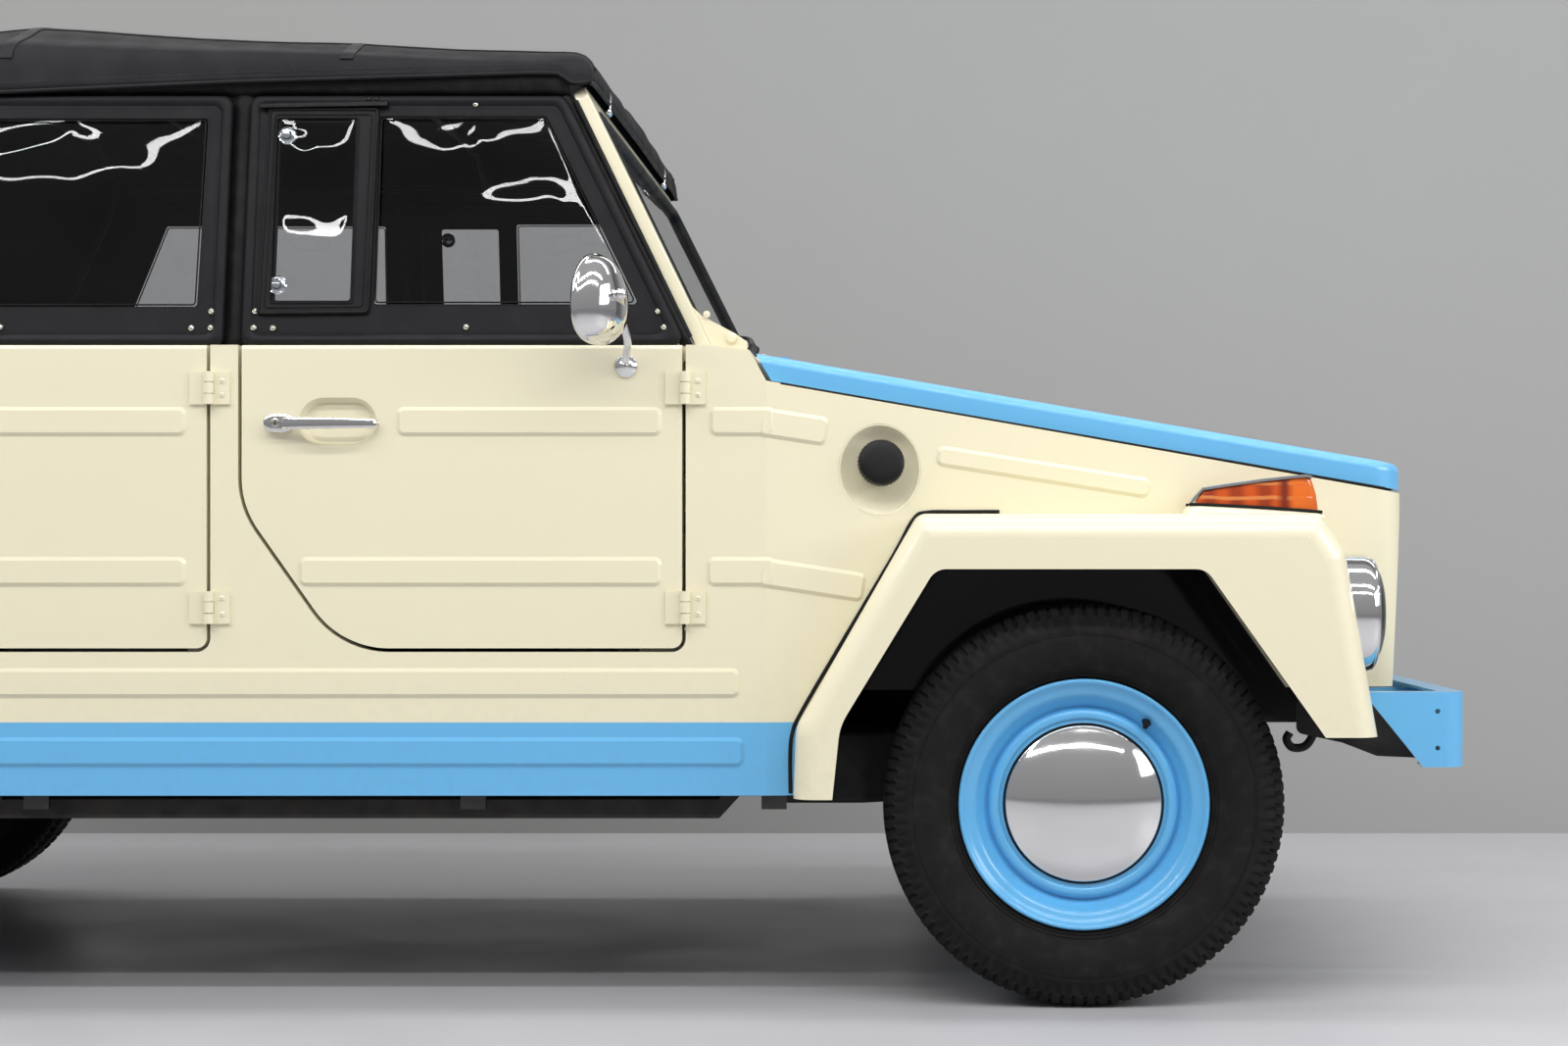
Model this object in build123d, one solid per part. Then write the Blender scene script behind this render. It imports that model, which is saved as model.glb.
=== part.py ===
from build123d import *
import os
from math import atan2, cos, radians, sin, tan

# Four-door utility car with flat ribbed panels, a soft top and clip-on side curtains.
# Millimetres. X runs forward, Y to the car's left and Z up. The origin is on the ground,
# half way along the car and on its centre plane.

# ---- Overall sizes ----
WHEELBASE = 2400.0
FRONT_OVERHANG = 606.0
REAR_OVERHANG = 774.0
BODY_HALF = 735.0
NOSE_DRAW_IN = 165.0
TAIL_DRAW_IN = 35.0
FENDER_STEP = 85.0
FRONT_WHEEL_INSET = 143.0
REAR_WHEEL_INSET = 97.0
NOSE_HALF = BODY_HALF - NOSE_DRAW_IN
TAIL_HALF = BODY_HALF - TAIL_DRAW_IN
FENDER_HALF = BODY_HALF + FENDER_STEP
TRACK_FRONT = 2 * (FENDER_HALF - FRONT_WHEEL_INSET)
TRACK_REAR = 2 * (FENDER_HALF - REAR_WHEEL_INSET)
FRONT_AXLE_X = (WHEELBASE + REAR_OVERHANG - FRONT_OVERHANG) / 2
REAR_AXLE_X = FRONT_AXLE_X - WHEELBASE
FRONT_END_X = FRONT_AXLE_X + FRONT_OVERHANG
REAR_END_X = REAR_AXLE_X - REAR_OVERHANG

# ---- Heights of the body ----
BELT_Z = 1054.0
SILL_Z = 336.0
FLOOR_Z = 297.0
ROOF_Z = 1624.0
NOSE_BOTTOM_Z = 503.0
TAIL_BOTTOM_Z = 500.0

# ---- Sheet and wall thicknesses, gaps ----
WALL = 35.0
PLATE = 25.0
FLOOR = 30.0
FENDER_SKIN = 8.0
FENDER_TOP_Z = 784.0
GAP = 6.0
RUNNING = 0.05
SEAT_GAP = 0.3

# ---- Wheels ----
TYRE_R = 322.5
TYRE_WIDTH = 165.0
BULGE_SHARE = 62.0 / 132.5
RIM_R = 190.0
RIM_WIDTH = 118.0
FLANGE = 10.0
RIM_SKIN = 7.0
STUB_R = 25.0
HUB_FACE = 42.0

# ---- Doors ----
FRONT_DOOR_SETBACK = 634.0
REAR_DOOR_SETBACK = 296.0
POST_WIDTH = 44.0
DOOR_LENGTH = (WHEELBASE - FRONT_DOOR_SETBACK - REAR_DOOR_SETBACK - POST_WIDTH) / 2
DOOR_BOTTOM_Z = 565.0
DOOR_BEND_Z = 795.0
DOOR_FOOT = 162.0
DOOR_CORNER_R = 150.0
DOOR_FRONT_X = FRONT_AXLE_X - FRONT_DOOR_SETBACK
REAR_DOOR_FRONT_X = DOOR_FRONT_X - DOOR_LENGTH - POST_WIDTH
REAR_DOOR_REAR_X = REAR_DOOR_FRONT_X - DOOR_LENGTH
HINGE_Z = (636.0, 985.0)
HINGE_HEIGHT = 52.0
HINGE_LEAF = 32.0
LEAF_THICKNESS = 5.0
BARREL_R = 8.0
PIN_R = 4.0
HINGE_Y = BODY_HALF + 10.0

# ---- Pressed ribs ----
RIB_HEIGHT = 47.0
RIB_RISE = 5.0
UPPER_RIB_Z = 932.0
LOWER_RIB_Z = 693.0

# ---- Body stations along X ----
NOSE_X = FRONT_AXLE_X + 538.0
NOSE_CORNER_R = 50.0
NOSE_LEAN = 18.0
CORNER_X = NOSE_X - NOSE_LEAN - WALL - 2
BEND_X = FRONT_AXLE_X - 505.0
NOSE_TAPER = (BODY_HALF - NOSE_HALF) / (NOSE_X - BEND_X)
TAIL_X = REAR_AXLE_X - 714.0
TAIL_BEND_X = REAR_AXLE_X - 260.0
DECK_FRONT_X = REAR_AXLE_X - 224.0
DECK_REAR_Z = 965.0
TAIL_LEAN = 84.0
BULKHEAD_X = FRONT_AXLE_X - 470.0
FIREWALL_X = REAR_AXLE_X - 214.0
HEEL_X = REAR_DOOR_FRONT_X - 370.0
SEAT_BACK_X = REAR_DOOR_REAR_X - 80.0
SEAT_PAN_Z = 465.0
SHELF_Z = 722.0
WHEELHOUSE_Y = BODY_HALF - 135.0

# ---- Hood and windscreen ----
HOOD_REAR_X = FRONT_AXLE_X - 526.0
HOOD_REAR_Z = 1044.0
HOOD_BAND = 46.0
HOOD_RAKE = 27.0
HOOD_SLOPE = radians(9.3)
HOOD_INSET = 12.0
HOOD_SKIN = 10.0
HOOD_FRONT_X = NOSE_X + 2.0
HOOD_AXIS_X = HOOD_REAR_X - 3.0
HOOD_AXIS_Z = HOOD_REAR_Z + 9.0
TUB_HALF = 418.0
TUB_FLOOR_Z = 510.0
SCREEN_BASE_X = FRONT_AXLE_X - 597.5
SCREEN_TOP_Z = 1486.0
SCREEN_SLOPE = radians(26.2)
SCREEN_BASE_HALF = BODY_HALF - 43.0
SCREEN_TOP_HALF = BODY_HALF - 93.0
SCREEN_DEPTH = 22.0
SCREEN_RAIL = 42.0
MAIN_BOW_X = REAR_DOOR_FRONT_X - 356.0
GLASS = 5.0

# ---- Side curtains ----
CURTAIN_BASE_Z = BELT_Z + SEAT_GAP
CURTAIN_TOP_Z = 1466.0
CURTAIN_BASE_Y = BODY_HALF - 21.0
CURTAIN_TOP_Y = BODY_HALF - 83.0
CURTAIN_THICKNESS = 11.0
CURTAIN_BORDER = 42.0
CURTAIN_SLANT = radians(24.5)
PANE_THICKNESS = 3.0

# ---- Steering and front suspension ----
KINGPIN_Y = TRACK_FRONT / 2 - 67.0
KINGPIN_R = 12.0
EYE_R = 21.0
EYE_OFFSET = 95.0
EYE_HEIGHT = 30.0
BEAM_X = FRONT_AXLE_X + 136.0
BEAM_HALF = KINGPIN_Y - 180.0
BEAM_R = 28.0
TORSION_R = 36.0
STEER_X = DOOR_FRONT_X - 340.0
STEER_Y = 350.0
STEER_Z = 950.0
STEER_RIM_R = 195.0
STEER_TUBE_R = 12.0
COLUMN_R = 18.0
COLUMN_RAKE = radians(35.0)

# ---- Bumpers ----
BUMPER_HALF = FENDER_HALF - 68.0
BUMPER_BOTTOM_Z = 383.0
BUMPER_TOP_Z = 502.0
BUMPER_WRAP = 155.0
BUMPER_SKIN = 5.0
BUMPER_LIP = 40.0
BUMPER_HOLE_R = 4.0
BUMPER_HOLE_SPACING = 58.0
BUMPER_HOLE_INSET = 46.0
BRACKET_Y = 340.0


def outline(points, radii=0.0):
    """A closed flat shape from its corners, each rounded by its radius."""
    return make_face(FilletPolyline(*points, radius=radii, close=True).edges())


def side_slab(shape, y_low, y_high):
    """A side-view (x, z) shape, made solid between two places across the car."""
    plane = Plane(origin=(0, y_high, 0), x_dir=(1, 0, 0), z_dir=(0, -1, 0))
    return extrude(plane * shape, amount=y_high - y_low)


def cross_slab(shape, x_low, x_high):
    """A front-view (y, z) shape, made solid between two places along the car."""
    plane = Plane(origin=(x_low, 0, 0), x_dir=(0, 1, 0), z_dir=(1, 0, 0))
    return extrude(plane * shape, amount=x_high - x_low)


def plan_slab(shape, z_low, z_high):
    """A plan-view (x, y) shape, made solid between two heights."""
    return extrude(Pos(0, 0, z_low) * shape, amount=z_high - z_low)


def block(x_low, x_high, y_low, y_high, z_low, z_high):
    """A plain box between its six faces."""
    centre = Pos((x_low + x_high) / 2, (y_low + y_high) / 2, (z_low + z_high) / 2)
    return centre * Box(x_high - x_low, y_high - y_low, z_high - z_low)


def block_both(x_low, x_high, y_low, y_high, z_low, z_high):
    """The same box on the right and on the left."""
    one = block(x_low, x_high, y_low, y_high, z_low, z_high)
    return one + mirror(one, about=Plane.XZ)


def rod(start, end, radius):
    """A round bar between two points."""
    line = Edge.make_line(start, end)
    plane = Plane(origin=start, z_dir=Vector(*end) - Vector(*start))
    return extrude(plane * Circle(radius), amount=line.length)


def on_left(part):
    """The left-hand copy of a right-hand piece."""
    return mirror(part, about=Plane.XZ)


def pair(part):
    """A right-hand piece and its left-hand copy, as solids that don't touch."""
    return Compound(children=[*part.solids(), *on_left(part).solids()])


def turned(profile, x, y, side):
    """A wheel-like piece from its (radius, outward) section, on an axle across the car."""
    plane = Plane(origin=(x, side * y, TYRE_R), x_dir=(0, 0, 1), z_dir=(side, 0, 0))
    return revolve(plane * profile, axis=Axis((x, side * y, TYRE_R), (0, 1, 0)))


# ---- Shapes shared by several pieces ----
def half_width(x):
    """Half the body's width over its side walls, which draw in ahead of the scuttle."""
    return BODY_HALF - max(0.0, x - BEND_X) * NOSE_TAPER


def body_plan(inset, x_front):
    """The body's outline seen from above, drawn in by an inset, up to a station."""
    right = [
        (TAIL_X, inset - TAIL_HALF),
        (TAIL_BEND_X, inset - BODY_HALF),
        (BEND_X, inset - BODY_HALF),
        (x_front, inset - half_width(x_front)),
    ]
    left = [(x, -y) for x, y in reversed(right)]
    return outline(right + left)


def hood_line(x):
    """Height of the hood's lower edge."""
    return HOOD_REAR_Z - HOOD_BAND - (x - HOOD_REAR_X - HOOD_RAKE) * tan(HOOD_SLOPE)


def body_profile():
    """The body's side view, before the doors and wheel arches are cut."""
    top_gap = GAP / cos(HOOD_SLOPE)
    return outline([
        (DECK_FRONT_X, BELT_Z),
        (DOOR_FRONT_X + 30, BELT_Z),
        (HOOD_REAR_X - GAP - 1, HOOD_REAR_Z + 2),
        (HOOD_REAR_X + HOOD_RAKE - GAP - 1, hood_line(HOOD_REAR_X + HOOD_RAKE) - 1),
        (NOSE_X, hood_line(NOSE_X) - top_gap),
        (NOSE_X - NOSE_LEAN, NOSE_BOTTOM_Z),
        (FRONT_AXLE_X + 330, NOSE_BOTTOM_Z),
        (FRONT_AXLE_X + 330, SILL_Z),
        (REAR_AXLE_X - 330, SILL_Z),
        (REAR_AXLE_X - 330, TAIL_BOTTOM_Z),
        (TAIL_X, TAIL_BOTTOM_Z),
        (TAIL_X + TAIL_LEAN, DECK_REAR_Z),
    ])


def arch(axle_x, facing, margin=0.0):
    """A wheel arch opening; facing is 1 for the front wheel and -1 for the rear."""
    corners = [(-397, 150), (-397, 337), (-385, 452), (-236, 697), (186, 697), (373, 434), (373, 150)]
    shape = outline([(axle_x + facing * x, z) for x, z in corners], [0, 0, 90, 30, 30, 0, 0])
    if margin == 0.0:
        return shape
    return offset(shape, amount=margin, kind=Kind.INTERSECTION)


def door_shape(front_x, top_z, inset=0.0):
    """A door's side view: square in front, its lower rear corner cut off by a slant."""
    rear_x = front_x - DOOR_LENGTH
    shape = outline(
        [
            (front_x, top_z),
            (front_x, DOOR_BOTTOM_Z),
            (rear_x + DOOR_FOOT, DOOR_BOTTOM_Z),
            (rear_x, DOOR_BEND_Z),
            (rear_x, top_z),
        ],
        [0, 22, DOOR_CORNER_R, DOOR_CORNER_R, 0],
    )
    if inset == 0.0:
        return shape
    return offset(shape, amount=-inset, kind=Kind.INTERSECTION)


def rib(x_rear, x_front, z_mid, y=BODY_HALF):
    """A raised rib with sloping sides on the right-hand outer skin."""
    plane = Plane(origin=((x_rear + x_front) / 2, -y, z_mid), x_dir=(1, 0, 0), z_dir=(0, -1, 0))
    shape = plane * RectangleRounded(x_front - x_rear, RIB_HEIGHT, 12)
    return extrude(shape, amount=RIB_RISE, taper=50)


def taper_rib(x_rear, x_front, z_rear, z_front, height=RIB_HEIGHT):
    """A sloping raised rib on the side wall where it draws in towards the nose."""
    start, end = (
        Vector(x, (x - BEND_X) * NOSE_TAPER - BODY_HALF, z) for x, z in ((x_rear, z_rear), (x_front, z_front))
    )
    plane = Plane(origin=tuple((start + end) / 2), x_dir=tuple(end - start), z_dir=(NOSE_TAPER, -1, 0))
    return extrude(plane * RectangleRounded((end - start).length, height, 12), amount=RIB_RISE, taper=50)


def hinge_on_body(x, z):
    """The fixed half of an outside hinge: leaf, outer knuckles and pin."""
    third = HINGE_HEIGHT / 3
    half = HINGE_HEIGHT / 2
    leaf = block(x + 1, x + HINGE_LEAF, -BODY_HALF - LEAF_THICKNESS, -BODY_HALF, z - half, z + half)
    knuckle = Pos(x, -HINGE_Y, 0) * Cylinder(BARREL_R, third - 1)
    notch = Pos(x, -HINGE_Y, z) * Cylinder(BARREL_R + 1, third + 1)
    pin = Pos(x, -HINGE_Y, z) * Cylinder(PIN_R, HINGE_HEIGHT - 2)
    upper = Pos(0, 0, z + third + 0.5) * knuckle
    lower = Pos(0, 0, z - third - 0.5) * knuckle
    return (leaf - notch) + upper + lower + pin


def hinge_on_door(x, z):
    """The swinging half of an outside hinge: leaf and the bored middle knuckle."""
    third = HINGE_HEIGHT / 3
    half = HINGE_HEIGHT / 2
    leaf = block(x - HINGE_LEAF, x - 1, -BODY_HALF - LEAF_THICKNESS, -BODY_HALF, z - half, z + half)
    clear = Pos(x, -HINGE_Y, z) * Cylinder(BARREL_R + 2, HINGE_HEIGHT + 2)
    knuckle = Pos(x, -HINGE_Y, z) * Cylinder(BARREL_R, third)
    tongue_y = -BODY_HALF - LEAF_THICKNESS
    tongue = block(x - BARREL_R - 3, x, tongue_y, -BODY_HALF - 0.5, z - third / 2, z + third / 2)
    bore = Pos(x, -HINGE_Y, z) * Cylinder(PIN_R + RUNNING, third + 2)
    return (leaf - clear) + knuckle + tongue - bore


def curtain_plane():
    """The leaning plane of the right-hand side curtains, at their outer face."""
    lean = atan2(CURTAIN_BASE_Y - CURTAIN_TOP_Y, CURTAIN_TOP_Z - CURTAIN_BASE_Z)
    normal = (0, -cos(lean), sin(lean))
    return Plane(origin=(0, -CURTAIN_BASE_Y, CURTAIN_BASE_Z), x_dir=(1, 0, 0), z_dir=normal)


def tail_plane():
    """The leaning plane of the tail's outer face; x is to the right and y up the tail."""
    lean = atan2(TAIL_LEAN, DECK_REAR_Z - TAIL_BOTTOM_Z)
    return Plane(origin=(TAIL_X, 0, TAIL_BOTTOM_Z), x_dir=(0, -1, 0), z_dir=(-cos(lean), 0, sin(lean)))


# ---- Body ----
def side_panel(with_filler):
    """The right-hand body side from nose corner to tail, with hinges and pressed ribs."""
    corner_x = CORNER_X
    wall = plan_slab(body_plan(0, corner_x) - body_plan(WALL, corner_x), SILL_Z - 10, BELT_Z + 50)
    wall = wall & side_slab(body_profile(), -BODY_HALF - 10, 0)
    for front_x in (DOOR_FRONT_X, REAR_DOOR_FRONT_X):
        wall -= side_slab(door_shape(front_x, BELT_Z + 100), -BODY_HALF - 10, 0)
    wall -= side_slab(arch(FRONT_AXLE_X, 1, 12), -BODY_HALF - 10, 0)
    wall -= side_slab(arch(REAR_AXLE_X, -1, 12), -BODY_HALF - 10, 0)
    wall += rib(DOOR_FRONT_X + HINGE_LEAF + 6, BEND_X + 14, UPPER_RIB_Z)
    wall += rib(DOOR_FRONT_X + 34, BEND_X + 14, LOWER_RIB_Z)
    wall += taper_rib(BEND_X - 12, BEND_X + 96, UPPER_RIB_Z, UPPER_RIB_Z - 16)
    wall += taper_rib(BEND_X - 12, BEND_X + 155, LOWER_RIB_Z, LOWER_RIB_Z - 26)
    wall += taper_rib(BEND_X + 270, BEND_X + 617, UPPER_RIB_Z - 52, UPPER_RIB_Z - 104, 34)
    wall += rib(REAR_DOOR_REAR_X + 270, DOOR_FRONT_X + 86, SILL_Z + 180)
    wall += rib(REAR_DOOR_REAR_X + 260, DOOR_FRONT_X + 93, SILL_Z + 70)
    for front_x in (DOOR_FRONT_X, REAR_DOOR_FRONT_X):
        for z in HINGE_Z:
            wall += hinge_on_body(front_x, z)
    for x in (DOOR_FRONT_X + 140, DOOR_FRONT_X - 340, REAR_DOOR_FRONT_X - 280):
        wall += block(x - 20, x + 20, -BODY_HALF + 8, -BODY_HALF + 16, SILL_Z - 22, SILL_Z)
    if with_filler:
        wall -= filler_recess()
    return wall


def filler_recess():
    """The oval pocket for the fuel cap, square to the drawn-in right-hand quarter panel."""
    x = FRONT_AXLE_X - 326
    inward = (-NOSE_TAPER, 1, 0)
    plane = Plane(origin=(x, -half_width(x), 857), x_dir=(1, NOSE_TAPER, 0), z_dir=inward)
    return loft([plane.offset(-5) * Ellipse(66, 73), plane.offset(23) * Ellipse(53, 60)])


def front_body():
    """Nose, bulkhead, luggage tub and wheelhouse tops ahead of the cabin."""
    corner_x = CORNER_X
    inner_x = NOSE_X - WALL
    top_gap = GAP / cos(HOOD_SLOPE)
    nose_plan = outline(
        [
            (corner_x, -half_width(corner_x)),
            (NOSE_X, -NOSE_HALF),
            (NOSE_X, NOSE_HALF),
            (corner_x, half_width(corner_x)),
        ],
        [0, NOSE_CORNER_R, NOSE_CORNER_R, 0],
    )
    hollow = block(corner_x - 5, inner_x - NOSE_LEAN, WALL - NOSE_HALF, NOSE_HALF - WALL, 400, 900)
    nose = plan_slab(nose_plan, NOSE_BOTTOM_Z, 900) - hollow
    nose = nose & side_slab(body_profile(), -BODY_HALF, BODY_HALF)
    under_hood = side_slab(
        outline([
            (BULKHEAD_X - 80, FLOOR_Z),
            (BULKHEAD_X - 80, hood_line(BULKHEAD_X - 80) - top_gap),
            (NOSE_X, hood_line(NOSE_X) - top_gap),
            (NOSE_X, FLOOR_Z),
        ]),
        -BODY_HALF,
        BODY_HALF,
    )
    inside = plan_slab(body_plan(WALL, corner_x), FLOOR_Z, BELT_Z)
    bulkhead = block(BULKHEAD_X - PLATE, BULKHEAD_X, -BODY_HALF, BODY_HALF, SILL_Z, BELT_Z)
    tub_floor = block(BULKHEAD_X, inner_x - NOSE_LEAN, -TUB_HALF, TUB_HALF, TUB_FLOOR_Z - 20, TUB_FLOOR_Z)
    tub_side = block_both(BULKHEAD_X, inner_x - NOSE_LEAN, TUB_HALF - 18, TUB_HALF, TUB_FLOOR_Z - 20, BELT_Z)
    shelf = block_both(BULKHEAD_X, corner_x, TUB_HALF - 18, BODY_HALF, SHELF_Z, SHELF_Z + 16)
    lower = block_both(corner_x - 30, corner_x, TUB_HALF - 18, BODY_HALF, NOSE_BOTTOM_Z, SHELF_Z + 16)
    parts = (bulkhead + tub_floor + tub_side + shelf + lower) & under_hood & inside
    return nose + parts


def rear_body():
    """Deck, tail, firewall, luggage shelf and rear wheelhouses, as one welded shell."""
    inside = plan_slab(body_plan(WALL, BULKHEAD_X), FLOOR_Z, BELT_Z)
    tail_top_x = TAIL_X + TAIL_LEAN
    deck = side_slab(
        outline([
            (FIREWALL_X, BELT_Z),
            (DECK_FRONT_X, BELT_Z),
            (tail_top_x, DECK_REAR_Z),
            (tail_top_x, DECK_REAR_Z - PLATE),
            (DECK_FRONT_X, BELT_Z - PLATE),
            (FIREWALL_X, BELT_Z - PLATE),
        ]),
        -BODY_HALF,
        BODY_HALF,
    )
    tail = side_slab(
        outline([
            (tail_top_x, DECK_REAR_Z),
            (TAIL_X, TAIL_BOTTOM_Z),
            (TAIL_X + PLATE, TAIL_BOTTOM_Z),
            (tail_top_x + PLATE, DECK_REAR_Z - 6),
        ]),
        -BODY_HALF,
        BODY_HALF,
    )
    tail -= extrude(tail_plane() * lid_shape(0), amount=60, both=True)
    firewall = block(FIREWALL_X - PLATE, FIREWALL_X, -BODY_HALF, BODY_HALF, SHELF_Z - 60, BELT_Z)
    shelf = block(FIREWALL_X - PLATE, SEAT_BACK_X, -BODY_HALF, BODY_HALF, SHELF_Z - 22, SHELF_Z)
    seat_half = WHEELHOUSE_Y - 20
    seat_wall = block(SEAT_BACK_X - PLATE, SEAT_BACK_X, -seat_half, seat_half, SEAT_PAN_Z, SHELF_Z)
    house_front_x = REAR_AXLE_X + 400
    house_rear_x = REAR_AXLE_X - 394
    house_y = WHEELHOUSE_Y - 20
    pan_under = SEAT_PAN_Z - PLATE
    inner = block_both(house_rear_x, house_front_x, house_y, WHEELHOUSE_Y, pan_under, SHELF_Z)
    front = block_both(house_front_x, house_front_x + 20, house_y, BODY_HALF, FLOOR_Z + FLOOR, SHELF_Z)
    rear = block_both(house_rear_x - 20, house_rear_x, house_y, BODY_HALF, TAIL_BOTTOM_Z, SHELF_Z)
    rear += block_both(house_rear_x - 20, FIREWALL_X, house_y, BODY_HALF, SHELF_Z - 22, SHELF_Z)
    return (deck + tail + firewall + shelf + seat_wall + inner + front + rear) & inside


def floor_pan():
    """Floor, toe board, tunnel, seat pan and the frame head that carries the front beam."""
    inner = BODY_HALF - WALL
    floor = block(HEEL_X, DOOR_FRONT_X + 50, -inner, inner, FLOOR_Z, FLOOR_Z + FLOOR)
    toe_front = BULKHEAD_X - PLATE
    toe = side_slab(
        outline([
            (DOOR_FRONT_X + 50, FLOOR_Z),
            (toe_front, SILL_Z + 120),
            (toe_front, SILL_Z + 160),
            (DOOR_FRONT_X + 50, FLOOR_Z + FLOOR),
        ]),
        -inner,
        inner,
    )
    heel = block(HEEL_X, HEEL_X + PLATE, -inner, inner, FLOOR_Z + FLOOR, SEAT_PAN_Z)
    pan_front = block(REAR_AXLE_X + 420, HEEL_X + PLATE, -inner, inner, SEAT_PAN_Z - PLATE, SEAT_PAN_Z)
    between = WHEELHOUSE_Y - 20
    pan_under = SEAT_PAN_Z - PLATE
    pan_rear = block(SEAT_BACK_X - PLATE, REAR_AXLE_X + 420, -between, between, pan_under, SEAT_PAN_Z)
    tunnel = block(HEEL_X, toe_front, -85, 85, FLOOR_Z + FLOOR, FLOOR_Z + 130)
    head_top = TUB_FLOOR_Z - 20
    head = block(BULKHEAD_X, BEAM_X + 60, -95, 95, TYRE_R + 55, head_top)
    head += block(DOOR_FRONT_X, toe_front, -95, 95, FLOOR_Z, FLOOR_Z + 160)
    link = block(toe_front, BULKHEAD_X, -95, 95, FLOOR_Z, SILL_Z)
    link += block(BULKHEAD_X, BULKHEAD_X + PLATE, -95, 95, FLOOR_Z, head_top)
    tube_x = REAR_AXLE_X + 330
    fork = block_both(tube_x, HEEL_X + PLATE, 150, 220, TYRE_R - 26, FLOOR_Z + FLOOR + 30)
    fork += block_both(tube_x, HEEL_X + PLATE, 150, 220, FLOOR_Z + FLOOR + 20, SEAT_PAN_Z - PLATE)
    fork -= Pos(tube_x, 0, TYRE_R + 10) * Rot(90, 0, 0) * Cylinder(TORSION_R + SEAT_GAP, 500)
    beam_slot = Pos(BEAM_X, 0, TYRE_R + EYE_OFFSET) * Rot(90, 0, 0) * Cylinder(BEAM_R, 200)
    pan = floor + toe + heel + pan_front + pan_rear + tunnel
    return (pan & plan_slab(body_plan(WALL, BULKHEAD_X), FLOOR_Z, BELT_Z)) + head + link + fork - beam_slot


def cowl_panel():
    """The scuttle between the hood and the windscreen, with the windscreen's side brackets."""
    inner = BODY_HALF - WALL
    front_x = HOOD_REAR_X - GAP - 1
    top = side_slab(
        outline([
            (DOOR_FRONT_X - 40, BELT_Z),
            (SCREEN_BASE_X + 16, BELT_Z),
            (front_x, HOOD_REAR_Z + 2),
            (front_x, HOOD_REAR_Z - 22),
            (SCREEN_BASE_X + 16, BELT_Z - 24),
            (DOOR_FRONT_X - 40, BELT_Z - 24),
        ]),
        -inner,
        inner,
    )
    skirt = block(front_x - PLATE, front_x, -inner, inner, hood_line(BULKHEAD_X) - 40, HOOD_REAR_Z - 10)
    ledge_z = hood_line(BULKHEAD_X) - 60
    ledge = block(front_x - PLATE, BULKHEAD_X - PLATE, -inner, inner, ledge_z, ledge_z + 20)
    ledge = ledge & plan_slab(body_plan(WALL, BULKHEAD_X), FLOOR_Z, BELT_Z)
    wedge_x = SCREEN_BASE_X + SEAT_GAP
    wedge_rise = 68.0
    wedge = side_slab(
        outline([
            (wedge_x + 4, BELT_Z - 12),
            (wedge_x, BELT_Z),
            (wedge_x - wedge_rise * tan(SCREEN_SLOPE), BELT_Z + wedge_rise),
            (wedge_x - 17, BELT_Z + 52),
            (wedge_x + 36, BELT_Z + 24),
            (wedge_x + 56, BELT_Z + 10),
            (wedge_x + 56, BELT_Z - 12),
        ]),
        16 - SCREEN_BASE_HALF,
        30 - SCREEN_BASE_HALF,
    )
    hinges = Part()
    for y in (-460, 460):
        hinges += Pos(HOOD_AXIS_X, y, HOOD_AXIS_Z) * Rot(90, 0, 0) * Cylinder(PIN_R, 40)
        for shift in (-17, 17):
            hinges += Pos(HOOD_AXIS_X, y + shift, HOOD_AXIS_Z) * Rot(90, 0, 0) * Cylinder(BARREL_R - 1, 12)
            foot = side_slab(
                outline([
                    (HOOD_AXIS_X, HOOD_AXIS_Z + 3),
                    (HOOD_AXIS_X - 26, HOOD_REAR_Z + 11),
                    (HOOD_AXIS_X - 26, HOOD_REAR_Z + 1),
                    (HOOD_AXIS_X, HOOD_REAR_Z + 1),
                ]),
                y + shift - 6,
                y + shift + 6,
            )
            hinges += foot
    return top + skirt + ledge + wedge + on_left(wedge) + hinges


def dashboard():
    """The flat painted dashboard under the scuttle."""
    inner = BODY_HALF - WALL - 12
    rear_x = DOOR_FRONT_X - 60
    board = outline([
        (rear_x + 4, BELT_Z - 24),
        (rear_x + 60, BELT_Z - 24),
        (rear_x + 60, BELT_Z - 60),
        (rear_x + 26, BELT_Z - 190),
        (rear_x, BELT_Z - 190),
    ])
    return side_slab(board, -inner, inner)


def screen_plane():
    """The windscreen's plane at its front face, with the foot on the scuttle."""
    return Plane(
        origin=(SCREEN_BASE_X, 0, BELT_Z),
        x_dir=(0, 1, 0),
        z_dir=(cos(SCREEN_SLOPE), 0, sin(SCREEN_SLOPE)),
    )


def screen_shape(inset):
    """The windscreen's outline in its own plane."""
    low = -60 + 2 * inset if inset else -60
    high = (SCREEN_TOP_Z - BELT_Z) / cos(SCREEN_SLOPE) - inset
    return outline(
        [
            (-SCREEN_BASE_HALF + inset, low),
            (SCREEN_BASE_HALF - inset, low),
            (SCREEN_TOP_HALF - inset, high),
            (inset - SCREEN_TOP_HALF, high),
        ],
        [0, 0, 24, 24] if inset == 0 else 18,
    )


def windshield_frame():
    """The folding windscreen's frame, standing on the scuttle."""
    frame = extrude(screen_plane() * (screen_shape(0) - screen_shape(SCREEN_RAIL)), amount=-SCREEN_DEPTH)
    return frame & block(0, 2 * BULKHEAD_X, -BODY_HALF, BODY_HALF, BELT_Z, SCREEN_TOP_Z + 50)


def windshield_glass():
    """Flat glass in the middle of the frame's depth."""
    depth = (SCREEN_DEPTH + GLASS) / 2
    sheet = extrude(screen_plane() * screen_shape(SCREEN_RAIL), amount=-depth)
    return sheet - extrude(screen_plane() * screen_shape(SCREEN_RAIL), amount=GLASS - depth)


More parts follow.
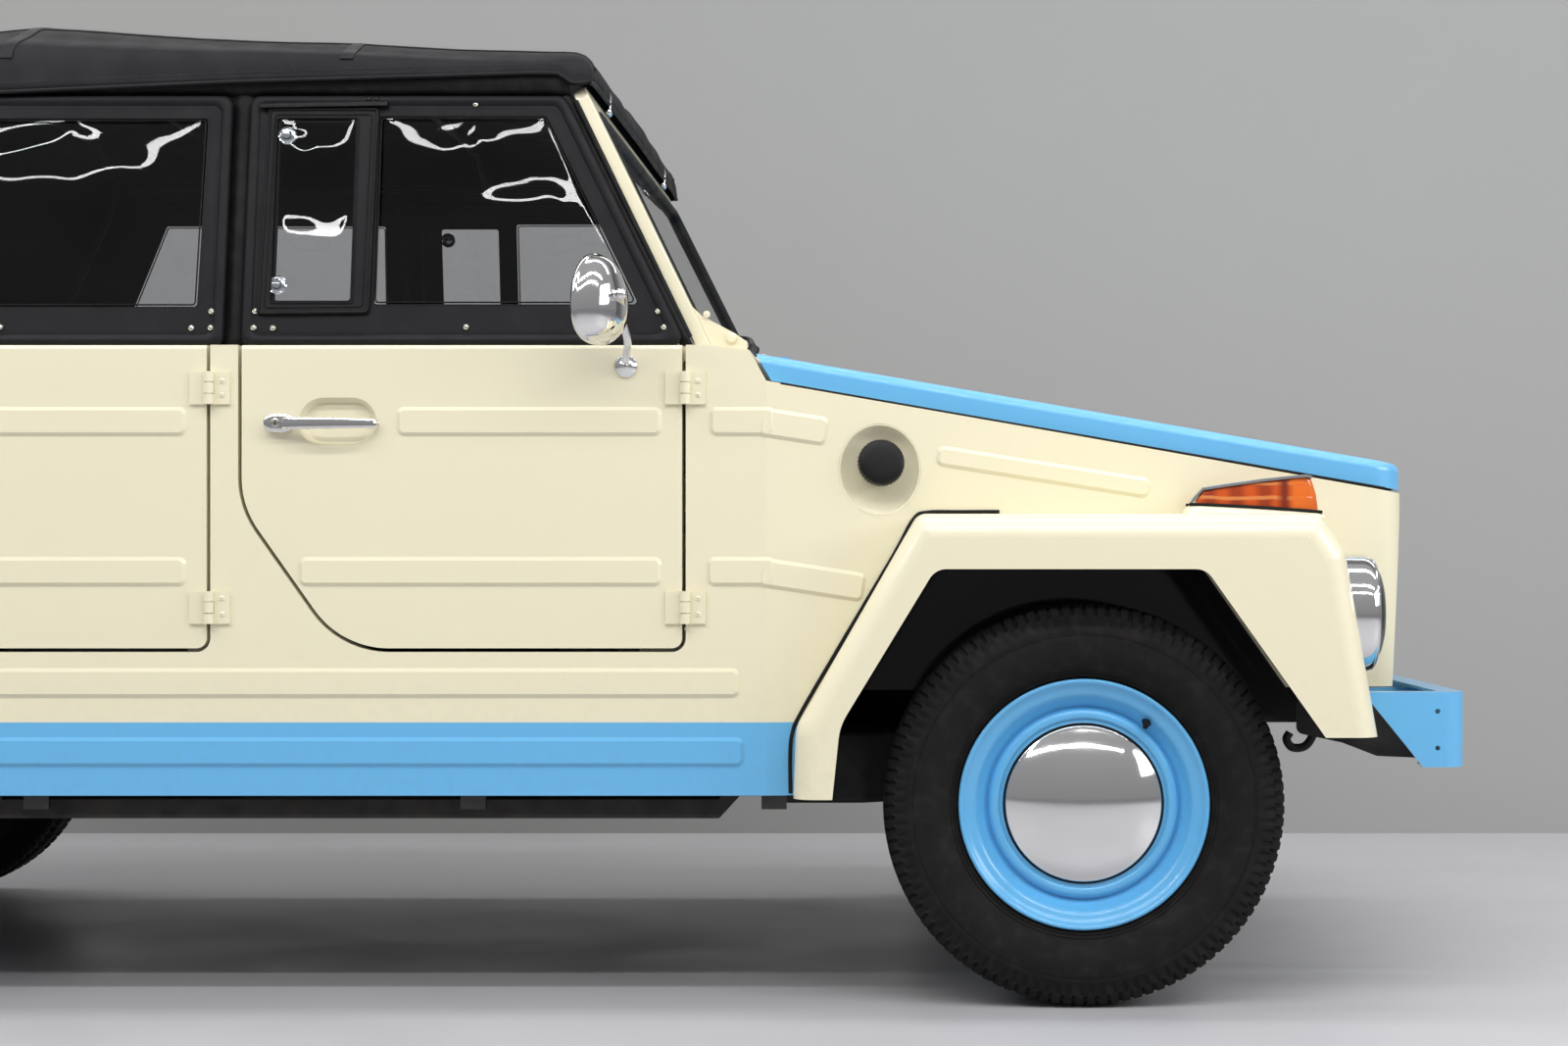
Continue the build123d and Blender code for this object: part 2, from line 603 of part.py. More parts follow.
# ---- Fenders ----
def fender(axle_x, facing, corners, radii):
    """A bolt-on fender: outer profile (x from the axle, z), hollow towards the body."""
    shape = outline([(axle_x + facing * x, z) for x, z in corners], radii)
    outer = side_slab(shape, -FENDER_HALF, 0)
    rim = outer.faces().sort_by(Axis.Y)[0].edges().filter_by(lambda e: e.center().Z > 445)
    outer = fillet(rim, 38)
    core_shape = offset(shape, amount=-FENDER_SKIN, kind=Kind.INTERSECTION)
    core = side_slab(core_shape, FENDER_SKIN - FENDER_HALF, 0)
    rim = core.faces().sort_by(Axis.Y)[0].edges().filter_by(lambda e: e.center().Z > 445)
    core = fillet(rim, 38 - FENDER_SKIN)
    shell = outer - core - Pos(0, 0, -3 * FENDER_SKIN) * core
    shell -= side_slab(arch(axle_x, facing), -FENDER_HALF - 5, 0)
    return shell - plan_slab(body_plan(0, NOSE_X), 200, BELT_Z)


def front_fender():
    """The right-hand front fender, upright at the front for the headlight."""
    top = [(-460, 337), (-456, 448), (-264, FENDER_TOP_Z), (367, FENDER_TOP_Z)]
    front = [(408, 724), (459, 434), (373, 434), (-397, 337)]
    return fender(FRONT_AXLE_X, 1, top + front, [0, 60, 22, 30, 30, 0, 0, 0])


def rear_fender():
    """The right-hand rear fender."""
    top = [(-460, 337), (-456, 448), (-264, FENDER_TOP_Z), (300, FENDER_TOP_Z)]
    rear = [(385, 700), (440, 434), (373, 434), (-397, 337)]
    return fender(REAR_AXLE_X, -1, top + rear, [0, 60, 22, 40, 40, 0, 0, 0])


# ---- Lamps ----
def headlight():
    """A round headlight on the front face of the right-hand fender."""
    z = 626.0
    y = 127.0 - FENDER_HALF
    face_x = FRONT_AXLE_X + 408
    back = FRONT_AXLE_X + 400
    section = outline([(0, 0), (95, 0), (95, 50), (88, 66), (60, 78), (0, 83)], [0, 0, 10, 8, 20, 0])
    plane = Plane(origin=(back, y, z), x_dir=(0, 0, 1), z_dir=(0, 1, 0))
    lamp = revolve(plane * section, axis=Axis((back, y, z), (1, 0, 0)))
    behind = side_slab(
        outline([(back - 50, 780), (face_x, 724), (face_x + 51, 434), (back - 50, 434)]),
        y - 120,
        y + 120,
    )
    above = outline([(back - 50, 900), (face_x, 900), (face_x, 724), (back - 50, 724)])
    return lamp - behind - side_slab(above, y - 120, y + 120)


def turn_signal():
    """The front turn signal on top of the right-hand fender."""
    x = FRONT_AXLE_X + 178
    top = FENDER_TOP_Z
    shape = outline([(x, top), (x + 200, top), (x + 190, top + 66), (x + 8, top + 49)], [0, 0, 10, 10])
    return side_slab(shape, 105 - FENDER_HALF, 160 - FENDER_HALF)


def tail_light():
    """An upright oblong lamp on the right of the tail."""
    plane = tail_plane()
    shape = plane * Pos(TAIL_HALF - 125, 220) * RectangleRounded(84, 180, 30)
    return extrude(shape, amount=32, taper=8)


# ---- Bumpers ----
def bumper(end_x, facing, bracket_x, bracket_top):
    """A wrapped bumper bar with its two carrying brackets; facing is 1 in front."""
    back_x = end_x - facing * BUMPER_WRAP

    def ring(inset):
        corner = max(4.0, 34 - inset)
        return outline(
            [
                (back_x, inset - BUMPER_HALF),
                (end_x - facing * inset, inset - BUMPER_HALF),
                (end_x - facing * inset, BUMPER_HALF - inset),
                (back_x, BUMPER_HALF - inset),
            ],
            [0, corner, corner, 0],
        )

    bar = plan_slab(ring(0) - ring(BUMPER_SKIN), BUMPER_BOTTOM_Z, BUMPER_TOP_Z)
    lips = ring(0) - ring(BUMPER_LIP)
    bar += plan_slab(lips, BUMPER_TOP_Z - BUMPER_SKIN, BUMPER_TOP_Z)
    bar += plan_slab(lips, BUMPER_BOTTOM_Z, BUMPER_BOTTOM_Z + BUMPER_SKIN)
    cut = outline([
        (back_x - facing * 2, BUMPER_TOP_Z - 10),
        (back_x + facing * 88, BUMPER_BOTTOM_Z - 2),
        (back_x - facing * 2, BUMPER_BOTTOM_Z - 2),
    ])
    bar -= side_slab(cut, -BUMPER_HALF - 5, BUMPER_HALF + 5)
    middle_z = (BUMPER_BOTTOM_Z + BUMPER_TOP_Z) / 2
    hole_x = end_x - facing * BUMPER_HOLE_INSET
    for z in (middle_z - BUMPER_HOLE_SPACING / 2, middle_z + BUMPER_HOLE_SPACING / 2):
        bar -= Pos(hole_x, 0, z) * Rot(90, 0, 0) * Cylinder(BUMPER_HOLE_R, 2 * BUMPER_HALF + 20)
    low_x, high_x = sorted((bracket_x, end_x - facing * BUMPER_SKIN))
    arm = block_both(low_x, high_x, BRACKET_Y - 6, BRACKET_Y + 6, bracket_top - 60, bracket_top)
    return bar + arm


# ---- Soft top ----
def header_edge():
    """The upper front edge of the soft top, over the windscreen, as (x, z)."""
    header_x = SCREEN_BASE_X - (SCREEN_TOP_Z - BELT_Z) * tan(SCREEN_SLOPE)
    return header_x + 6, SCREEN_TOP_Z + 66


def roof_line(x):
    """Height of the soft top's outer face between the header and the main bow."""
    header_x, header_z = header_edge()
    return header_z + (header_x - x) / (header_x - MAIN_BOW_X) * (ROOF_Z - header_z)


def top_profile(inset):
    """Side view of the soft top: header, roof rising to the main bow, and back curtain."""
    header_x, header_z = header_edge()
    base = BELT_Z + SEAT_GAP
    return outline(
        [
            (header_x - inset, base),
            (header_x - inset, header_z - inset),
            (MAIN_BOW_X, ROOF_Z - inset),
            (REAR_AXLE_X + 100, ROOF_Z - 62 - inset),
            (DECK_FRONT_X + 8 + inset, base),
        ],
        [0, 26, 500, 90, 0],
    )


def top_section(inset):
    """Front view of the soft top, leaning in to a rounded shoulder."""
    base = BELT_Z + SEAT_GAP
    corners = [
        (BODY_HALF - 18 - inset, base),
        (SCREEN_TOP_HALF + 22 - inset, SCREEN_TOP_Z - 16),
        (SCREEN_TOP_HALF - 2 - inset, SCREEN_TOP_Z + 70 - inset),
        (SCREEN_TOP_HALF - 162, ROOF_Z - 18 - inset),
        (0, ROOF_Z - inset),
    ]
    left = [(-y, z) for y, z in reversed(corners[:-1])]
    return outline(corners + left, [0, 0, 30, 260, 0, 260, 30, 0, 0])


def rear_window_shape():
    """Outline across the car of the clear panel in the back curtain."""
    return outline([(-430, 1160), (430, 1160), (400, 1440), (-400, 1440)], 40)


def soft_top():
    """The raised top as a hollow fabric shell, open at the side windows and below."""
    skin = 9.0

    def form(inset):
        across = cross_slab(top_section(inset), TAIL_X, BULKHEAD_X)
        return side_slab(top_profile(inset), -BODY_HALF, BODY_HALF) & across

    outer = form(0)
    core = form(skin)
    shell = outer - core - Pos(0, 0, -2 * skin) * core
    front_x = DOOR_FRONT_X
    rear_top_x = REAR_DOOR_REAR_X + 150
    side_gap = outline([
        (front_x, BELT_Z - 20),
        (front_x, 1492),
        (DOOR_FRONT_X - 320, 1488),
        (REAR_DOOR_FRONT_X - 330, 1475),
        (rear_top_x, 1475),
        (REAR_DOOR_REAR_X - 24, BELT_Z - 20),
    ])
    shell -= side_slab(side_gap, -BODY_HALF, BODY_HALF)
    return shell - cross_slab(rear_window_shape(), TAIL_X, REAR_AXLE_X + 90)


def rear_window():
    """The clear panel sewn into the back curtain."""
    outer = side_slab(top_profile(3), -BODY_HALF, BODY_HALF)
    core = side_slab(top_profile(6), -BODY_HALF, BODY_HALF)
    return (outer - core) & cross_slab(rear_window_shape(), TAIL_X, REAR_AXLE_X + 90)


def top_bows():
    """Header rail, side rails and three bows that hold the top up."""
    header_x = header_edge()[0] - 6
    rail_y = SCREEN_TOP_HALF - 20
    rail_z = SCREEN_TOP_Z + 14
    bow_flat = SCREEN_TOP_HALF - 172
    pivot_x = REAR_DOOR_REAR_X - 60
    header = block(header_x - 40, header_x - 6, -rail_y - 6, rail_y + 6, SCREEN_TOP_Z + 1, SCREEN_TOP_Z + 34)
    frame = header
    radius = 9.0
    for side in (-1, 1):
        frame += rod((header_x - 20, side * rail_y, rail_z), (pivot_x + 190, side * rail_y, rail_z), radius)
        corner = (pivot_x + 190, side * rail_y, rail_z)
        frame += rod(corner, (pivot_x, side * (rail_y + 26), BELT_Z + 40), radius)
        frame += Pos(*corner) * Sphere(radius + 2)
        low, high = sorted((side * (rail_y + 8), side * (BODY_HALF - WALL)))
        frame += block(pivot_x - 26, pivot_x + 26, low, high, BELT_Z - 20, BELT_Z + 48)
    front_x = DOOR_FRONT_X - 560
    bows = ((front_x, roof_line(front_x) - 22.8), (MAIN_BOW_X, ROOF_Z - 40), (pivot_x + 190, ROOF_Z - 48))
    for x, bow_z in bows:
        corners = [(x, -rail_y, rail_z), (x, -bow_flat, bow_z), (x, bow_flat, bow_z), (x, rail_y, rail_z)]
        for start, end in zip(corners, corners[1:]):
            frame += rod(start, end, radius)
        for corner in corners:
            frame += Pos(*corner) * Sphere(radius + 1.5)
    return frame


# ---- Doors, curtains and their fittings ----
def door(front_x):
    """A right-hand door slab with ribs, handle pocket and hinge halves."""
    panel = side_slab(door_shape(front_x, BELT_Z + GAP, GAP), -BODY_HALF, WALL - BODY_HALF)
    lip = panel.edges().filter_by(Axis.X).sort_by(Axis.Z)[-2:]
    panel = fillet(lip, 7)
    handle_x = front_x - DOOR_LENGTH + 159
    pocket = Plane(origin=(handle_x, -BODY_HALF, 931), x_dir=(1, 0, 0), z_dir=(0, 1, 0))
    panel -= extrude(pocket * SlotOverall(124, 78), amount=14, taper=30)
    panel += rib(front_x - 460, front_x - HINGE_LEAF - 6, UPPER_RIB_Z)
    panel += rib(front_x - DOOR_LENGTH + 97, front_x - HINGE_LEAF - 6, LOWER_RIB_Z)
    for z in HINGE_Z:
        panel += hinge_on_door(front_x, z)
    return panel


def door_handle(front_x):
    """A bar handle with its lock plate, over the door's pocket."""
    rear_x = front_x - DOOR_LENGTH + 45
    plate = block(rear_x, rear_x + 46, -BODY_HALF - 14, -BODY_HALF, 913, 943)
    bar = block(rear_x + 30, rear_x + 176, -BODY_HALF - 30, -BODY_HALF - 18, 919, 937)
    post = block(rear_x + 30, rear_x + 44, -BODY_HALF - 24, -BODY_HALF - 8, 919, 937)
    foot = block(rear_x + 162, rear_x + 176, -BODY_HALF - 24, -BODY_HALF, 921, 935)
    handle = plate + bar + post + foot
    return fillet(handle.edges().filter_by(Axis.X).sort_by(Axis.Y)[:2], 5)


def curtain_outline(rear_x, front_x, rear_slant, front_slant, inset):
    """A curtain's outline in its own plane, with slanted or square ends."""
    lean = atan2(CURTAIN_BASE_Y - CURTAIN_TOP_Y, CURTAIN_TOP_Z - CURTAIN_BASE_Z)
    height = (CURTAIN_TOP_Z - CURTAIN_BASE_Z) / cos(lean)
    low = inset * 1.55 + CURTAIN_THICKNESS * tan(lean)
    high = height - inset
    rear_inset = inset / cos(rear_slant)
    front_inset = inset / cos(front_slant)
    return outline(
        [
            (rear_x + low * tan(rear_slant) + rear_inset, low),
            (front_x - low * tan(front_slant) - front_inset, low),
            (front_x - high * tan(front_slant) - front_inset, high),
            (rear_x + high * tan(rear_slant) + rear_inset, high),
        ],
        14 if inset == 0 else 6,
    )


def curtain_ends(front_x):
    """Where a door's curtain starts and ends at the belt, with the slant of each end."""
    if front_x == DOOR_FRONT_X:
        by_screen = SCREEN_BASE_X - SCREEN_DEPTH / cos(SCREEN_SLOPE) - 12
        return front_x - DOOR_LENGTH - 2, by_screen, 0.0, SCREEN_SLOPE
    return front_x - DOOR_LENGTH + 4, front_x + 14, CURTAIN_SLANT, 0.0


def side_curtain(front_x):
    """A right-hand curtain's stiff frame with its window cut."""
    ends = curtain_ends(front_x)
    plane = curtain_plane()
    border = curtain_outline(*ends, 0) - curtain_outline(*ends, CURTAIN_BORDER)
    return extrude(plane * border, amount=-CURTAIN_THICKNESS)


def curtain_window(front_x):
    """The clear pane in a right-hand curtain."""
    ends = curtain_ends(front_x)
    plane = curtain_plane().offset(-CURTAIN_THICKNESS / 2)
    return extrude(plane * curtain_outline(*ends, CURTAIN_BORDER), amount=-PANE_THICKNESS)


def mirror_head():
    """A right-hand door mirror: foot, stalk and oval shell facing rearwards."""
    x = DOOR_FRONT_X - 95
    foot = Pos(x, -BODY_HALF - 4, 1020) * Rot(90, 0, 0) * Cylinder(19, 8)
    stalk = rod((x, -BODY_HALF - 6, 1020), (x - 4, -BODY_HALF - 62, 1062), 7)
    stalk += rod((x - 4, -BODY_HALF - 62, 1062), (x - 14, -BODY_HALF - 100, 1112), 7)
    stalk += Pos(x - 4, -BODY_HALF - 62, 1062) * Sphere(7.5)
    plane = Plane(origin=(x - 62, -BODY_HALF - 100, 1116), x_dir=(0, 1, 0), z_dir=(1, 0, 0))
    rim = extrude(plane * Ellipse(56, 68), amount=10)
    dome = loft([plane.offset(10) * Ellipse(56, 68), plane.offset(34) * Ellipse(42, 53)])
    cap = loft([plane.offset(34) * Ellipse(42, 53), plane.offset(46) * Ellipse(22, 30)])
    return foot + stalk + rim + dome + cap


# ---- Hood and engine lid ----
def hood():
    """The front lid: a shallow pan with a deep side band, hinged at the scuttle."""
    plan_front = HOOD_FRONT_X
    slope = (cos(HOOD_SLOPE), 0, -sin(HOOD_SLOPE))

    def form(inset):
        rear = HOOD_REAR_X + inset
        right = [
            (rear, HOOD_INSET + inset - BODY_HALF),
            (BEND_X, HOOD_INSET + inset - BODY_HALF),
            (plan_front - inset, HOOD_INSET + inset - half_width(plan_front)),
        ]
        left = [(x, -y) for x, y in reversed(right)]
        corner = 60 - inset
        plan = plan_slab(outline(right + left, [0, 0, corner, corner, 0, 0]), 600, 1200)
        behind = (rear - 200 * slope[0], 0, HOOD_REAR_Z - 200 * slope[2])
        across = Plane(origin=behind, x_dir=(0, 1, 0), z_dir=slope)
        crown = make_face([
            Edge.make_three_point_arc((-BODY_HALF, -2 - inset), (0, 6 - inset), (BODY_HALF, -2 - inset)),
            Edge.make_line((BODY_HALF, -2 - inset), (BODY_HALF, -150)),
            Edge.make_line((BODY_HALF, -150), (-BODY_HALF, -150)),
            Edge.make_line((-BODY_HALF, -150), (-BODY_HALF, -2 - inset)),
        ])
        return plan & extrude(across * crown, amount=1600)

    outer = form(0)
    top = outer.faces().filter_by(lambda face: face.normal_at().Z > 0.8)[0]
    outer = fillet(top.edges().filter_by(lambda edge: edge.center().X > HOOD_REAR_X + 5), 16)
    band = side_slab(
        outline([
            (HOOD_REAR_X - 1, HOOD_REAR_Z + 3),
            (HOOD_REAR_X - 1, HOOD_REAR_Z + 60),
            (HOOD_FRONT_X + 20, HOOD_REAR_Z + 60),
            (HOOD_FRONT_X + 20, hood_line(HOOD_FRONT_X + 20)),
            (HOOD_REAR_X + HOOD_RAKE, hood_line(HOOD_REAR_X + HOOD_RAKE)),
        ]),
        -BODY_HALF,
        BODY_HALF,
    )
    pan = (outer - form(HOOD_SKIN)) & band
    for y in (-460, 460):
        barrel = Pos(HOOD_AXIS_X, y, HOOD_AXIS_Z) * Rot(90, 0, 0) * Cylinder(BARREL_R - 1, 21)
        strap = block(HOOD_AXIS_X, HOOD_REAR_X + 40, y - 10, y + 10, HOOD_REAR_Z - 14, HOOD_AXIS_Z + 3)
        bore = Pos(HOOD_AXIS_X, y, HOOD_AXIS_Z) * Rot(90, 0, 0) * Cylinder(PIN_R + RUNNING, 48)
        clear_top = HOOD_AXIS_Z - BARREL_R + 1
        clear = block(HOOD_AXIS_X - 20, HOOD_REAR_X - 0.5, y - 20, y + 20, HOOD_REAR_Z - 30, clear_top)
        notch = Pos(HOOD_AXIS_X, y, HOOD_AXIS_Z) * Rot(90, 0, 0) * Cylinder(BARREL_R + 1, 52)
        pan -= notch
        pan += (barrel + strap) - clear
        pan -= bore
    return pan


def lid_shape(inset):
    """The engine lid's outline in the plane of the tail."""
    return Pos(0, 235) * RectangleRounded(2 * (400 - inset), 2 * (150 - inset), 30)


def lid_axis():
    """A point on the engine lid's hinge axis, on the centre plane."""
    return tail_plane().from_local_coords((0, 235 + 150 - 4, 9))


def engine_lid():
    """The lid over the engine, hinged along its top edge."""
    lid = extrude(tail_plane() * lid_shape(GAP), amount=-PLATE)
    axis = lid_axis()
    for y in (-250, 250):
        barrel = Pos(axis.X, y, axis.Z) * Rot(90, 0, 0) * Cylinder(BARREL_R - 1, 20)
        tongue = extrude(tail_plane() * Pos(-y, 235 + 150 - 19) * Rectangle(20, 32), amount=5)
        bore = Pos(axis.X, y, axis.Z) * Rot(90, 0, 0) * Cylinder(PIN_R + RUNNING, 30)
        lid += barrel + tongue
        lid -= bore
    return lid


def lid_hinges():
    """The fixed halves of the engine lid's hinges, on the tail above the lid."""
    axis = lid_axis()
    hinges = Part()
    for y in (-250, 250):
        hinges += Pos(axis.X, y, axis.Z) * Rot(90, 0, 0) * Cylinder(PIN_R, 44)
        for shift in (-17, 17):
            hinges += Pos(axis.X, y + shift, axis.Z) * Rot(90, 0, 0) * Cylinder(BARREL_R - 1, 12)
            hinges += extrude(tail_plane() * Pos(-y - shift, 235 + 150 + 11) * Rectangle(12, 26), amount=6)
    return hinges


# ---- Cabin fittings ----
def front_seats():
    """Two front seats on floor pedestals."""
    floor = FLOOR_Z + FLOOR
    x = REAR_DOOR_FRONT_X + 95
    pedestal = block(x + 30, x + 400, 170, 560, floor, floor + 150)
    cushion = block(x - 10, x + 470, 130, 600, floor + 150, floor + 265)
    cushion = fillet(cushion.edges(), 30)
    back = Pos(x - 40, 365, floor + 500) * Rot(0, -14, 0) * Box(95, 470, 500)
    back = fillet(back.edges(), 30)
    seat = pedestal + cushion + back
    return Compound(children=[*seat.solids(), *on_left(seat).solids()])


def rear_seat():
    """The rear bench on the seat pan."""
    half = WHEELHOUSE_Y - 30
    cushion = block(SEAT_BACK_X + 30, HEEL_X - 10, -half, half, SEAT_PAN_Z, SEAT_PAN_Z + 130)
    cushion = fillet(cushion.edges(), 30)
    back_low = (SEAT_BACK_X + 2, SEAT_PAN_Z + 100)
    back = side_slab(
        outline(
            [
                back_low,
                (SEAT_BACK_X + 120, SEAT_PAN_Z + 100),
                (SEAT_BACK_X + 60, 1010),
                (SEAT_BACK_X - 30, 1010),
                (SEAT_BACK_X + 2, 735),
            ],
            [0, 20, 30, 30, 0],
        ),
        -half,
        half,
    )
    return cushion + back


def steering_frame():
    """The steering axis: its centre and its direction towards the driver."""
    return Vector(STEER_X, STEER_Y, STEER_Z), Vector(-cos(COLUMN_RAKE), 0, sin(COLUMN_RAKE))


def steering_column():
    """The fixed column from the bulkhead to the wheel, with its bracket and end spigot."""
    centre, way = steering_frame()
    start = centre - way * 30
    reach = (BULKHEAD_X - PLATE - STEER_X) / cos(COLUMN_RAKE)
    tube = rod(tuple(centre - way * (reach + 40)), tuple(start), COLUMN_R)
    tube = tube & block(0, BULKHEAD_X - PLATE, 0, BODY_HALF, 300, BELT_Z)
    spigot = rod(tuple(start), tuple(centre + way * 12), 9)
    x = DOOR_FRONT_X - 45
    z = STEER_Z - (x - STEER_X) * tan(COLUMN_RAKE)
    bracket = block(x - 14, x + 8, STEER_Y - 22, STEER_Y + 22, z, BELT_Z - 190)
    return tube + spigot + bracket


def steering_wheel():
    """A thin-rimmed wheel with two spokes and a bored hub."""
    centre, way = steering_frame()
    plane = Plane(origin=tuple(centre), x_dir=(0, 1, 0), z_dir=tuple(way))
    rim = plane * Torus(STEER_RIM_R, STEER_TUBE_R)
    hub = extrude(plane.offset(-24) * Circle(32), amount=38)
    spokes = extrude(plane.offset(-6) * Rectangle(2 * STEER_RIM_R, 28), amount=10)
    bore = extrude(plane.offset(-40) * Circle(9 + RUNNING), amount=53)
    return rim + hub + spokes - bore


# ---- Running gear ----
def tyre(x, y, side):
    """A radial tyre's solid carcass."""
    half = TYRE_WIDTH / 2
    bead = RIM_WIDTH / 2 - 3
    sidewall = TYRE_R - RIM_R
    bulge_r = RIM_R + BULGE_SHARE * sidewall
    shoulder = min(60.0, sidewall / 2)
    points = [
        (RIM_R, -bead),
        (RIM_R + FLANGE + 2, -bead),
        (bulge_r, -half - 6),
        (TYRE_R - 6, 10 - half),
        (TYRE_R, 24 - half),
        (TYRE_R, half - 24),
        (TYRE_R - 6, half - 10),
        (bulge_r, half + 6),
        (RIM_R + FLANGE + 2, bead),
        (RIM_R, bead),
    ]
    return turned(outline(points, [0, 4, shoulder, 10, 8, 8, 10, shoulder, 4, 0]), x, y, side)


def wheel(x, y, side):
    """A pressed steel wheel: flanged barrel with a drop centre and a dished disc."""
    half = RIM_WIDTH / 2
    seat = RIM_R - SEAT_GAP
    barrel = outline([
        (seat + FLANGE, -half - 3),
        (seat + FLANGE, SEAT_GAP + 2.7 - half),
        (seat, SEAT_GAP + 2.7 - half),
        (seat, 26 - half),
        (seat - 20, 40 - half),
        (seat - 20, half - 40),
        (seat, half - 26),
        (seat, half - SEAT_GAP - 2.7),
        (seat + FLANGE, half - SEAT_GAP - 2.7),
        (seat + FLANGE, half + 3),
        (seat - RIM_SKIN, half + 3),
        (seat - RIM_SKIN, half - 22),
        (seat - 20 - RIM_SKIN, half - 36),
        (seat - 20 - RIM_SKIN, 36 - half),
        (seat - RIM_SKIN, 22 - half),
        (seat - RIM_SKIN, -half - 3),
    ])
    disc = outline([
        (STUB_R + RUNNING, HUB_FACE),
        (100, HUB_FACE),
        (128, HUB_FACE - 2),
        (148, HUB_FACE - 20),
        (seat - 24, HUB_FACE - 26),
        (seat - 24, HUB_FACE - 34),
        (146, HUB_FACE - 29),
        (126, HUB_FACE - 11),
        (98, HUB_FACE - 9),
        (STUB_R + RUNNING, HUB_FACE - 9),
    ])
    return turned(barrel, x, y, side) + turned(disc, x, y, side)


def front_axle():
    """Twin torsion beams with trailing arms whose eyes hold the kingpins."""
    parts = Part()
    for level in (-EYE_OFFSET, EYE_OFFSET):
        z = TYRE_R + level
        parts += rod((BEAM_X, -BEAM_HALF, z), (BEAM_X, BEAM_HALF, z), BEAM_R)
        for side in (-1, 1):
            start = Vector(BEAM_X, side * BEAM_HALF, z)
            end = Vector(FRONT_AXLE_X, side * KINGPIN_Y, z)
            way = end - start
            plane = Plane(origin=tuple((start + end) / 2), x_dir=tuple(way), z_dir=(0, 0, 1))
            parts += extrude(plane * Rectangle(way.length, 26), amount=13, both=True)
            parts += Pos(*start) * Cylinder(BEAM_R, EYE_HEIGHT + 6)
            parts += Pos(*end) * Cylinder(EYE_R, EYE_HEIGHT)
            parts -= Pos(*end) * Cylinder(KINGPIN_R + RUNNING, EYE_HEIGHT + 10)
    for y in (-120, 120):
        parts += block(BEAM_X - 14, BEAM_X + 14, y - 8, y + 8, TYRE_R - EYE_OFFSET, TYRE_R + EYE_OFFSET)
    return parts


def knuckle():
    """The right-hand steering knuckle: kingpin, boss, backing plate, stub and arm."""
    reach = EYE_OFFSET + EYE_HEIGHT / 2 + 6
    pin = Pos(FRONT_AXLE_X, -KINGPIN_Y, TYRE_R) * Cylinder(KINGPIN_R, 2 * reach)
    boss = Pos(FRONT_AXLE_X, -KINGPIN_Y, TYRE_R) * Cylinder(EYE_R + 2, 2 * EYE_OFFSET - EYE_HEIGHT - 1)
    wheel_y = TRACK_FRONT / 2
    end_y = wheel_y + HUB_FACE + 4
    stub = rod((FRONT_AXLE_X, -KINGPIN_Y, TYRE_R), (FRONT_AXLE_X, -end_y, TYRE_R), STUB_R)
    shoulder_y = wheel_y + HUB_FACE - 9 - 1
    shoulder = rod((FRONT_AXLE_X, -shoulder_y + 14, TYRE_R), (FRONT_AXLE_X, -shoulder_y, TYRE_R), STUB_R + 12)
    plate = rod((FRONT_AXLE_X, 12 - wheel_y, TYRE_R), (FRONT_AXLE_X, 4 - wheel_y, TYRE_R), 118)
    arm = block(FRONT_AXLE_X - 120, FRONT_AXLE_X, 8 - KINGPIN_Y, 26 - KINGPIN_Y, TYRE_R - 30, TYRE_R - 12)
    return pin + boss + stub + shoulder + plate + arm


def rear_axle():
    """Transaxle, swing axle tubes, torsion tube and spring plates."""
    tube_x = REAR_AXLE_X + 330
    case = block(REAR_AXLE_X - 130, REAR_AXLE_X + 190, -105, 105, TYRE_R - 95, TYRE_R + 85)
    case = fillet(case.edges().filter_by(Axis.X), 40)
    nose = rod((REAR_AXLE_X + 190, 0, TYRE_R), (tube_x + 30, 0, TYRE_R), 55)
    torsion_half = WHEELHOUSE_Y - 40
    torsion = rod((tube_x, -torsion_half, TYRE_R + 10), (tube_x, torsion_half, TYRE_R + 10), TORSION_R)
    parts = case + nose + torsion
    wheel_y = TRACK_REAR / 2
    end_y = wheel_y + HUB_FACE + 4
    shoulder_y = wheel_y + HUB_FACE - 10
    for side in (-1, 1):
        parts += rod((REAR_AXLE_X, 0, TYRE_R), (REAR_AXLE_X, side * (wheel_y - 63), TYRE_R), 34)
        stub_in = (REAR_AXLE_X, side * (wheel_y - 83), TYRE_R)
        parts += rod(stub_in, (REAR_AXLE_X, side * end_y, TYRE_R), STUB_R)
        shoulder_in = (REAR_AXLE_X, side * (shoulder_y - 20), TYRE_R)
        parts += rod(shoulder_in, (REAR_AXLE_X, side * shoulder_y, TYRE_R), STUB_R + 12)
        drum_in = (REAR_AXLE_X, side * (wheel_y - 14), TYRE_R)
        parts += rod(drum_in, (REAR_AXLE_X, side * (wheel_y - 4), TYRE_R), 118)
        low, high = sorted((side * (torsion_half - 14), side * torsion_half))
        parts += block(REAR_AXLE_X, tube_x, low, high, TYRE_R - 26, TYRE_R + 40)
    return parts


def engine():
    """The flat engine behind the axle, as one plain block."""
    case = block(REAR_AXLE_X - 560, REAR_AXLE_X - 130, -300, 300, TYRE_R - 90, TYRE_R + 300)
    return fillet(case.edges().filter_by(Axis.Y), 40)


def muffler():
    """The cross-mounted silencer under the tail with two tail pipes."""
    x = REAR_AXLE_X - 628
    can = rod((x, -290, TYRE_R + 14), (x, 290, TYRE_R + 14), 62)
    pipes = rod((x, -150, TYRE_R), (REAR_END_X + 30, -150, TYRE_R - 34), 15)
    pipes += rod((x, 150, TYRE_R), (REAR_END_X + 30, 150, TYRE_R - 34), 15)
    stays = block_both(x, REAR_AXLE_X - 560, 236, 250, TYRE_R + 4, TYRE_R + 24)
    return can + pipes + stays


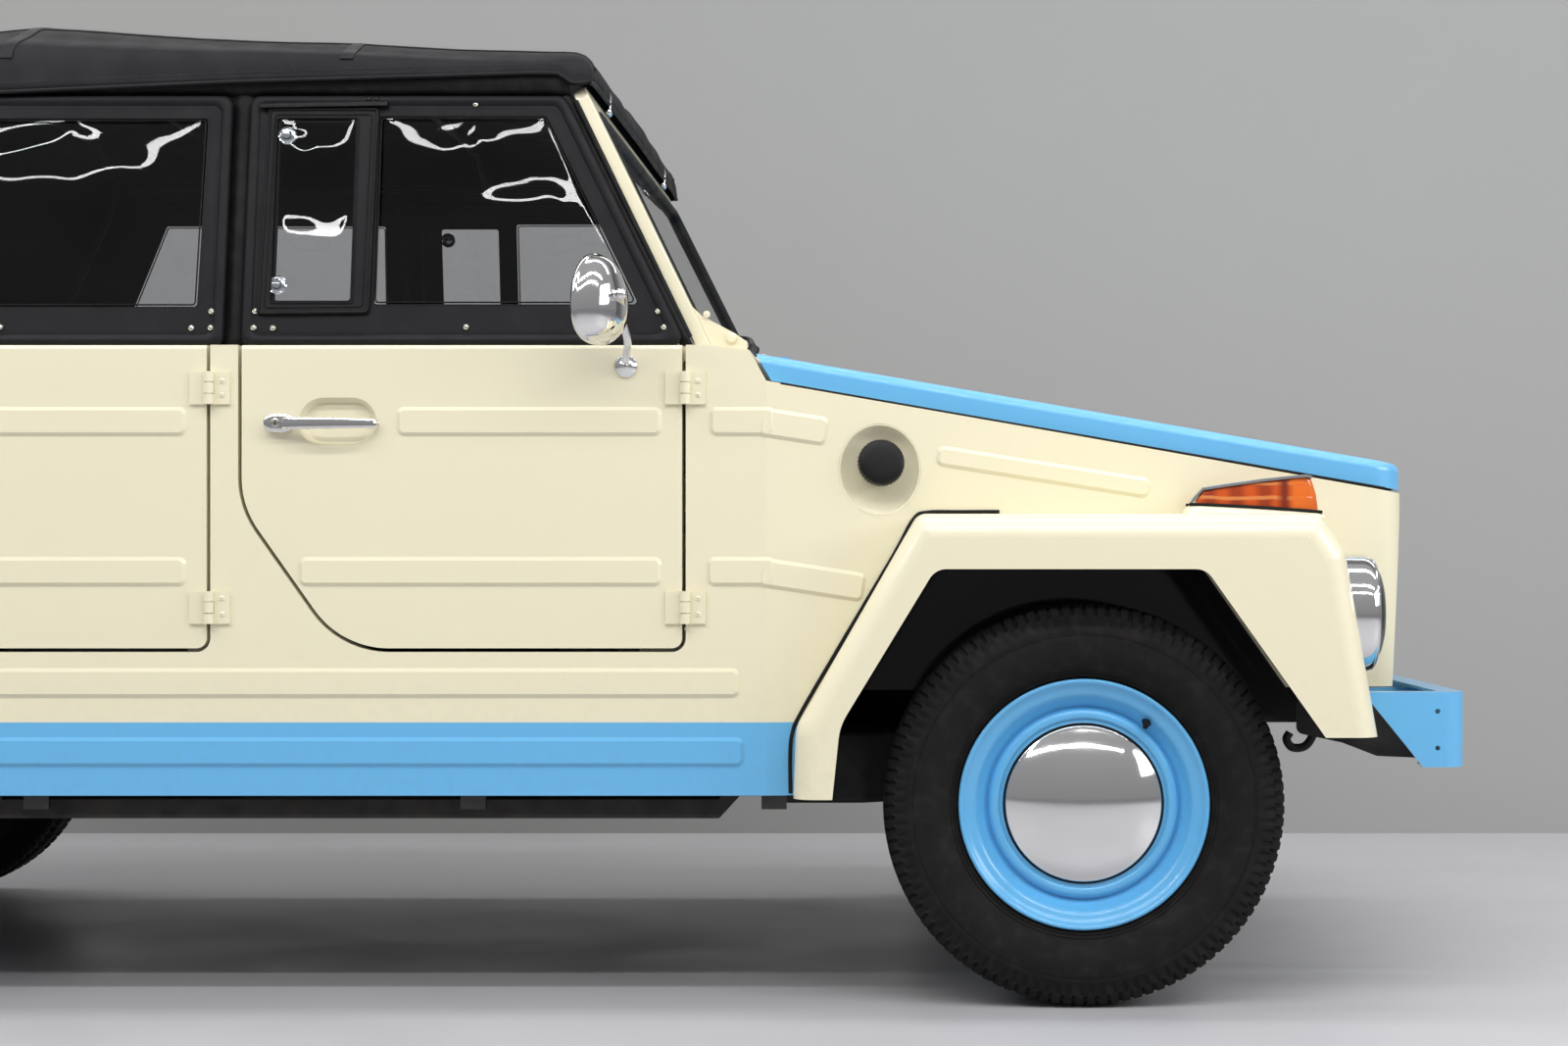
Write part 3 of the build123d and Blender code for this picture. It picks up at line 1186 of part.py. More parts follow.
def build():
    """Every sub-part by name."""
    front_door = door(DOOR_FRONT_X)
    rear_door = door(REAR_DOOR_FRONT_X)
    parts = {
        "floor_pan": floor_pan(),
        "side_panel_right": side_panel(True),
        "side_panel_left": on_left(side_panel(False)),
        "front_body": front_body(),
        "rear_body": rear_body() + lid_hinges(),
        "cowl_panel": cowl_panel(),
        "dashboard": dashboard(),
        "windshield_frame": windshield_frame(),
        "windshield_glass": windshield_glass(),
        "front_fenders": pair(front_fender()),
        "rear_fenders": pair(rear_fender()),
        "headlights": pair(headlight()),
        "turn_signals": pair(turn_signal()),
        "tail_lights": pair(tail_light()),
        "front_bumper": bumper(FRONT_END_X, 1, BEAM_X + BEAM_R + 12, TUB_FLOOR_Z - 20),
        "rear_bumper": bumper(REAR_END_X, -1, TAIL_X + PLATE + 60, TAIL_BOTTOM_Z),
        "soft_top": soft_top(),
        "rear_window": rear_window(),
        "top_bows": top_bows(),
        "front_seats": front_seats(),
        "rear_seat": rear_seat(),
        "steering_column": steering_column(),
        "steering_wheel": steering_wheel(),
        "front_axle": front_axle(),
        "rear_axle": rear_axle(),
        "engine": engine(),
        "muffler": muffler(),
        "hood": hood(),
        "engine_lid": engine_lid(),
        "knuckle_right": knuckle(),
        "knuckle_left": on_left(knuckle()),
        "mirror_right": mirror_head(),
        "mirror_left": on_left(mirror_head()),
    }
    for end, front_x, panel in (("front", DOOR_FRONT_X, front_door), ("rear", REAR_DOOR_FRONT_X, rear_door)):
        for side, place in (("right", lambda part: part), ("left", on_left)):
            parts[f"{end}_door_{side}"] = place(panel)
            parts[f"{end}_door_handle_{side}"] = place(door_handle(front_x))
            parts[f"{end}_curtain_{side}"] = place(side_curtain(front_x))
            parts[f"{end}_curtain_window_{side}"] = place(curtain_window(front_x))
    for end, x, track in (("front", FRONT_AXLE_X, TRACK_FRONT), ("rear", REAR_AXLE_X, TRACK_REAR)):
        for side, sign in (("right", -1), ("left", 1)):
            parts[f"{end}_tyre_{side}"] = tyre(x, track / 2, sign)
            parts[f"{end}_wheel_{side}"] = wheel(x, track / 2, sign)
    return parts


os.makedirs("parts", exist_ok=True)
for name, part in build().items():
    export_step(part, f"parts/{name}.step")
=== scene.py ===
"""Looks of the open-top utility car: materials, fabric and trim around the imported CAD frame.

Metres. X runs forward, Y to the car's left and Z up, as in the frame."""

import math

import bmesh
import bpy
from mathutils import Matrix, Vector, noise


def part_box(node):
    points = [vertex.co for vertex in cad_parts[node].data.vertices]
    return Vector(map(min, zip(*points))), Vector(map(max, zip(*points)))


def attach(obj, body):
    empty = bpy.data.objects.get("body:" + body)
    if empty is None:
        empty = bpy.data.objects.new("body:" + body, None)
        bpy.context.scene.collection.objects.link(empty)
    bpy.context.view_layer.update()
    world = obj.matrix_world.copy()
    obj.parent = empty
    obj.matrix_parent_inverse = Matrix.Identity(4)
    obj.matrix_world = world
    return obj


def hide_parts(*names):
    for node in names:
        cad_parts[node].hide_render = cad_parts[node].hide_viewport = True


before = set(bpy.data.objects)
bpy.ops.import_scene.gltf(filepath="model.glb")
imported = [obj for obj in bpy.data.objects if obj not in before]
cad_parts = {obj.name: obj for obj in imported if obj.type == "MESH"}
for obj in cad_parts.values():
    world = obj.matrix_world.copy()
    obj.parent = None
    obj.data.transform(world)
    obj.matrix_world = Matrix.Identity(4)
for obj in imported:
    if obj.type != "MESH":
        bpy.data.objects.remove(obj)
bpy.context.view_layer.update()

RIGHT = -1
LEFT = 1
SIDES = {"right": RIGHT, "left": LEFT}


# ---- Materials ----
def srgb(red, green, blue):
    """A screen colour from 0 to 255 as the linear colour that Blender wants."""

    def channel(value):
        value = value / 255
        return value / 12.92 if value <= 0.04045 else ((value + 0.055) / 1.055) ** 2.4

    return channel(red), channel(green), channel(blue), 1.0


def shaded(colour, factor):
    """The same colour, lighter or darker."""
    return colour[0] * factor, colour[1] * factor, colour[2] * factor, 1.0


class Finish:
    """One procedural material around a Principled shader."""

    def __init__(self, name, **settings):
        self.material = bpy.data.materials.new(name)
        self.material.use_nodes = True
        self.tree = self.material.node_tree
        self.shader = self.tree.nodes["Principled BSDF"]
        self.place = self.add("ShaderNodeTexCoord").outputs["Object"]
        self.height = None
        for socket, value in settings.items():
            self.shader.inputs[socket.replace("_", " ")].default_value = value

    def add(self, kind, **values):
        node = self.tree.nodes.new(kind)
        for key, value in values.items():
            setattr(node, key, value)
        return node

    def link(self, start, end):
        self.tree.links.new(start, end)

    def output(self):
        return [n for n in self.tree.nodes if n.type == "OUTPUT_MATERIAL"][0]

    def stretched(self, scale):
        """Object coordinates, stretched along each axis."""
        node = self.add("ShaderNodeMapping")
        node.inputs["Scale"].default_value = scale
        self.link(self.place, node.inputs["Vector"])
        return node.outputs["Vector"]

    def noise(self, scale, detail=3.0, vector=None):
        node = self.add("ShaderNodeTexNoise")
        node.inputs["Scale"].default_value = scale
        node.inputs["Detail"].default_value = detail
        self.link(vector or self.place, node.inputs["Vector"])
        return node.outputs["Fac"]

    def cells(self, scale):
        node = self.add("ShaderNodeTexVoronoi", feature="DISTANCE_TO_EDGE")
        node.inputs["Scale"].default_value = scale
        self.link(self.place, node.inputs["Vector"])
        return node.outputs["Distance"]

    def wave(self, scale, direction="X", distortion=0.0):
        node = self.add("ShaderNodeTexWave", bands_direction=direction)
        node.inputs["Scale"].default_value = scale
        node.inputs["Distortion"].default_value = distortion
        self.link(self.place, node.inputs["Vector"])
        return node.outputs["Fac"]

    def between(self, value, low, high, start=0.0, end=1.0):
        """value, from low..high, mapped to start..end."""
        node = self.add("ShaderNodeMapRange")
        for name, number in (("From Min", low), ("From Max", high), ("To Min", start), ("To Max", end)):
            node.inputs[name].default_value = number
        self.link(value, node.inputs["Value"])
        return node.outputs["Result"]

    def maths(self, operation, first, second):
        node = self.add("ShaderNodeMath", operation=operation)
        for socket, value in zip(node.inputs, (first, second)):
            if isinstance(value, (int, float)):
                socket.default_value = value
            else:
                self.link(value, socket)
        return node.outputs[0]

    def mix(self, factor, first, second):
        node = self.add("ShaderNodeMix", data_type="RGBA")
        for name, value in (("Factor", factor), ("A", first), ("B", second)):
            socket = [s for s in node.inputs if s.name == name and s.enabled][-1]
            if isinstance(value, (tuple, float, int)):
                socket.default_value = value
            else:
                self.link(value, socket)
        return [s for s in node.outputs if s.enabled][0]

    def axis(self, name):
        """One object coordinate."""
        node = self.add("ShaderNodeSeparateXYZ")
        self.link(self.place, node.inputs[0])
        return node.outputs[name]

    def colour(self, socket):
        self.link(socket, self.shader.inputs["Base Color"])

    def roughness(self, low, high, scale):
        source = self.noise(scale, 4.0)
        self.link(self.between(source, 0.3, 0.7, low, high), self.shader.inputs["Roughness"])

    def bump(self, height, strength, distance):
        """One layer of relief over those before it."""
        node = self.add("ShaderNodeBump")
        node.inputs["Strength"].default_value = strength
        node.inputs["Distance"].default_value = distance
        self.link(height, node.inputs["Height"])
        if self.height is not None:
            self.link(self.height, node.inputs["Normal"])
        self.height = node.outputs["Normal"]
        self.link(self.height, self.shader.inputs["Normal"])

    def coat_bump(self):
        self.link(self.height, self.shader.inputs["Coat Normal"])


CREAM = srgb(236, 229, 200)
BLUE = srgb(104, 181, 230)
# Underseal black; in the arches, wheelhouses, engine bay and behind the fenders it is also painted shade.
UNDERSEAL_AND_SHADE_BLACK = srgb(16, 16, 16)
SPLIT_Z = 0.453
SILL_EDGE_Z = 0.3365
GRIME_TOP = 0.62
AXLE_X = {"front": 1.284, "rear": -1.116}
AXLE_Z = 0.3225
AXLES_SUM_X = 0.168
ARCH_REACH = 0.44
FENDER_TOP_Z = 0.735
FENDER_FRONT_X = 1.3
SILL_FRONT_X = 0.92
BUMPER_BAR_X = 1.7335


def paint(name, colour, lower=None, inner=None):
    """Gloss enamel with orange peel, slight tone changes and road film low down.

    lower(finish, body) may change the colour low down, and inner(finish) tells where the
    inside is, from 0 to 1; it is underseal black, which is also painted shade there."""
    finish = Finish(name, Coat_Weight=0.55, Coat_Roughness=0.04, IOR=1.45)
    body = finish.mix(finish.noise(2.2, 4.0), shaded(colour, 0.985), shaded(colour, 1.008))
    height = finish.axis("Z")
    if lower is not None:
        body = lower(finish, body)
    low = finish.between(height, GRIME_TOP, 0.25, 0.0, 0.5)
    speckle = finish.between(finish.noise(60.0, 6.0), 0.45, 0.75)
    grime = finish.maths("MULTIPLY", low, speckle)
    body = finish.mix(finish.maths("MULTIPLY", grime, 0.2), body, srgb(120, 110, 92))
    rough = finish.between(finish.noise(14.0, 4.0), 0.3, 0.7, 0.29, 0.35)
    if inner is not None:
        inside = inner(finish)
        # Inside faces: underseal black, which also serves as painted shade.
        body = finish.mix(inside, body, UNDERSEAL_AND_SHADE_BLACK)
        rough = finish.maths("MAXIMUM", rough, finish.maths("MULTIPLY", inside, 0.8))
    finish.colour(body)
    finish.link(rough, finish.shader.inputs["Roughness"])
    finish.bump(finish.noise(420.0, 2.0), 0.04, 0.0006)
    finish.bump(finish.noise(9.0, 2.0), 0.03, 0.004)
    finish.coat_bump()
    return finish.material


def over(finish, value, limit, width=0.0006):
    """1 where value is above limit, 0 below it."""
    return finish.between(value, limit - width, limit + width)


def under(finish, value, limit, width=0.0006):
    """1 where value is below limit, 0 above it."""
    return finish.between(value, limit - width, limit + width, 1.0, 0.0)


def facing(finish):
    """The surface's own direction, as X, Y and Z."""
    geometry = finish.add("ShaderNodeNewGeometry")
    split = finish.add("ShaderNodeSeparateXYZ")
    finish.link(geometry.outputs["True Normal"], split.inputs[0])
    return split.outputs["X"], split.outputs["Y"], split.outputs["Z"]


def faces_axle(finish, axle_x):
    """1 on faces that look towards an axle, as the inside of a wheel arch does."""
    way_x, _, way_z = facing(finish)
    from_x = finish.maths("SUBTRACT", finish.axis("X"), axle_x)
    from_z = finish.maths("SUBTRACT", finish.axis("Z"), AXLE_Z)
    along = finish.maths("MULTIPLY", way_x, from_x)
    rise = finish.maths("MULTIPLY", way_z, from_z)
    return under(finish, finish.maths("ADD", along, rise), -0.14, 0.01)


def faces_inward(finish):
    """1 on faces that look towards the car's middle."""
    _, way_y, _ = facing(finish)
    return under(finish, finish.maths("MULTIPLY", way_y, finish.axis("Y")), -0.1, 0.01)


def fender_inside(axle_x):
    def inside(finish):
        return finish.maths("MAXIMUM", faces_axle(finish, axle_x), faces_inward(finish))

    return inside


def within(finish, value, low, high):
    return finish.maths("MULTIPLY", over(finish, value, low), under(finish, value, high))


def under_fender(finish, along):
    """1 on the body side where a fender covers it; along is X, or X mirrored for the rear."""
    rise = finish.maths("MULTIPLY", finish.maths("SUBTRACT", finish.axis("Z"), 0.468), 0.579)
    edge = finish.maths("ADD", finish.maths("MAXIMUM", rise, -0.0135), 0.841)
    covered = over(finish, finish.maths("SUBTRACT", along, edge), 0.0)
    return finish.maths("MULTIPLY", covered, under(finish, along, FENDER_FRONT_X))


def panel_inside(finish):
    """The body side's arch edges and its inner faces over the wheels."""
    height = under(finish, finish.axis("Z"), FENDER_TOP_Z)
    flat_on = under(finish, finish.maths("ABSOLUTE", facing(finish)[1], 0.0), 0.35, 0.02)
    mask = None
    for axle_x in AXLE_X.values():
        near = within(finish, finish.axis("X"), axle_x - ARCH_REACH, axle_x + ARCH_REACH)
        arch_edge = finish.maths("MULTIPLY", faces_axle(finish, axle_x), flat_on)
        turned = finish.maths("MAXIMUM", arch_edge, faces_inward(finish))
        here = finish.maths("MULTIPLY", near, turned)
        mask = here if mask is None else finish.maths("MAXIMUM", mask, here)
    nose = finish.maths("MULTIPLY", over(finish, finish.axis("X"), FENDER_FRONT_X), faces_inward(finish))
    mask = finish.maths("MAXIMUM", mask, nose)
    mirrored = finish.maths("SUBTRACT", AXLES_SUM_X, finish.axis("X"))
    for along in (finish.axis("X"), mirrored):
        mask = finish.maths("MAXIMUM", mask, under_fender(finish, along))
    return finish.maths("MULTIPLY", mask, height)


def nose_inside(finish):
    """The wheelhouse side of the nose and luggage tub."""
    width = finish.maths("ABSOLUTE", finish.axis("Y"), 0.0)
    outboard = over(finish, width, 0.417)
    behind = under(finish, finish.axis("X"), 1.752)
    low = under(finish, finish.axis("Z"), 0.7375)
    underside = finish.maths("MULTIPLY", under(finish, facing(finish)[2], -0.9, 0.02), behind)
    wheelhouse = finish.maths("MULTIPLY", finish.maths("MULTIPLY", outboard, behind), low)
    return finish.maths("MAXIMUM", wheelhouse, underside)


def tail_inside(finish):
    """The rear wheelhouses and the engine bay."""
    low = under(finish, finish.axis("Z"), 0.721)
    width = finish.maths("ABSOLUTE", finish.axis("Y"), 0.0)
    outboard = finish.maths("MULTIPLY", over(finish, width, 0.5795), low)
    way_x, _, way_z = facing(finish)
    outboard = finish.maths("MULTIPLY", outboard, over(finish, way_x, -0.5, 0.02))
    under_face = under(finish, way_z, -0.3, 0.02)
    bay = within(finish, finish.axis("X"), -1.79, -1.331)
    forward = finish.maths("MULTIPLY", bay, over(finish, way_x, 0.3, 0.02))
    dark = finish.maths("MAXIMUM", outboard, under_face)
    return finish.maths("MAXIMUM", dark, forward)


def bumper_arms(finish):
    """The arms that carry a bumper, behind the bar itself."""
    return under(finish, finish.maths("ABSOLUTE", finish.axis("X"), 0.0), BUMPER_BAR_X)


def blue_sill(finish, body):
    """Blue along the sill between the wheel arches; black under it and in front of it, as underseal and
    painted shade.
    """
    between_arches = under(finish, finish.axis("X"), SILL_FRONT_X)
    low = finish.mix(between_arches, UNDERSEAL_AND_SHADE_BLACK, BLUE)
    low = finish.mix(under(finish, finish.axis("Z"), SILL_EDGE_Z), low, UNDERSEAL_AND_SHADE_BLACK)
    return finish.mix(over(finish, finish.axis("Z"), SPLIT_Z), low, body)


def vinyl(name, colour, grain, rough=(0.42, 0.6), relief=0.25, sheen=0.1):
    """Coated fabric with a pebbled grain, a fine weave under it and rubbed patches."""
    finish = Finish(name, Sheen_Weight=sheen, Sheen_Roughness=0.5, Specular_IOR_Level=0.18)
    tone = finish.noise(5.0, 5.0)
    worn = finish.between(finish.noise(26.0, 6.0), 0.5, 0.72)
    base = finish.mix(tone, shaded(colour, 0.82), shaded(colour, 1.22))
    finish.colour(finish.mix(finish.maths("MULTIPLY", worn, 0.35), base, shaded(colour, 1.7)))
    finish.roughness(rough[0], rough[1], 18.0)
    finish.bump(finish.noise(6.0, 3.0), 0.25, 0.006)
    finish.bump(finish.cells(grain), relief, 0.0006)
    finish.bump(finish.noise(grain * 2.4, 2.0), 0.12, 0.0004)
    return finish.material


def rubber(name, colour, rough=(0.6, 0.82)):
    """Dull rubber with dust in its pores."""
    finish = Finish(name, Specular_IOR_Level=0.16)
    dust = finish.between(finish.noise(38.0, 7.0), 0.5, 0.78)
    base = finish.mix(finish.noise(7.0, 4.0), shaded(colour, 0.92), shaded(colour, 1.08))
    finish.colour(finish.mix(finish.maths("MULTIPLY", dust, 0.12), base, srgb(88, 84, 78)))
    finish.roughness(rough[0], rough[1], 22.0)
    finish.bump(finish.noise(260.0, 4.0), 0.18, 0.0008)
    return finish.material


def metal(name, colour, rough, metallic=1.0, scratch=0.02, dirt=0.0):
    """Bright or bare metal with fine scratches, and dirt where it is asked for."""
    finish = Finish(name, Metallic=metallic)
    drawn = finish.stretched((40.0, 900.0, 900.0))
    base = finish.mix(finish.noise(11.0, 4.0), shaded(colour, 0.93), shaded(colour, 1.03))
    if dirt:
        patch = finish.between(finish.noise(16.0, 7.0), 0.42, 0.7)
        base = finish.mix(finish.maths("MULTIPLY", patch, dirt), base, srgb(58, 50, 42))
    finish.colour(base)
    finish.roughness(rough[0], rough[1], 30.0)
    finish.bump(finish.noise(1.0, 2.0, drawn), scratch, 0.0002)
    if dirt:
        finish.bump(finish.noise(120.0, 5.0), 0.3 * dirt, 0.001)
    return finish.material


def lens(name, colour, pitch):
    """Coloured lens plastic with moulded optic ribs inside."""
    finish = Finish(name, Transmission_Weight=0.35, IOR=1.49, Coat_Weight=0.7, Coat_Roughness=0.03)
    ribs = finish.wave(pitch, "X")
    cross = finish.wave(pitch * 1.4, "Z")
    pattern = finish.maths("MULTIPLY", ribs, cross)
    finish.colour(finish.mix(pattern, shaded(colour, 0.72), shaded(colour, 1.35)))
    finish.roughness(0.08, 0.16, 40.0)
    finish.bump(pattern, 0.5, 0.0012)
    return finish.material


def signal_lens(name):
    """Amber lens with a folded reflector behind it: dark, with painted highlight streaks, a band of painted
    shade and a painted highlight at its front end.
    """
    finish = Finish(name, Transmission_Weight=0.25, IOR=1.49, Coat_Weight=0.7, Coat_Roughness=0.03)
    along = finish.axis("X")
    streak_ridge_and_highlight = finish.between(finish.wave(13.0, "Z", 2.2), 0.8, 0.96)
    fold = finish.between(finish.wave(7.0, "X", 2.6), 0.1, 0.9)
    deep = finish.mix(fold, srgb(170, 62, 18), srgb(222, 92, 24))
    # Painted highlight along each streak.
    deep = finish.mix(finish.maths("MULTIPLY", streak_ridge_and_highlight, 0.75), deep, srgb(250, 158, 84))
    # A band of painted shade, then a painted highlight over the front end.
    shade = finish.maths("MULTIPLY", over(finish, along, 1.598, 0.006), under(finish, along, 1.612, 0.004))
    deep = finish.mix(shade, deep, srgb(138, 46, 16))
    finish.colour(finish.mix(over(finish, along, 1.616, 0.005), deep, srgb(246, 122, 36)))
    finish.roughness(0.08, 0.16, 40.0)
    finish.bump(streak_ridge_and_highlight, 0.4, 0.001)
    return finish.material


def see_through(name, tint, clear, ripple, gloss=0.03, reflect=0.1, glint=1.0):
    """A thin clear sheet: mostly transparent, mirror-like at a grazing angle."""
    finish = Finish(name)
    finish.tree.nodes.remove(finish.shader)
    out = finish.output()
    through = finish.add("ShaderNodeBsdfTransparent")
    finish.link(
        finish.mix(finish.noise(7.0, 3.0), shaded(tint, clear * 0.97), shaded(tint, clear)),
        through.inputs["Color"],
    )
    shine = finish.add("ShaderNodeBsdfGlossy")
    shine.inputs["Roughness"].default_value = gloss
    bump = finish.add("ShaderNodeBump")
    bump.inputs["Strength"].default_value = ripple
    bump.inputs["Distance"].default_value = 0.004
    finish.link(finish.noise(16.0, 2.0), bump.inputs["Height"])
    finish.link(bump.outputs["Normal"], shine.inputs["Normal"])
    edge = finish.add("ShaderNodeFresnel")
    edge.inputs["IOR"].default_value = 1.45
    smear = finish.between(finish.noise(3.5, 5.0), 0.35, 0.7, reflect * 0.6, reflect)
    blend = finish.add("ShaderNodeMixShader")
    finish.link(finish.maths("ADD", finish.maths("MULTIPLY", edge.outputs[0], glint), smear), blend.inputs[0])
    finish.link(through.outputs[0], blend.inputs[1])
    finish.link(shine.outputs[0], blend.inputs[2])
    finish.link(blend.outputs[0], out.inputs["Surface"])
    return finish.material


cream_paint = paint("cream_enamel", CREAM)
two_tone = paint("cream_over_blue_enamel", CREAM, lower=blue_sill, inner=panel_inside)
nose_paint = paint("nose_enamel", CREAM, inner=nose_inside)
tail_paint = paint("tail_enamel", CREAM, inner=tail_inside)
fender_paint = {
    end: paint(f"{end}_fender_enamel", CREAM, inner=fender_inside(x)) for end, x in AXLE_X.items()
}
blue_paint = paint("blue_enamel", BLUE)
bumper_paint = paint("bumper_enamel", BLUE, inner=bumper_arms)
plate_paint = paint("plate_enamel", srgb(226, 226, 220))
wheel_paint = paint("blue_wheel_enamel", srgb(96, 178, 230))
top_vinyl = vinyl("soft_top_vinyl", srgb(24, 23, 26), 520.0, rough=(0.55, 0.7), sheen=0.0)
curtain_vinyl = vinyl("curtain_vinyl", srgb(25, 24, 27), 380.0, rough=(0.45, 0.6), relief=0.3, sheen=0.0)
seat_vinyl = vinyl("seat_vinyl", srgb(42, 40, 40), 300.0, rough=(0.38, 0.52), relief=0.4)
tread_rubber = rubber("tyre_rubber", srgb(26, 25, 25), rough=(0.66, 0.85))
seal_rubber = rubber("seal_rubber", srgb(22, 22, 23), rough=(0.42, 0.6))
mat_rubber = rubber("floor_mat_rubber", srgb(40, 39, 38))
chrome = metal("chrome", srgb(226, 226, 226), (0.04, 0.09))
bright_steel = metal("bright_screws", srgb(205, 200, 190), (0.18, 0.3), scratch=0.1)
black_steel = metal("black_enamelled_steel", srgb(26, 26, 27), (0.35, 0.5), metallic=0.2)
under_black = metal("underbody_black", srgb(24, 23, 22), (0.6, 0.85), metallic=0.0, scratch=0.2, dirt=0.35)
dark_steel = metal("dark_steel", srgb(58, 56, 54), (0.4, 0.6), metallic=0.7, scratch=0.2, dirt=0.4)
engine_metal = metal("cast_alloy", srgb(128, 126, 122), (0.4, 0.6), metallic=0.85, scratch=0.2, dirt=0.5)
black_plastic = vinyl("black_plastic", srgb(24, 24, 25), 900.0, rough=(0.3, 0.42), relief=0.15, sheen=0.0)
amber_lens = signal_lens("amber_lens")
red_lens = lens("red_lens", srgb(190, 18, 16), 20.0)
clear_film = see_through(
    "clear_curtain_film", (0.97, 0.98, 1.0), 0.84, 0.03, gloss=0.02, reflect=0.018, glint=0.5,
)
clear_glass = see_through("windscreen_glass", (0.86, 0.95, 0.92), 0.9, 0.02, gloss=0.0, reflect=0.03)
lamp_glass = see_through("lamp_glass", (0.95, 0.97, 1.0), 0.85, 0.6, gloss=0.02, reflect=0.1)
mirror_glass = metal("mirror_glass", srgb(200, 205, 210), (0.01, 0.03), scratch=0.0)

SLOT_FINISH = {
    "cream_paint": cream_paint,
    "blue_paint": blue_paint,
    "blue_wheel_paint": wheel_paint,
    "black_vinyl": top_vinyl,
    "clear_vinyl": clear_film,
    "clear_glass": clear_glass,
    "chrome": chrome,
    "amber_lens": amber_lens,
    "red_lens": red_lens,
    "tyre_rubber": tread_rubber,
    "black_steel": black_steel,
    "underbody_black": under_black,
    "dark_steel": dark_steel,
    "engine_metal": engine_metal,
    "seat_vinyl": seat_vinyl,
    "black_plastic": black_plastic,
}


# ---- Mesh tools ----
def piece(name, verts, faces, material, body, angle=34.0):
    """A new object from points and faces, smooth where its faces meet gently."""
    mesh = bpy.data.meshes.new(name)
    mesh.from_pydata([tuple(v) for v in verts], [], [tuple(f) for f in faces])
    work = bmesh.new()
    work.from_mesh(mesh)
    bmesh.ops.remove_doubles(work, verts=work.verts, dist=1e-6)
    bmesh.ops.recalc_face_normals(work, faces=work.faces)
    work.to_mesh(mesh)
    work.free()
    mesh.polygons.foreach_set("use_smooth", [True] * len(mesh.polygons))
    mesh.set_sharp_from_angle(angle=math.radians(angle))
    thing = bpy.data.objects.new(name, mesh)
    bpy.context.scene.collection.objects.link(thing)
    mesh.materials.append(material)
    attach(thing, body)
    return thing


def soften(thing, width, segments=2, angle=30.0):
    """Rounds a piece's hard edges."""
    bevel = thing.modifiers.new("soft_edges", "BEVEL")
    bevel.width = width
    bevel.segments = segments
    bevel.limit_method = "ANGLE"
    bevel.angle_limit = math.radians(angle)
    bevel.harden_normals = False
    return thing


# The faces of a box whose eight corners are listed with z fastest, then y, then x.
BOX_FACES = [(0, 1, 3, 2), (4, 6, 7, 5), (0, 4, 5, 1), (2, 3, 7, 6), (0, 2, 6, 4), (1, 5, 7, 3)]


class Shape:
    """Points and faces collected for one piece."""

    def __init__(self):
        self.verts = []
        self.faces = []

    def add(self, verts, faces):
        start = len(self.verts)
        self.verts.extend(tuple(v) for v in verts)
        self.faces.extend(tuple(i + start for i in face) for face in faces)
        return self

    def grid(self, rows, closed=False):
        """Quads between rows of points; closed joins each row's end to its start."""
        width = len(rows[0])
        flat = [point for row in rows for point in row]
        faces = []
        for i in range(len(rows) - 1):
            for j in range(width if closed else width - 1):
                k = (j + 1) % width
                faces.append((i * width + j, i * width + k, (i + 1) * width + k, (i + 1) * width + j))
        return self.add(flat, faces)

    def block(self, rows):
        """A closed grid with a face across each end."""
        start = len(self.verts)
        width = len(rows[0])
        self.grid(rows, closed=True)
        self.faces.append(tuple(range(start + width - 1, start - 1, -1)))
        self.faces.append(tuple(range(len(self.verts) - width, len(self.verts))))
        return self

    def tube(self, points, radius, sides=8, closed=False):
        """A round bar along points."""
        line = [Vector(p) for p in points]
        count = len(line)
        rows = []
        normal = None
        for i, point in enumerate(line):
            before = line[i - 1] if (i > 0 or closed) else point
            after = line[(i + 1) % count] if (i < count - 1 or closed) else point
            way = (after - before).normalized()
            if normal is None:
                normal = way.orthogonal().normalized()
            normal = (normal - way * normal.dot(way)).normalized()
            side = way.cross(normal)
            size = radius[i] if isinstance(radius, (list, tuple)) else radius
            rows.append([
                point + (normal * math.cos(a) + side * math.sin(a)) * size
                for a in (math.tau * j / sides for j in range(sides))
            ])
        if closed:
            return self.grid([*rows, rows[0]], closed=True)
        return self.block(rows)

    def lathe(self, profile, origin, axis, sides=48, start=None):
        """A turned form: profile is (radius, along) and axis the way that along grows."""
        origin = Vector(origin)
        way = Vector(axis).normalized()
        across = (Vector(start) if start else way.orthogonal()).normalized()
        other = way.cross(across)
        rows = []
        for radius, along in profile:
            rows.append([
                origin + way * along + (across * math.cos(a) + other * math.sin(a)) * max(radius, 1e-5)
                for a in (math.tau * j / sides for j in range(sides))
            ])
        return self.grid(rows, closed=True)

    def slab(self, outline, place, depth_way, depth):
        """A flat outline of (a, b) points, put in space by place(a, b) and made solid."""
        front = [Vector(place(a, b)) for a, b in outline]
        back = [p + Vector(depth_way) * depth for p in front]
        n = len(front)
        faces = [tuple(range(n)), tuple(range(2 * n - 1, n - 1, -1))]
        faces += [(i, (i + 1) % n, n + (i + 1) % n, n + i) for i in range(n)]
        return self.add(front + back, faces)

    def box(self, low, high):
        x0, y0, z0 = low
        x1, y1, z1 = high
        verts = [(x, y, z) for x in (x0, x1) for y in (y0, y1) for z in (z0, z1)]
        return self.add(verts, BOX_FACES)

    def make(self, name, material, body, slot=None, angle=34.0):
        return piece(name, self.verts, self.faces, material, body, angle)


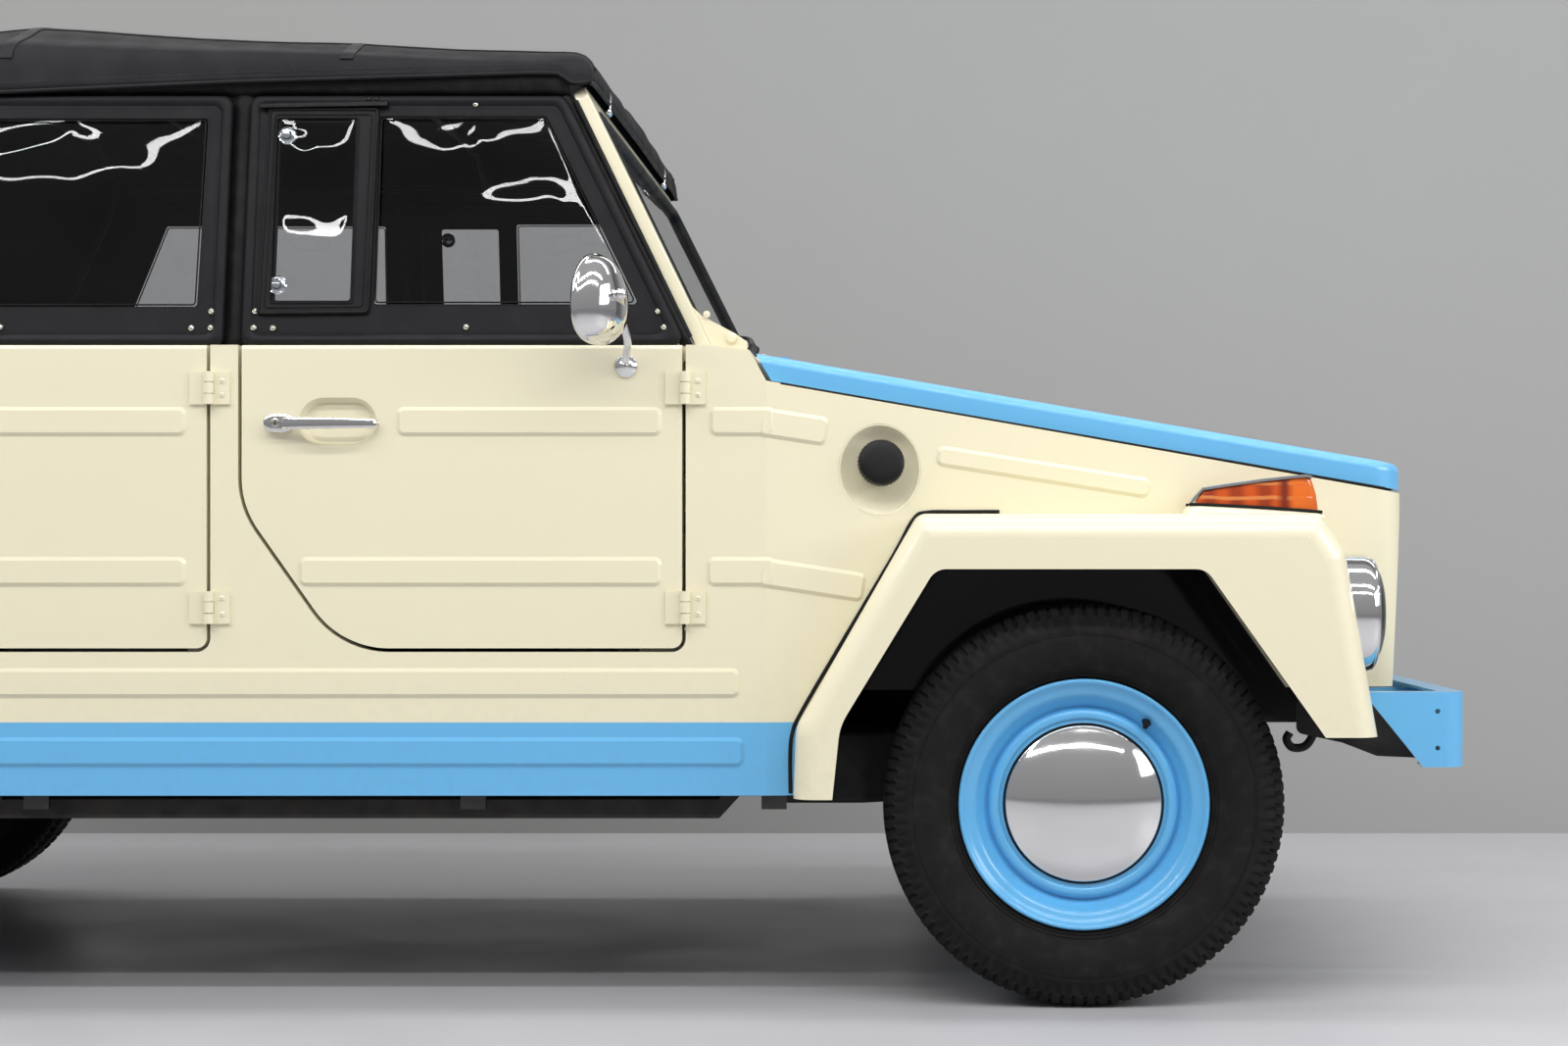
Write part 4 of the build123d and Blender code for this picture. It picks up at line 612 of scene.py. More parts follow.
def rounded(points, radii, steps=6):
    """A closed flat outline with its corners rounded, as (a, b) points."""
    result = []
    count = len(points)
    if isinstance(radii, (int, float)):
        radii = [radii] * count
    for i in range(count):
        here = Vector(points[i])
        before = (Vector(points[i - 1]) - here).normalized()
        after = (Vector(points[(i + 1) % count]) - here).normalized()
        if radii[i] <= 0:
            result += [here.copy() for _ in range(steps + 1)]
            continue
        half = before.angle(after) / 2
        reach = radii[i] / math.tan(half)
        centre = here + (before + after).normalized() * (radii[i] / math.sin(half))
        start = here + before * reach - centre
        end = here + after * reach - centre
        turn = start.angle_signed(end)
        for j in range(steps + 1):
            a = -turn * j / steps
            result.append(centre + Vector((
                start.x * math.cos(a) - start.y * math.sin(a),
                start.x * math.sin(a) + start.y * math.cos(a),
            )))
    return [(p.x, p.y) for p in result]


def dense(points, per_side):
    """The same closed outline with each long side divided."""
    result = []
    count = len(points)
    for i in range(count):
        a, b = Vector(points[i]), Vector(points[(i + 1) % count])
        parts = max(1, round((b - a).length / per_side))
        result += [tuple(a.lerp(b, j / parts)) for j in range(parts)]
    return result


def smoothed(points, steps):
    """A smooth open line through points (Catmull-Rom)."""
    line = [Vector(p) for p in points]
    line = [2 * line[0] - line[1], *line, 2 * line[-1] - line[-2]]
    result = []
    for a, b, c, d in zip(line, line[1:], line[2:], line[3:]):
        for j in range(steps):
            t = j / steps
            square = (2 * a - 5 * b + 4 * c - d) * t * t
            cube = (3 * b - 3 * c + d - a) * t**3
            result.append(0.5 * (2 * b + (c - a) * t + square + cube))
    return [*result, line[-2]]


def spaced(points, pitch, closed=False):
    """Points at an even pitch along a line, each with the line's direction there."""
    line = [Vector(p) for p in points]
    if closed:
        line.append(line[0])
    result = []
    carried = pitch / 2
    for a, b in zip(line, line[1:]):
        length = (b - a).length
        while carried < length:
            result.append((a.lerp(b, carried / length), (b - a).normalized()))
            carried += pitch
        carried -= length
    return result


def stitches(shape, points, out, pitch=0.0062, length=0.004, width=0.0009, closed=False):
    """Thread along a line, as short raised stitches; out is the cloth's outward way."""
    out = Vector(out).normalized()
    for point, way in spaced(points, pitch, closed):
        side = way.cross(out).normalized() * width
        along = way * length / 2
        lift = out * 0.0007
        verts = [
            point - along,
            point + side * 0.6 - along * 0.6 + lift,
            point + along * 0.6 + side * 0.6 + lift,
            point + along,
            point + along * 0.6 - side * 0.6 + lift,
            point - along * 0.6 - side * 0.6 + lift,
        ]
        shape.add(verts, [(0, 1, 5), (1, 2, 4, 5), (2, 3, 4)])
    return shape


def screw(shape, centre, out, radius=0.0045, height=0.0022):
    """A domed cross-head screw."""
    dome = [
        (radius, 0.0), (radius, height * 0.35), (radius * 0.8, height * 0.8), (radius * 0.45, height),
        (0, height),
    ]
    shape.lathe(dome, centre, out, 16)
    out = Vector(out).normalized()
    across = out.orthogonal().normalized()
    for way in (across, out.cross(across)):
        other = out.cross(way)
        bar = radius * 0.62
        thin = radius * 0.14
        top = Vector(centre) + out * (height + 0.0002)
        corners = ((-bar, -thin), (bar, -thin), (bar, thin), (-bar, thin))
        shape.add([top + way * a + other * b for a, b in corners], [(0, 1, 2, 3)])
    return shape


def snap(shape, centre, out, radius=0.0058):
    """A press stud or rivet head with a rolled rim."""
    rim = [(radius, 0.0), (radius, 0.001), (radius * 0.86, 0.0019), (radius * 0.7, 0.0013)]
    rim += [(radius * 0.5, 0.0022), (radius * 0.2, 0.003), (0, 0.0031)]
    return shape.lathe(rim, centre, out, 20)


def bent(points, radii, steps):
    """An open line with each inner corner rounded, in a fixed count of points."""
    line = [Vector(p) for p in points]
    result = [line[0]]
    for before, here, after, radius in zip(line, line[1:], line[2:], radii):
        back = before - here
        ahead = after - here
        start = here + back.normalized() * min(radius, back.length * 0.48)
        end = here + ahead.normalized() * min(radius, ahead.length * 0.48)
        for j in range(steps + 1):
            t = j / steps
            result.append(start * (1 - t) ** 2 + here * 2 * t * (1 - t) + end * t**2)
    return [*result, line[-1]]


def resampled(points, count):
    """The same open line as evenly spaced points."""
    line = [Vector(p) for p in points]
    lengths = [0.0]
    for a, b in zip(line, line[1:]):
        lengths.append(lengths[-1] + (b - a).length)
    result = []
    k = 0
    for i in range(count):
        want = lengths[-1] * i / (count - 1)
        while k < len(line) - 2 and lengths[k + 1] < want:
            k += 1
        span = max(lengths[k + 1] - lengths[k], 1e-9)
        result.append(line[k].lerp(line[k + 1], min(1.0, max(0.0, (want - lengths[k]) / span))))
    return result


def thicken(thing, depth):
    """Gives a sheet its thickness, inward from its outer face."""
    solid = thing.modifiers.new("thickness", "SOLIDIFY")
    solid.thickness = depth
    solid.offset = -1.0
    return thing


def lerp(a, b, t):
    return a + (b - a) * t


def line_value(stops, x):
    """The value at x along (x, value) stops that grow in x."""
    if x <= stops[0][0]:
        return stops[0][1]
    for (x0, v0), (x1, v1) in zip(stops, stops[1:]):
        if x <= x1:
            return lerp(v0, v1, (x - x0) / (x1 - x0))
    return stops[-1][1]


# ---- The CAD frame's own finish ----
for node_name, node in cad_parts.items():
    for held in node.material_slots:
        base = held.material.name.split(".")[0] if held.material else ""
        held.material = SLOT_FINISH.get(base, cream_paint)

NODE_FINISH = {
    "side_panel_right": two_tone,
    "side_panel_left": two_tone,
    "front_body": nose_paint,
    "rear_body": tail_paint,
    "front_fenders": fender_paint["front"],
    "rear_fenders": fender_paint["rear"],
    "front_bumper": bumper_paint,
    "rear_bumper": bumper_paint,
}
for node_name, finish in NODE_FINISH.items():
    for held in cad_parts[node_name].material_slots:
        held.material = finish


def ease_edges(node_name, width):
    """Rounds a pressed panel's edges and keeps its flats flat."""
    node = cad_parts[node_name]
    join = node.modifiers.new("join", "WELD")
    join.merge_threshold = 2e-5
    flat = node.modifiers.new("flat", "DECIMATE")
    flat.decimate_type = "DISSOLVE"
    flat.angle_limit = math.radians(0.6)
    soften(node, width, segments=3, angle=24.0)
    shading = node.modifiers.new("shading", "WEIGHTED_NORMAL")
    shading.keep_sharp = True


PRESSED_EDGES = {
    "side_panel_right": 0.0022,
    "side_panel_left": 0.0022,
    "front_door_right": 0.0022,
    "front_door_left": 0.0022,
    "rear_door_right": 0.0022,
    "rear_door_left": 0.0022,
    "windshield_frame": 0.003,
    "cowl_panel": 0.002,
    "dashboard": 0.004,
    "front_bumper": 0.0024,
    "rear_bumper": 0.0024,
}
for node_name, width in PRESSED_EDGES.items():
    ease_edges(node_name, width)


BODY_HALF = 0.735
TAPER_FROM_X = 0.779
TAPER_SLOPE = 0.165 / 1.043


def body_half(x):
    """Half the body's width over its side walls at a station."""
    return BODY_HALF - max(0.0, x - TAPER_FROM_X) * TAPER_SLOPE


# ---- Wheels ----
TREAD_LUGS = 104
LUG_SHARES = (0.0, 0.13, 0.28, 0.5, 0.72, 0.87)
LUG_STEPS = len(LUG_SHARES)
TYRE_LINE = [
    (0.1915, -0.054), (0.2005, -0.0575), (0.204, -0.0605), (0.208, -0.064), (0.216, -0.071),
    (0.226, -0.079), (0.24, -0.0862), (0.252, -0.0882), (0.264, -0.0878), (0.276, -0.0862),
    (0.279, -0.0868), (0.2815, -0.0855), (0.289, -0.0838), (0.296, -0.0818), (0.301, -0.08),
    (0.304, -0.0786), (0.306, -0.0774), (0.311, -0.0738), (0.315, -0.07), (0.3178, -0.0655),
    (0.319, -0.06), (0.3196, -0.052), (0.32, -0.044), (0.3204, -0.0415), (0.3206, -0.033),
    (0.3208, -0.025), (0.321, -0.0225), (0.3213, -0.014), (0.3214, -0.005),
]
TREAD_FROM_RADIUS = 0.2885
INNER_LUG_RADIUS = 0.3025
CROWN_FROM_RADIUS = 0.315
GROOVES = (0.043, 0.024)
GROOVE_HALF = 0.0022


def tyre_piece(name, place, side, body, node):
    """A radial tyre with zigzag grooves, shoulder lugs and moulded sidewall rings."""
    half = [(r, a) for r, a in TYRE_LINE]
    profile = half + [(0.3214, 0.005)] + [(r, -a) for r, a in reversed(half[:-1])]
    origin = Vector(place)
    count = TREAD_LUGS * LUG_STEPS
    rows = []
    for radius, along in profile:
        row = []
        for j in range(count):
            lug, step = divmod(j, LUG_STEPS)
            turn = math.tau * (lug + LUG_SHARES[step]) / TREAD_LUGS
            sunk = 0.0
            width = abs(along)
            zigzag = 0.0022 * math.sin(turn * TREAD_LUGS)
            if radius > CROWN_FROM_RADIUS and width < 0.052:
                for groove in GROOVES:
                    if abs(width - groove - zigzag) < GROOVE_HALF + 0.0012:
                        sunk = 0.0065
                if step == 3 and 0.026 < width < 0.04:
                    sunk = max(sunk, 0.0022)
                if step == 0 and width < 0.02:
                    sunk = max(sunk, 0.003)
            elif radius >= INNER_LUG_RADIUS:
                if step in (0, 1):
                    sunk = 0.0042
            elif radius >= TREAD_FROM_RADIUS:
                if step in (3, 4):
                    sunk = 0.0022
            lean = 0.012 * math.sin(radius * 900.0) if radius > TREAD_FROM_RADIUS else 0.0
            towards = min(1.0, max(0.0, (radius - 0.3) / 0.018))
            r = radius - sunk * towards
            a = along * (1 - 0.3 * sunk / max(width, 0.01)) - math.copysign(sunk * (1 - towards), along)
            t = turn + lean / 6
            row.append(origin + Vector((r * math.cos(t), side * -a, r * math.sin(t))))
        rows.append(row)
    shape = Shape().grid(rows, closed=True)
    tyre = shape.make(name, tread_rubber, body, "tyre_rubber", angle=40.0)
    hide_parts(node)
    return tyre


def sidewall_rings(name, place, side, body):
    """Fine moulded rings and the rim-line bead on the outer sidewall."""
    shape = Shape()
    for radius, out, size in ((0.2065, 0.0645, 0.0011), (0.2715, 0.0872, 0.0007), (0.212, 0.069, 0.0006)):
        ring = [
            Vector(place) + Vector((radius * math.cos(t), side * out, radius * math.sin(t)))
            for t in (math.tau * j / 120 for j in range(120))
        ]
        shape.tube(ring, size, sides=6, closed=True)
    return shape.make(name, tread_rubber, body, "tyre_rubber")


RIM_LINE = [
    (0.17, -0.06), (0.1905, -0.06), (0.199, -0.06), (0.1992, -0.0625), (0.1975, -0.0645),
    (0.1945, -0.064), (0.184, -0.059), (0.183, -0.04), (0.163, -0.025), (0.163, 0.02),
    (0.18, 0.033), (0.1895, 0.042), (0.1898, 0.0555), (0.193, 0.0582), (0.1975, 0.0592),
    (0.1994, 0.0606), (0.2, 0.0626), (0.1992, 0.0646), (0.197, 0.0655), (0.1945, 0.0648),
    (0.1925, 0.0628), (0.19, 0.06), (0.1865, 0.0572), (0.1825, 0.0552), (0.178, 0.054),
    (0.1745, 0.0522), (0.1715, 0.049), (0.1685, 0.044), (0.165, 0.0385), (0.161, 0.0338),
    (0.1575, 0.0305), (0.1552, 0.0286), (0.1545, 0.0275), (0.1534, 0.0275), (0.1528, 0.029),
    (0.152, 0.033), (0.1498, 0.0372), (0.1462, 0.04), (0.142, 0.0412), (0.1385, 0.0408),
    (0.1362, 0.0396), (0.1352, 0.0386), (0.1346, 0.0374), (0.133, 0.0366), (0.13, 0.0364),
    (0.128, 0.0376), (0.124, 0.042), (0.118, 0.044), (0.06, 0.044), (0.03, 0.044),
    (0.026, 0.043), (0.026, 0.033), (0.124, 0.033), (0.136, 0.03), (0.146, 0.031),
    (0.15, 0.026), (0.1545, 0.02), (0.16, 0.014),
]
CAP_EDGE = [(0.118, 0.04), (0.1226, 0.0402), (0.1246, 0.0414), (0.125, 0.043), (0.1244, 0.0443)]
CAP_CROWN = 0.0794
CAP_DOME_R = 0.237
CAP_LINE = CAP_EDGE + [
    (radius, CAP_CROWN - CAP_DOME_R + math.sqrt(CAP_DOME_R**2 - radius**2))
    for radius in (0.1234 * (1 - k / 22) for k in range(23))
]


def wheel_pieces(end, side_name, valve_turn):
    """The painted rim, its bright domed cap, the valve and the gasket under the cap."""
    side = SIDES[side_name]
    node = f"{end}_wheel_{side_name}"
    low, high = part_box(node)
    place = Vector(((low.x + high.x) / 2, (low.y + high.y) / 2, (low.z + high.z) / 2))
    out = (0, side, 0)
    rim = Shape().lathe(RIM_LINE, place, out, 160, start=(1, 0, 0))
    rim = rim.make(f"{end}_rim_{side_name}", wheel_paint, node, "blue_wheel_paint", angle=50.0)
    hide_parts(node)
    cap = Shape().lathe(CAP_LINE, place, out, 160, start=(1, 0, 0))
    cap.make(f"{end}_hub_cap_{side_name}", chrome, node, "chrome", angle=50.0)
    seal = Shape()
    seal.lathe(
        [(0.1238, 0.0362), (0.1284, 0.0376), (0.129, 0.0396), (0.127, 0.0416), (0.1236, 0.0408)], place,
        out, 96,
    )
    seal.make(f"{end}_cap_gasket_{side_name}", seal_rubber, node, "black_plastic")
    way = Vector((math.cos(valve_turn), 0, math.sin(valve_turn)))
    foot = place + way * 0.1665 + Vector((0, side * 0.036, 0))
    stem = (Vector((0, side, 0)) - way * 0.3).normalized()
    valve = Shape()
    valve.lathe(
        [(0.0085, -0.004), (0.0088, 0.002), (0.0062, 0.006), (0.005, 0.014), (0.0048, 0.02), (0.0, 0.02)],
        foot, stem, 16,
    )
    valve.lathe(
        [(0.0, 0.031), (0.004, 0.031), (0.0047, 0.0295), (0.0048, 0.02), (0.0, 0.02)], foot, stem, 16,
    )
    valve.make(f"{end}_valve_{side_name}", seal_rubber, node, "black_plastic")
    tyre_piece(f"{end}_tyre_tread_{side_name}", place, side, node, f"{end}_tyre_{side_name}")
    sidewall_rings(f"{end}_sidewall_rings_{side_name}", place, side, node)


for wheel_end, valve_at in (("front", math.radians(52)), ("rear", math.radians(128))):
    for wheel_side in SIDES:
        wheel_pieces(wheel_end, wheel_side, valve_at)


# ---- Soft top: one curved sheet over the bows ----
HEADER_NOSE = [
    (0.4865, 1.496), (0.488, 1.508), (0.4865, 1.52), (0.481, 1.532), (0.472, 1.5415),
    (0.458, 1.5485), (0.435, 1.5535),
]
ROOF_STOPS = [
    (0.435, 1.5535), (0.26, 1.563), (0.09, 1.579), (-0.185, 1.596), (-0.4, 1.6155),
    (-0.463, 1.6205), (-0.5, 1.6165), (-0.57, 1.606), (-0.69, 1.5975), (-0.86, 1.577),
    (-0.97, 1.564),
]
BACK_STOPS = [(-1.006, 1.556), (-1.03, 1.537), (-1.15, 1.344), (-1.25, 1.184), (-1.33, 1.056)]
FLAP_STOPS = [
    (-1.4, 1.056), (-0.848, 1.056), (-0.84, 1.06), (-0.695, 1.425), (-0.67, 1.452),
    (-0.62, 1.462), (-0.47, 1.468), (-0.09, 1.486), (0.4, 1.501), (0.435, 1.5),
    (0.452, 1.486), (0.46, 1.483), (0.5, 1.486),
]
SHOULDER_DROP = [
    (-1.34, 0.0), (-1.2, 0.03), (-1.0, 0.05), (-0.69, 0.07), (-0.463, 0.085), (0.43, 0.042), (0.5, 0.006),
]
ROOF_EDGE = [(-1.34, 0.0), (-1.0, 0.008), (-0.69, 0.008), (-0.463, 0.014), (0.43, 0.008), (0.5, 0.002)]
ROOF_HALF = [
    (-1.34, 0.66), (-1.0, 0.57), (-0.69, 0.5), (-0.463, 0.48), (0.0, 0.53), (0.43, 0.6), (0.5, 0.615),
]
SIDE_STEPS = 12
SLOPE_STEPS = 6
ROOF_STEPS = 18
# How much the stretched cloth stands over its bows, along the car.
ROOF_LIFT = [
    (-1.3, 0.0), (-0.95, 0.003), (-0.69, 0.009), (-0.463, 0.012), (0.0, 0.009), (0.43, 0.007),
    (0.54, 0.005),
]


BELT_Z = 1.0543
BELT_HALF = 0.7165
SIDE_LEAN = 0.1274
RAIL_Z = 1.47
RAIL_HALF = 0.6635
ROOF_LEAN = 0.27


def side_half(z):
    """Half the top's width on its leaning side at a height."""
    if z < RAIL_Z:
        return BELT_HALF - (z - BELT_Z) * SIDE_LEAN
    return RAIL_HALF - (z - RAIL_Z) * ROOF_LEAN


def top_stations():
    roof = resampled([(x, z, 0) for x, z in ROOF_STOPS], 62)[1:]
    back = resampled([(x, z, 0) for x, z in BACK_STOPS], 30)
    line = [(x, z) for x, z in HEADER_NOSE] + [(p.x, p.y) for p in roof] + [(p.x, p.y) for p in back]
    return [(x, z + line_value(ROOF_LIFT, x) * min(1.0, max(0.0, (z - 1.5) / 0.05))) for x, z in line]


def fold(x, y, z, near_edge):
    """How far the cloth stands off its even shape: long soft folds and small puckers."""
    long_fold = noise.noise(Vector((x * 1.1, y * 7.0, z * 11.0))) * 0.0048
    small = noise.noise(Vector((x * 6.0 + 4.0, y * 9.0, z * 14.0))) * 0.0014
    drape = 0.0
    for reach, height, slope in ((0.3, 1.545, 0.03), (0.55, 1.52, 0.02), (0.05, 1.565, 0.055)):
        ridge = z - (height + slope * (x + 0.46) * -1)
        drape += 0.003 * math.exp(-((ridge / 0.01) ** 2)) * math.exp(-(((x + 0.2) / (0.35 + reach)) ** 2))
    return (long_fold + small + drape) * near_edge


def top_rows():
    rows = []
    for x, crown in top_stations():
        bottom = min(line_value(FLAP_STOPS, x), crown)
        shoulder = max(bottom, crown - line_value(SHOULDER_DROP, x))
        edge_z = crown - line_value(ROOF_EDGE, x)
        edge_y = min(line_value(ROOF_HALF, x), side_half(edge_z) - 0.004)
        corners = [
            (side_half(bottom), bottom, 0), (side_half(shoulder), shoulder, 0), (edge_y, edge_z, 0),
            (edge_y * 0.45, crown - 0.002, 0), (0.0, crown, 0),
        ]
        side = bent(corners, [0.03, 0.075, 0.2], 6)
        split = len(side) // 2
        half = resampled(side[: split + 1], SIDE_STEPS + SLOPE_STEPS)[:-1]
        half += resampled(side[split:], ROOF_STEPS)
        full = [(p.x, p.y) for p in half] + [(-p.x, p.y) for p in reversed(half[:-1])]
        rows.append([Vector((x, y, z)) for y, z in full])
    return rows


def with_folds(rows):
    """Moves each point along the sheet's own normal by its fold."""
    result = []
    for i, row in enumerate(rows):
        new = []
        for j, point in enumerate(row):
            ahead = rows[min(i + 1, len(rows) - 1)][j] - rows[max(i - 1, 0)][j]
            across = row[min(j + 1, len(row) - 1)] - row[max(j - 1, 0)]
            way = ahead.cross(across)
            if way.length < 1e-9:
                new.append(point)
                continue
            way.normalize()
            if way.z + way.y * (1 if point.y > 0 else -1) < 0:
                way = -way
            edge = min(i, len(rows) - 1 - i, j, len(row) - 1 - j) / 4
            new.append(point + way * fold(point.x, point.y, point.z, min(1.0, edge)))
        result.append(new)
    return result


WINDOW_LOW = 1.165
WINDOW_HIGH = 1.436
WINDOW_CORNER = 0.04


def window_half(z):
    return lerp(0.428, 0.4, (z - 1.16) / 0.28)


def in_rear_window(point):
    if point.x > -1.05 or not WINDOW_LOW < point.z < WINDOW_HIGH:
        return False
    reach = window_half(point.z) - abs(point.y)
    drop = min(point.z - WINDOW_LOW, WINDOW_HIGH - point.z)
    if reach < WINDOW_CORNER and drop < WINDOW_CORNER:
        return (WINDOW_CORNER - reach) ** 2 + (WINDOW_CORNER - drop) ** 2 < WINDOW_CORNER**2
    return reach > 0


sheet_rows = with_folds(top_rows())
top_shape = Shape().grid(sheet_rows)
kept = []
for face in top_shape.faces:
    middle = sum((Vector(top_shape.verts[i]) for i in face), Vector()) / len(face)
    if not in_rear_window(middle):
        kept.append(face)
top_shape.faces = kept
canopy = top_shape.make("soft_top_canopy", top_vinyl, "body", "black_vinyl", angle=80.0)
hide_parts("soft_top")
thicken(canopy, 0.0022)


def outward(rows, i, j):
    """The sheet's outward direction at a grid point."""
    ahead = rows[min(i + 1, len(rows) - 1)][j] - rows[max(i - 1, 0)][j]
    across = rows[i][min(j + 1, len(rows[i]) - 1)] - rows[i][max(j - 1, 0)]
    way = ahead.cross(across)
    if way.length < 1e-9:
        return Vector((0, 0, 1))
    way.normalize()
    middle = Vector((rows[i][j].x + 0.05, 0, 1.2))
    return way if way.dot(rows[i][j] - middle) > 0 else -way


TAPE_LIFT = 0.0018
TAPE_CROWN = 0.00228


def tape(shape, line, outs, width):
    """A sewn tape along a line of the cloth, with turned-down edges."""
    rows = []
    for k, point in enumerate(line):
        way = (line[min(k + 1, len(line) - 1)] - line[max(k - 1, 0)]).normalized()
        out = outs[k]
        side = way.cross(out).normalized() * (width / 2)
        rows.append([
            point - side, point - side * 0.94 + out * TAPE_LIFT, point + out * TAPE_CROWN,
            point + side * 0.94 + out * TAPE_LIFT, point + side,
        ])
    return shape.grid(rows)


columns = len(sheet_rows[0])
trim = Shape()
thread = Shape()
long_seams = (SIDE_STEPS + SLOPE_STEPS - 2, columns - 1 - (SIDE_STEPS + SLOPE_STEPS - 2))
for j in long_seams:
    line = [row[j] for row in sheet_rows]
    outs = [outward(sheet_rows, i, j) for i in range(len(sheet_rows))]
    tape(trim, line, outs, 0.018)
    for shift in (-0.0055, 0.0055):
        for k in range(0, len(line) - 1):
            way = (line[k + 1] - line[k]).normalized()
            side = way.cross(outs[k]).normalized() * shift
            stitches(
                thread, [line[k] + side + outs[k] * 0.0024, line[k + 1] + side + outs[k + 1] * 0.0024],
                outs[k], 0.008, 0.005, 0.0011,
            )
bow_rows = [
    min(
        range(len(sheet_rows)),
        key=lambda i: abs(sheet_rows[i][columns // 2].x - x) + 9 * (sheet_rows[i][columns // 2].z < 1.55),
    )
    for x in (-0.463, 0.09, -0.985)
]
for i in bow_rows:
    line = sheet_rows[i][4:-4]
    outs = [outward(sheet_rows, i, j) for j in range(4, columns - 4)]
    tape(trim, line, outs, 0.022)
for edge in (0, columns - 1):
    line = [row[edge] for row in sheet_rows]
    outs = [outward(sheet_rows, i, min(max(edge, 2), columns - 3)) for i in range(len(sheet_rows))]
    trim.tube([p + Vector((0, 0, 0.001)) for p in line], 0.0034, sides=8)
    inner = 2 if edge == 0 else columns - 3
    for k in range(len(line) - 1):
        if line[k].z > 1.4:
            a = line[k] + Vector((0, 0, 0.016)) + outs[k] * 0.0012
            b = line[k + 1] + Vector((0, 0, 0.016)) + outs[k] * 0.0012
            a.y = math.copysign(side_half(a.z), a.y) + outs[k].y * 0.002
            b.y = math.copysign(side_half(b.z), b.y) + outs[k].y * 0.002
            stitches(thread, [a, b], outs[k], 0.008, 0.005, 0.001)
front_line = sheet_rows[0]
trim.tube(front_line, 0.0036, sides=8)
top_tape = trim.make("soft_top_tapes", curtain_vinyl, "body", "black_vinyl", angle=60.0)
hem_thread = thread.make("soft_top_thread", black_plastic, "body", "black_vinyl")

# The clear panel in the back curtain, its binding and the thread round it.
BACK_LOW = Vector((-1.33, 0, 1.056))
BACK_HIGH = Vector((-1.03, 0, 1.537))
BACK_UP = (BACK_HIGH - BACK_LOW).normalized()
BACK_OUT = Vector((-BACK_UP.z, 0, BACK_UP.x))


def on_back(y, z, out=0.0):
    """A point on the back curtain at a height, stood off outward."""
    along = (z - BACK_LOW.z) / BACK_UP.z
    return BACK_LOW + BACK_UP * along + Vector((0, y, 0)) + BACK_OUT * out


def window_outline(grow):
    low = WINDOW_LOW - grow
    high = WINDOW_HIGH + grow
    corners = [
        (-window_half(low) - grow, low), (window_half(low) + grow, low),
        (window_half(high) + grow, high), (-window_half(high) - grow, high),
    ]
    return dense(rounded(corners, WINDOW_CORNER + grow, 8), 0.03)


pane_rows = []
for i in range(29):
    z = lerp(WINDOW_LOW - 0.012, WINDOW_HIGH + 0.012, i / 28)
    row = []
    for j in range(73):
        y = lerp(-1, 1, j / 72) * (window_half(z) + 0.012)
        edge = min(i, 28 - i, j / 2, (72 - j) / 2) / 6
        lift = noise.noise(Vector((y * 5.0, z * 7.0, 3.0))) * 0.004 * min(1.0, edge)
        row.append(on_back(y, z, -0.0035 + lift))
    pane_rows.append(row)
rear_pane = Shape().grid(pane_rows).make("rear_window_film", clear_film, "body", "clear_vinyl", angle=80.0)
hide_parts("rear_window")
binding = Shape()
ring_rows = []
for grow, out in ((0.02, -0.001), (0.018, 0.0022), (-0.01, 0.0026), (-0.012, -0.002)):
    loop = [on_back(y, z, out) for y, z in window_outline(grow)]
    ring_rows.append(resampled([*loop, loop[0]], 161)[:-1])
binding.grid(ring_rows, closed=True)
window_binding = binding.make("rear_window_binding", curtain_vinyl, "body", "black_vinyl", angle=60.0)
window_thread = Shape()
for grow in (-0.005, 0.013):
    loop = [on_back(y, z, 0.0028) for y, z in window_outline(grow)]
    stitches(window_thread, [*loop, loop[0]], BACK_OUT, 0.008, 0.005, 0.001)
rear_thread = window_thread.make("rear_window_thread", black_plastic, "body", "black_vinyl")

# The dark weather strip between the side rail and the flap.
for side_name, side in SIDES.items():
    strip = Shape()
    rows = []
    for k in range(60):
        x = lerp(0.452, -0.66, k / 59)
        wave = 0.0012 * noise.noise(Vector((x * 9.0, side, 0.0)))
        rows.append([
            Vector((x, side * 0.643, 1.523)), Vector((x, side * (0.6485 + wave), 1.512)),
            Vector((x, side * (0.65 + wave), 1.494)), Vector((x, side * (0.649 + wave), 1.478)),
            Vector((x, side * 0.644, 1.47)), Vector((x, side * 0.634, 1.466)),
            Vector((x, side * 0.6325, 1.448)),
        ])
    strip.grid(rows)
    strip.make(f"side_rail_seal_{side_name}", seal_rubber, "body", "black_vinyl", angle=60.0)


# ---- Side curtains ----
CURTAIN_LEAN = math.atan2(0.062, 0.4117)
CURTAIN_HIGH = 0.4117 / math.cos(CURTAIN_LEAN)
SCREEN_SLANT = math.radians(26.2)
REAR_SLANT = math.radians(24.5)
WELT = 0.017
# Pitch, length and width of the curtains' stitches.
CURTAIN_STITCH = (0.0072, 0.0046, 0.0009)


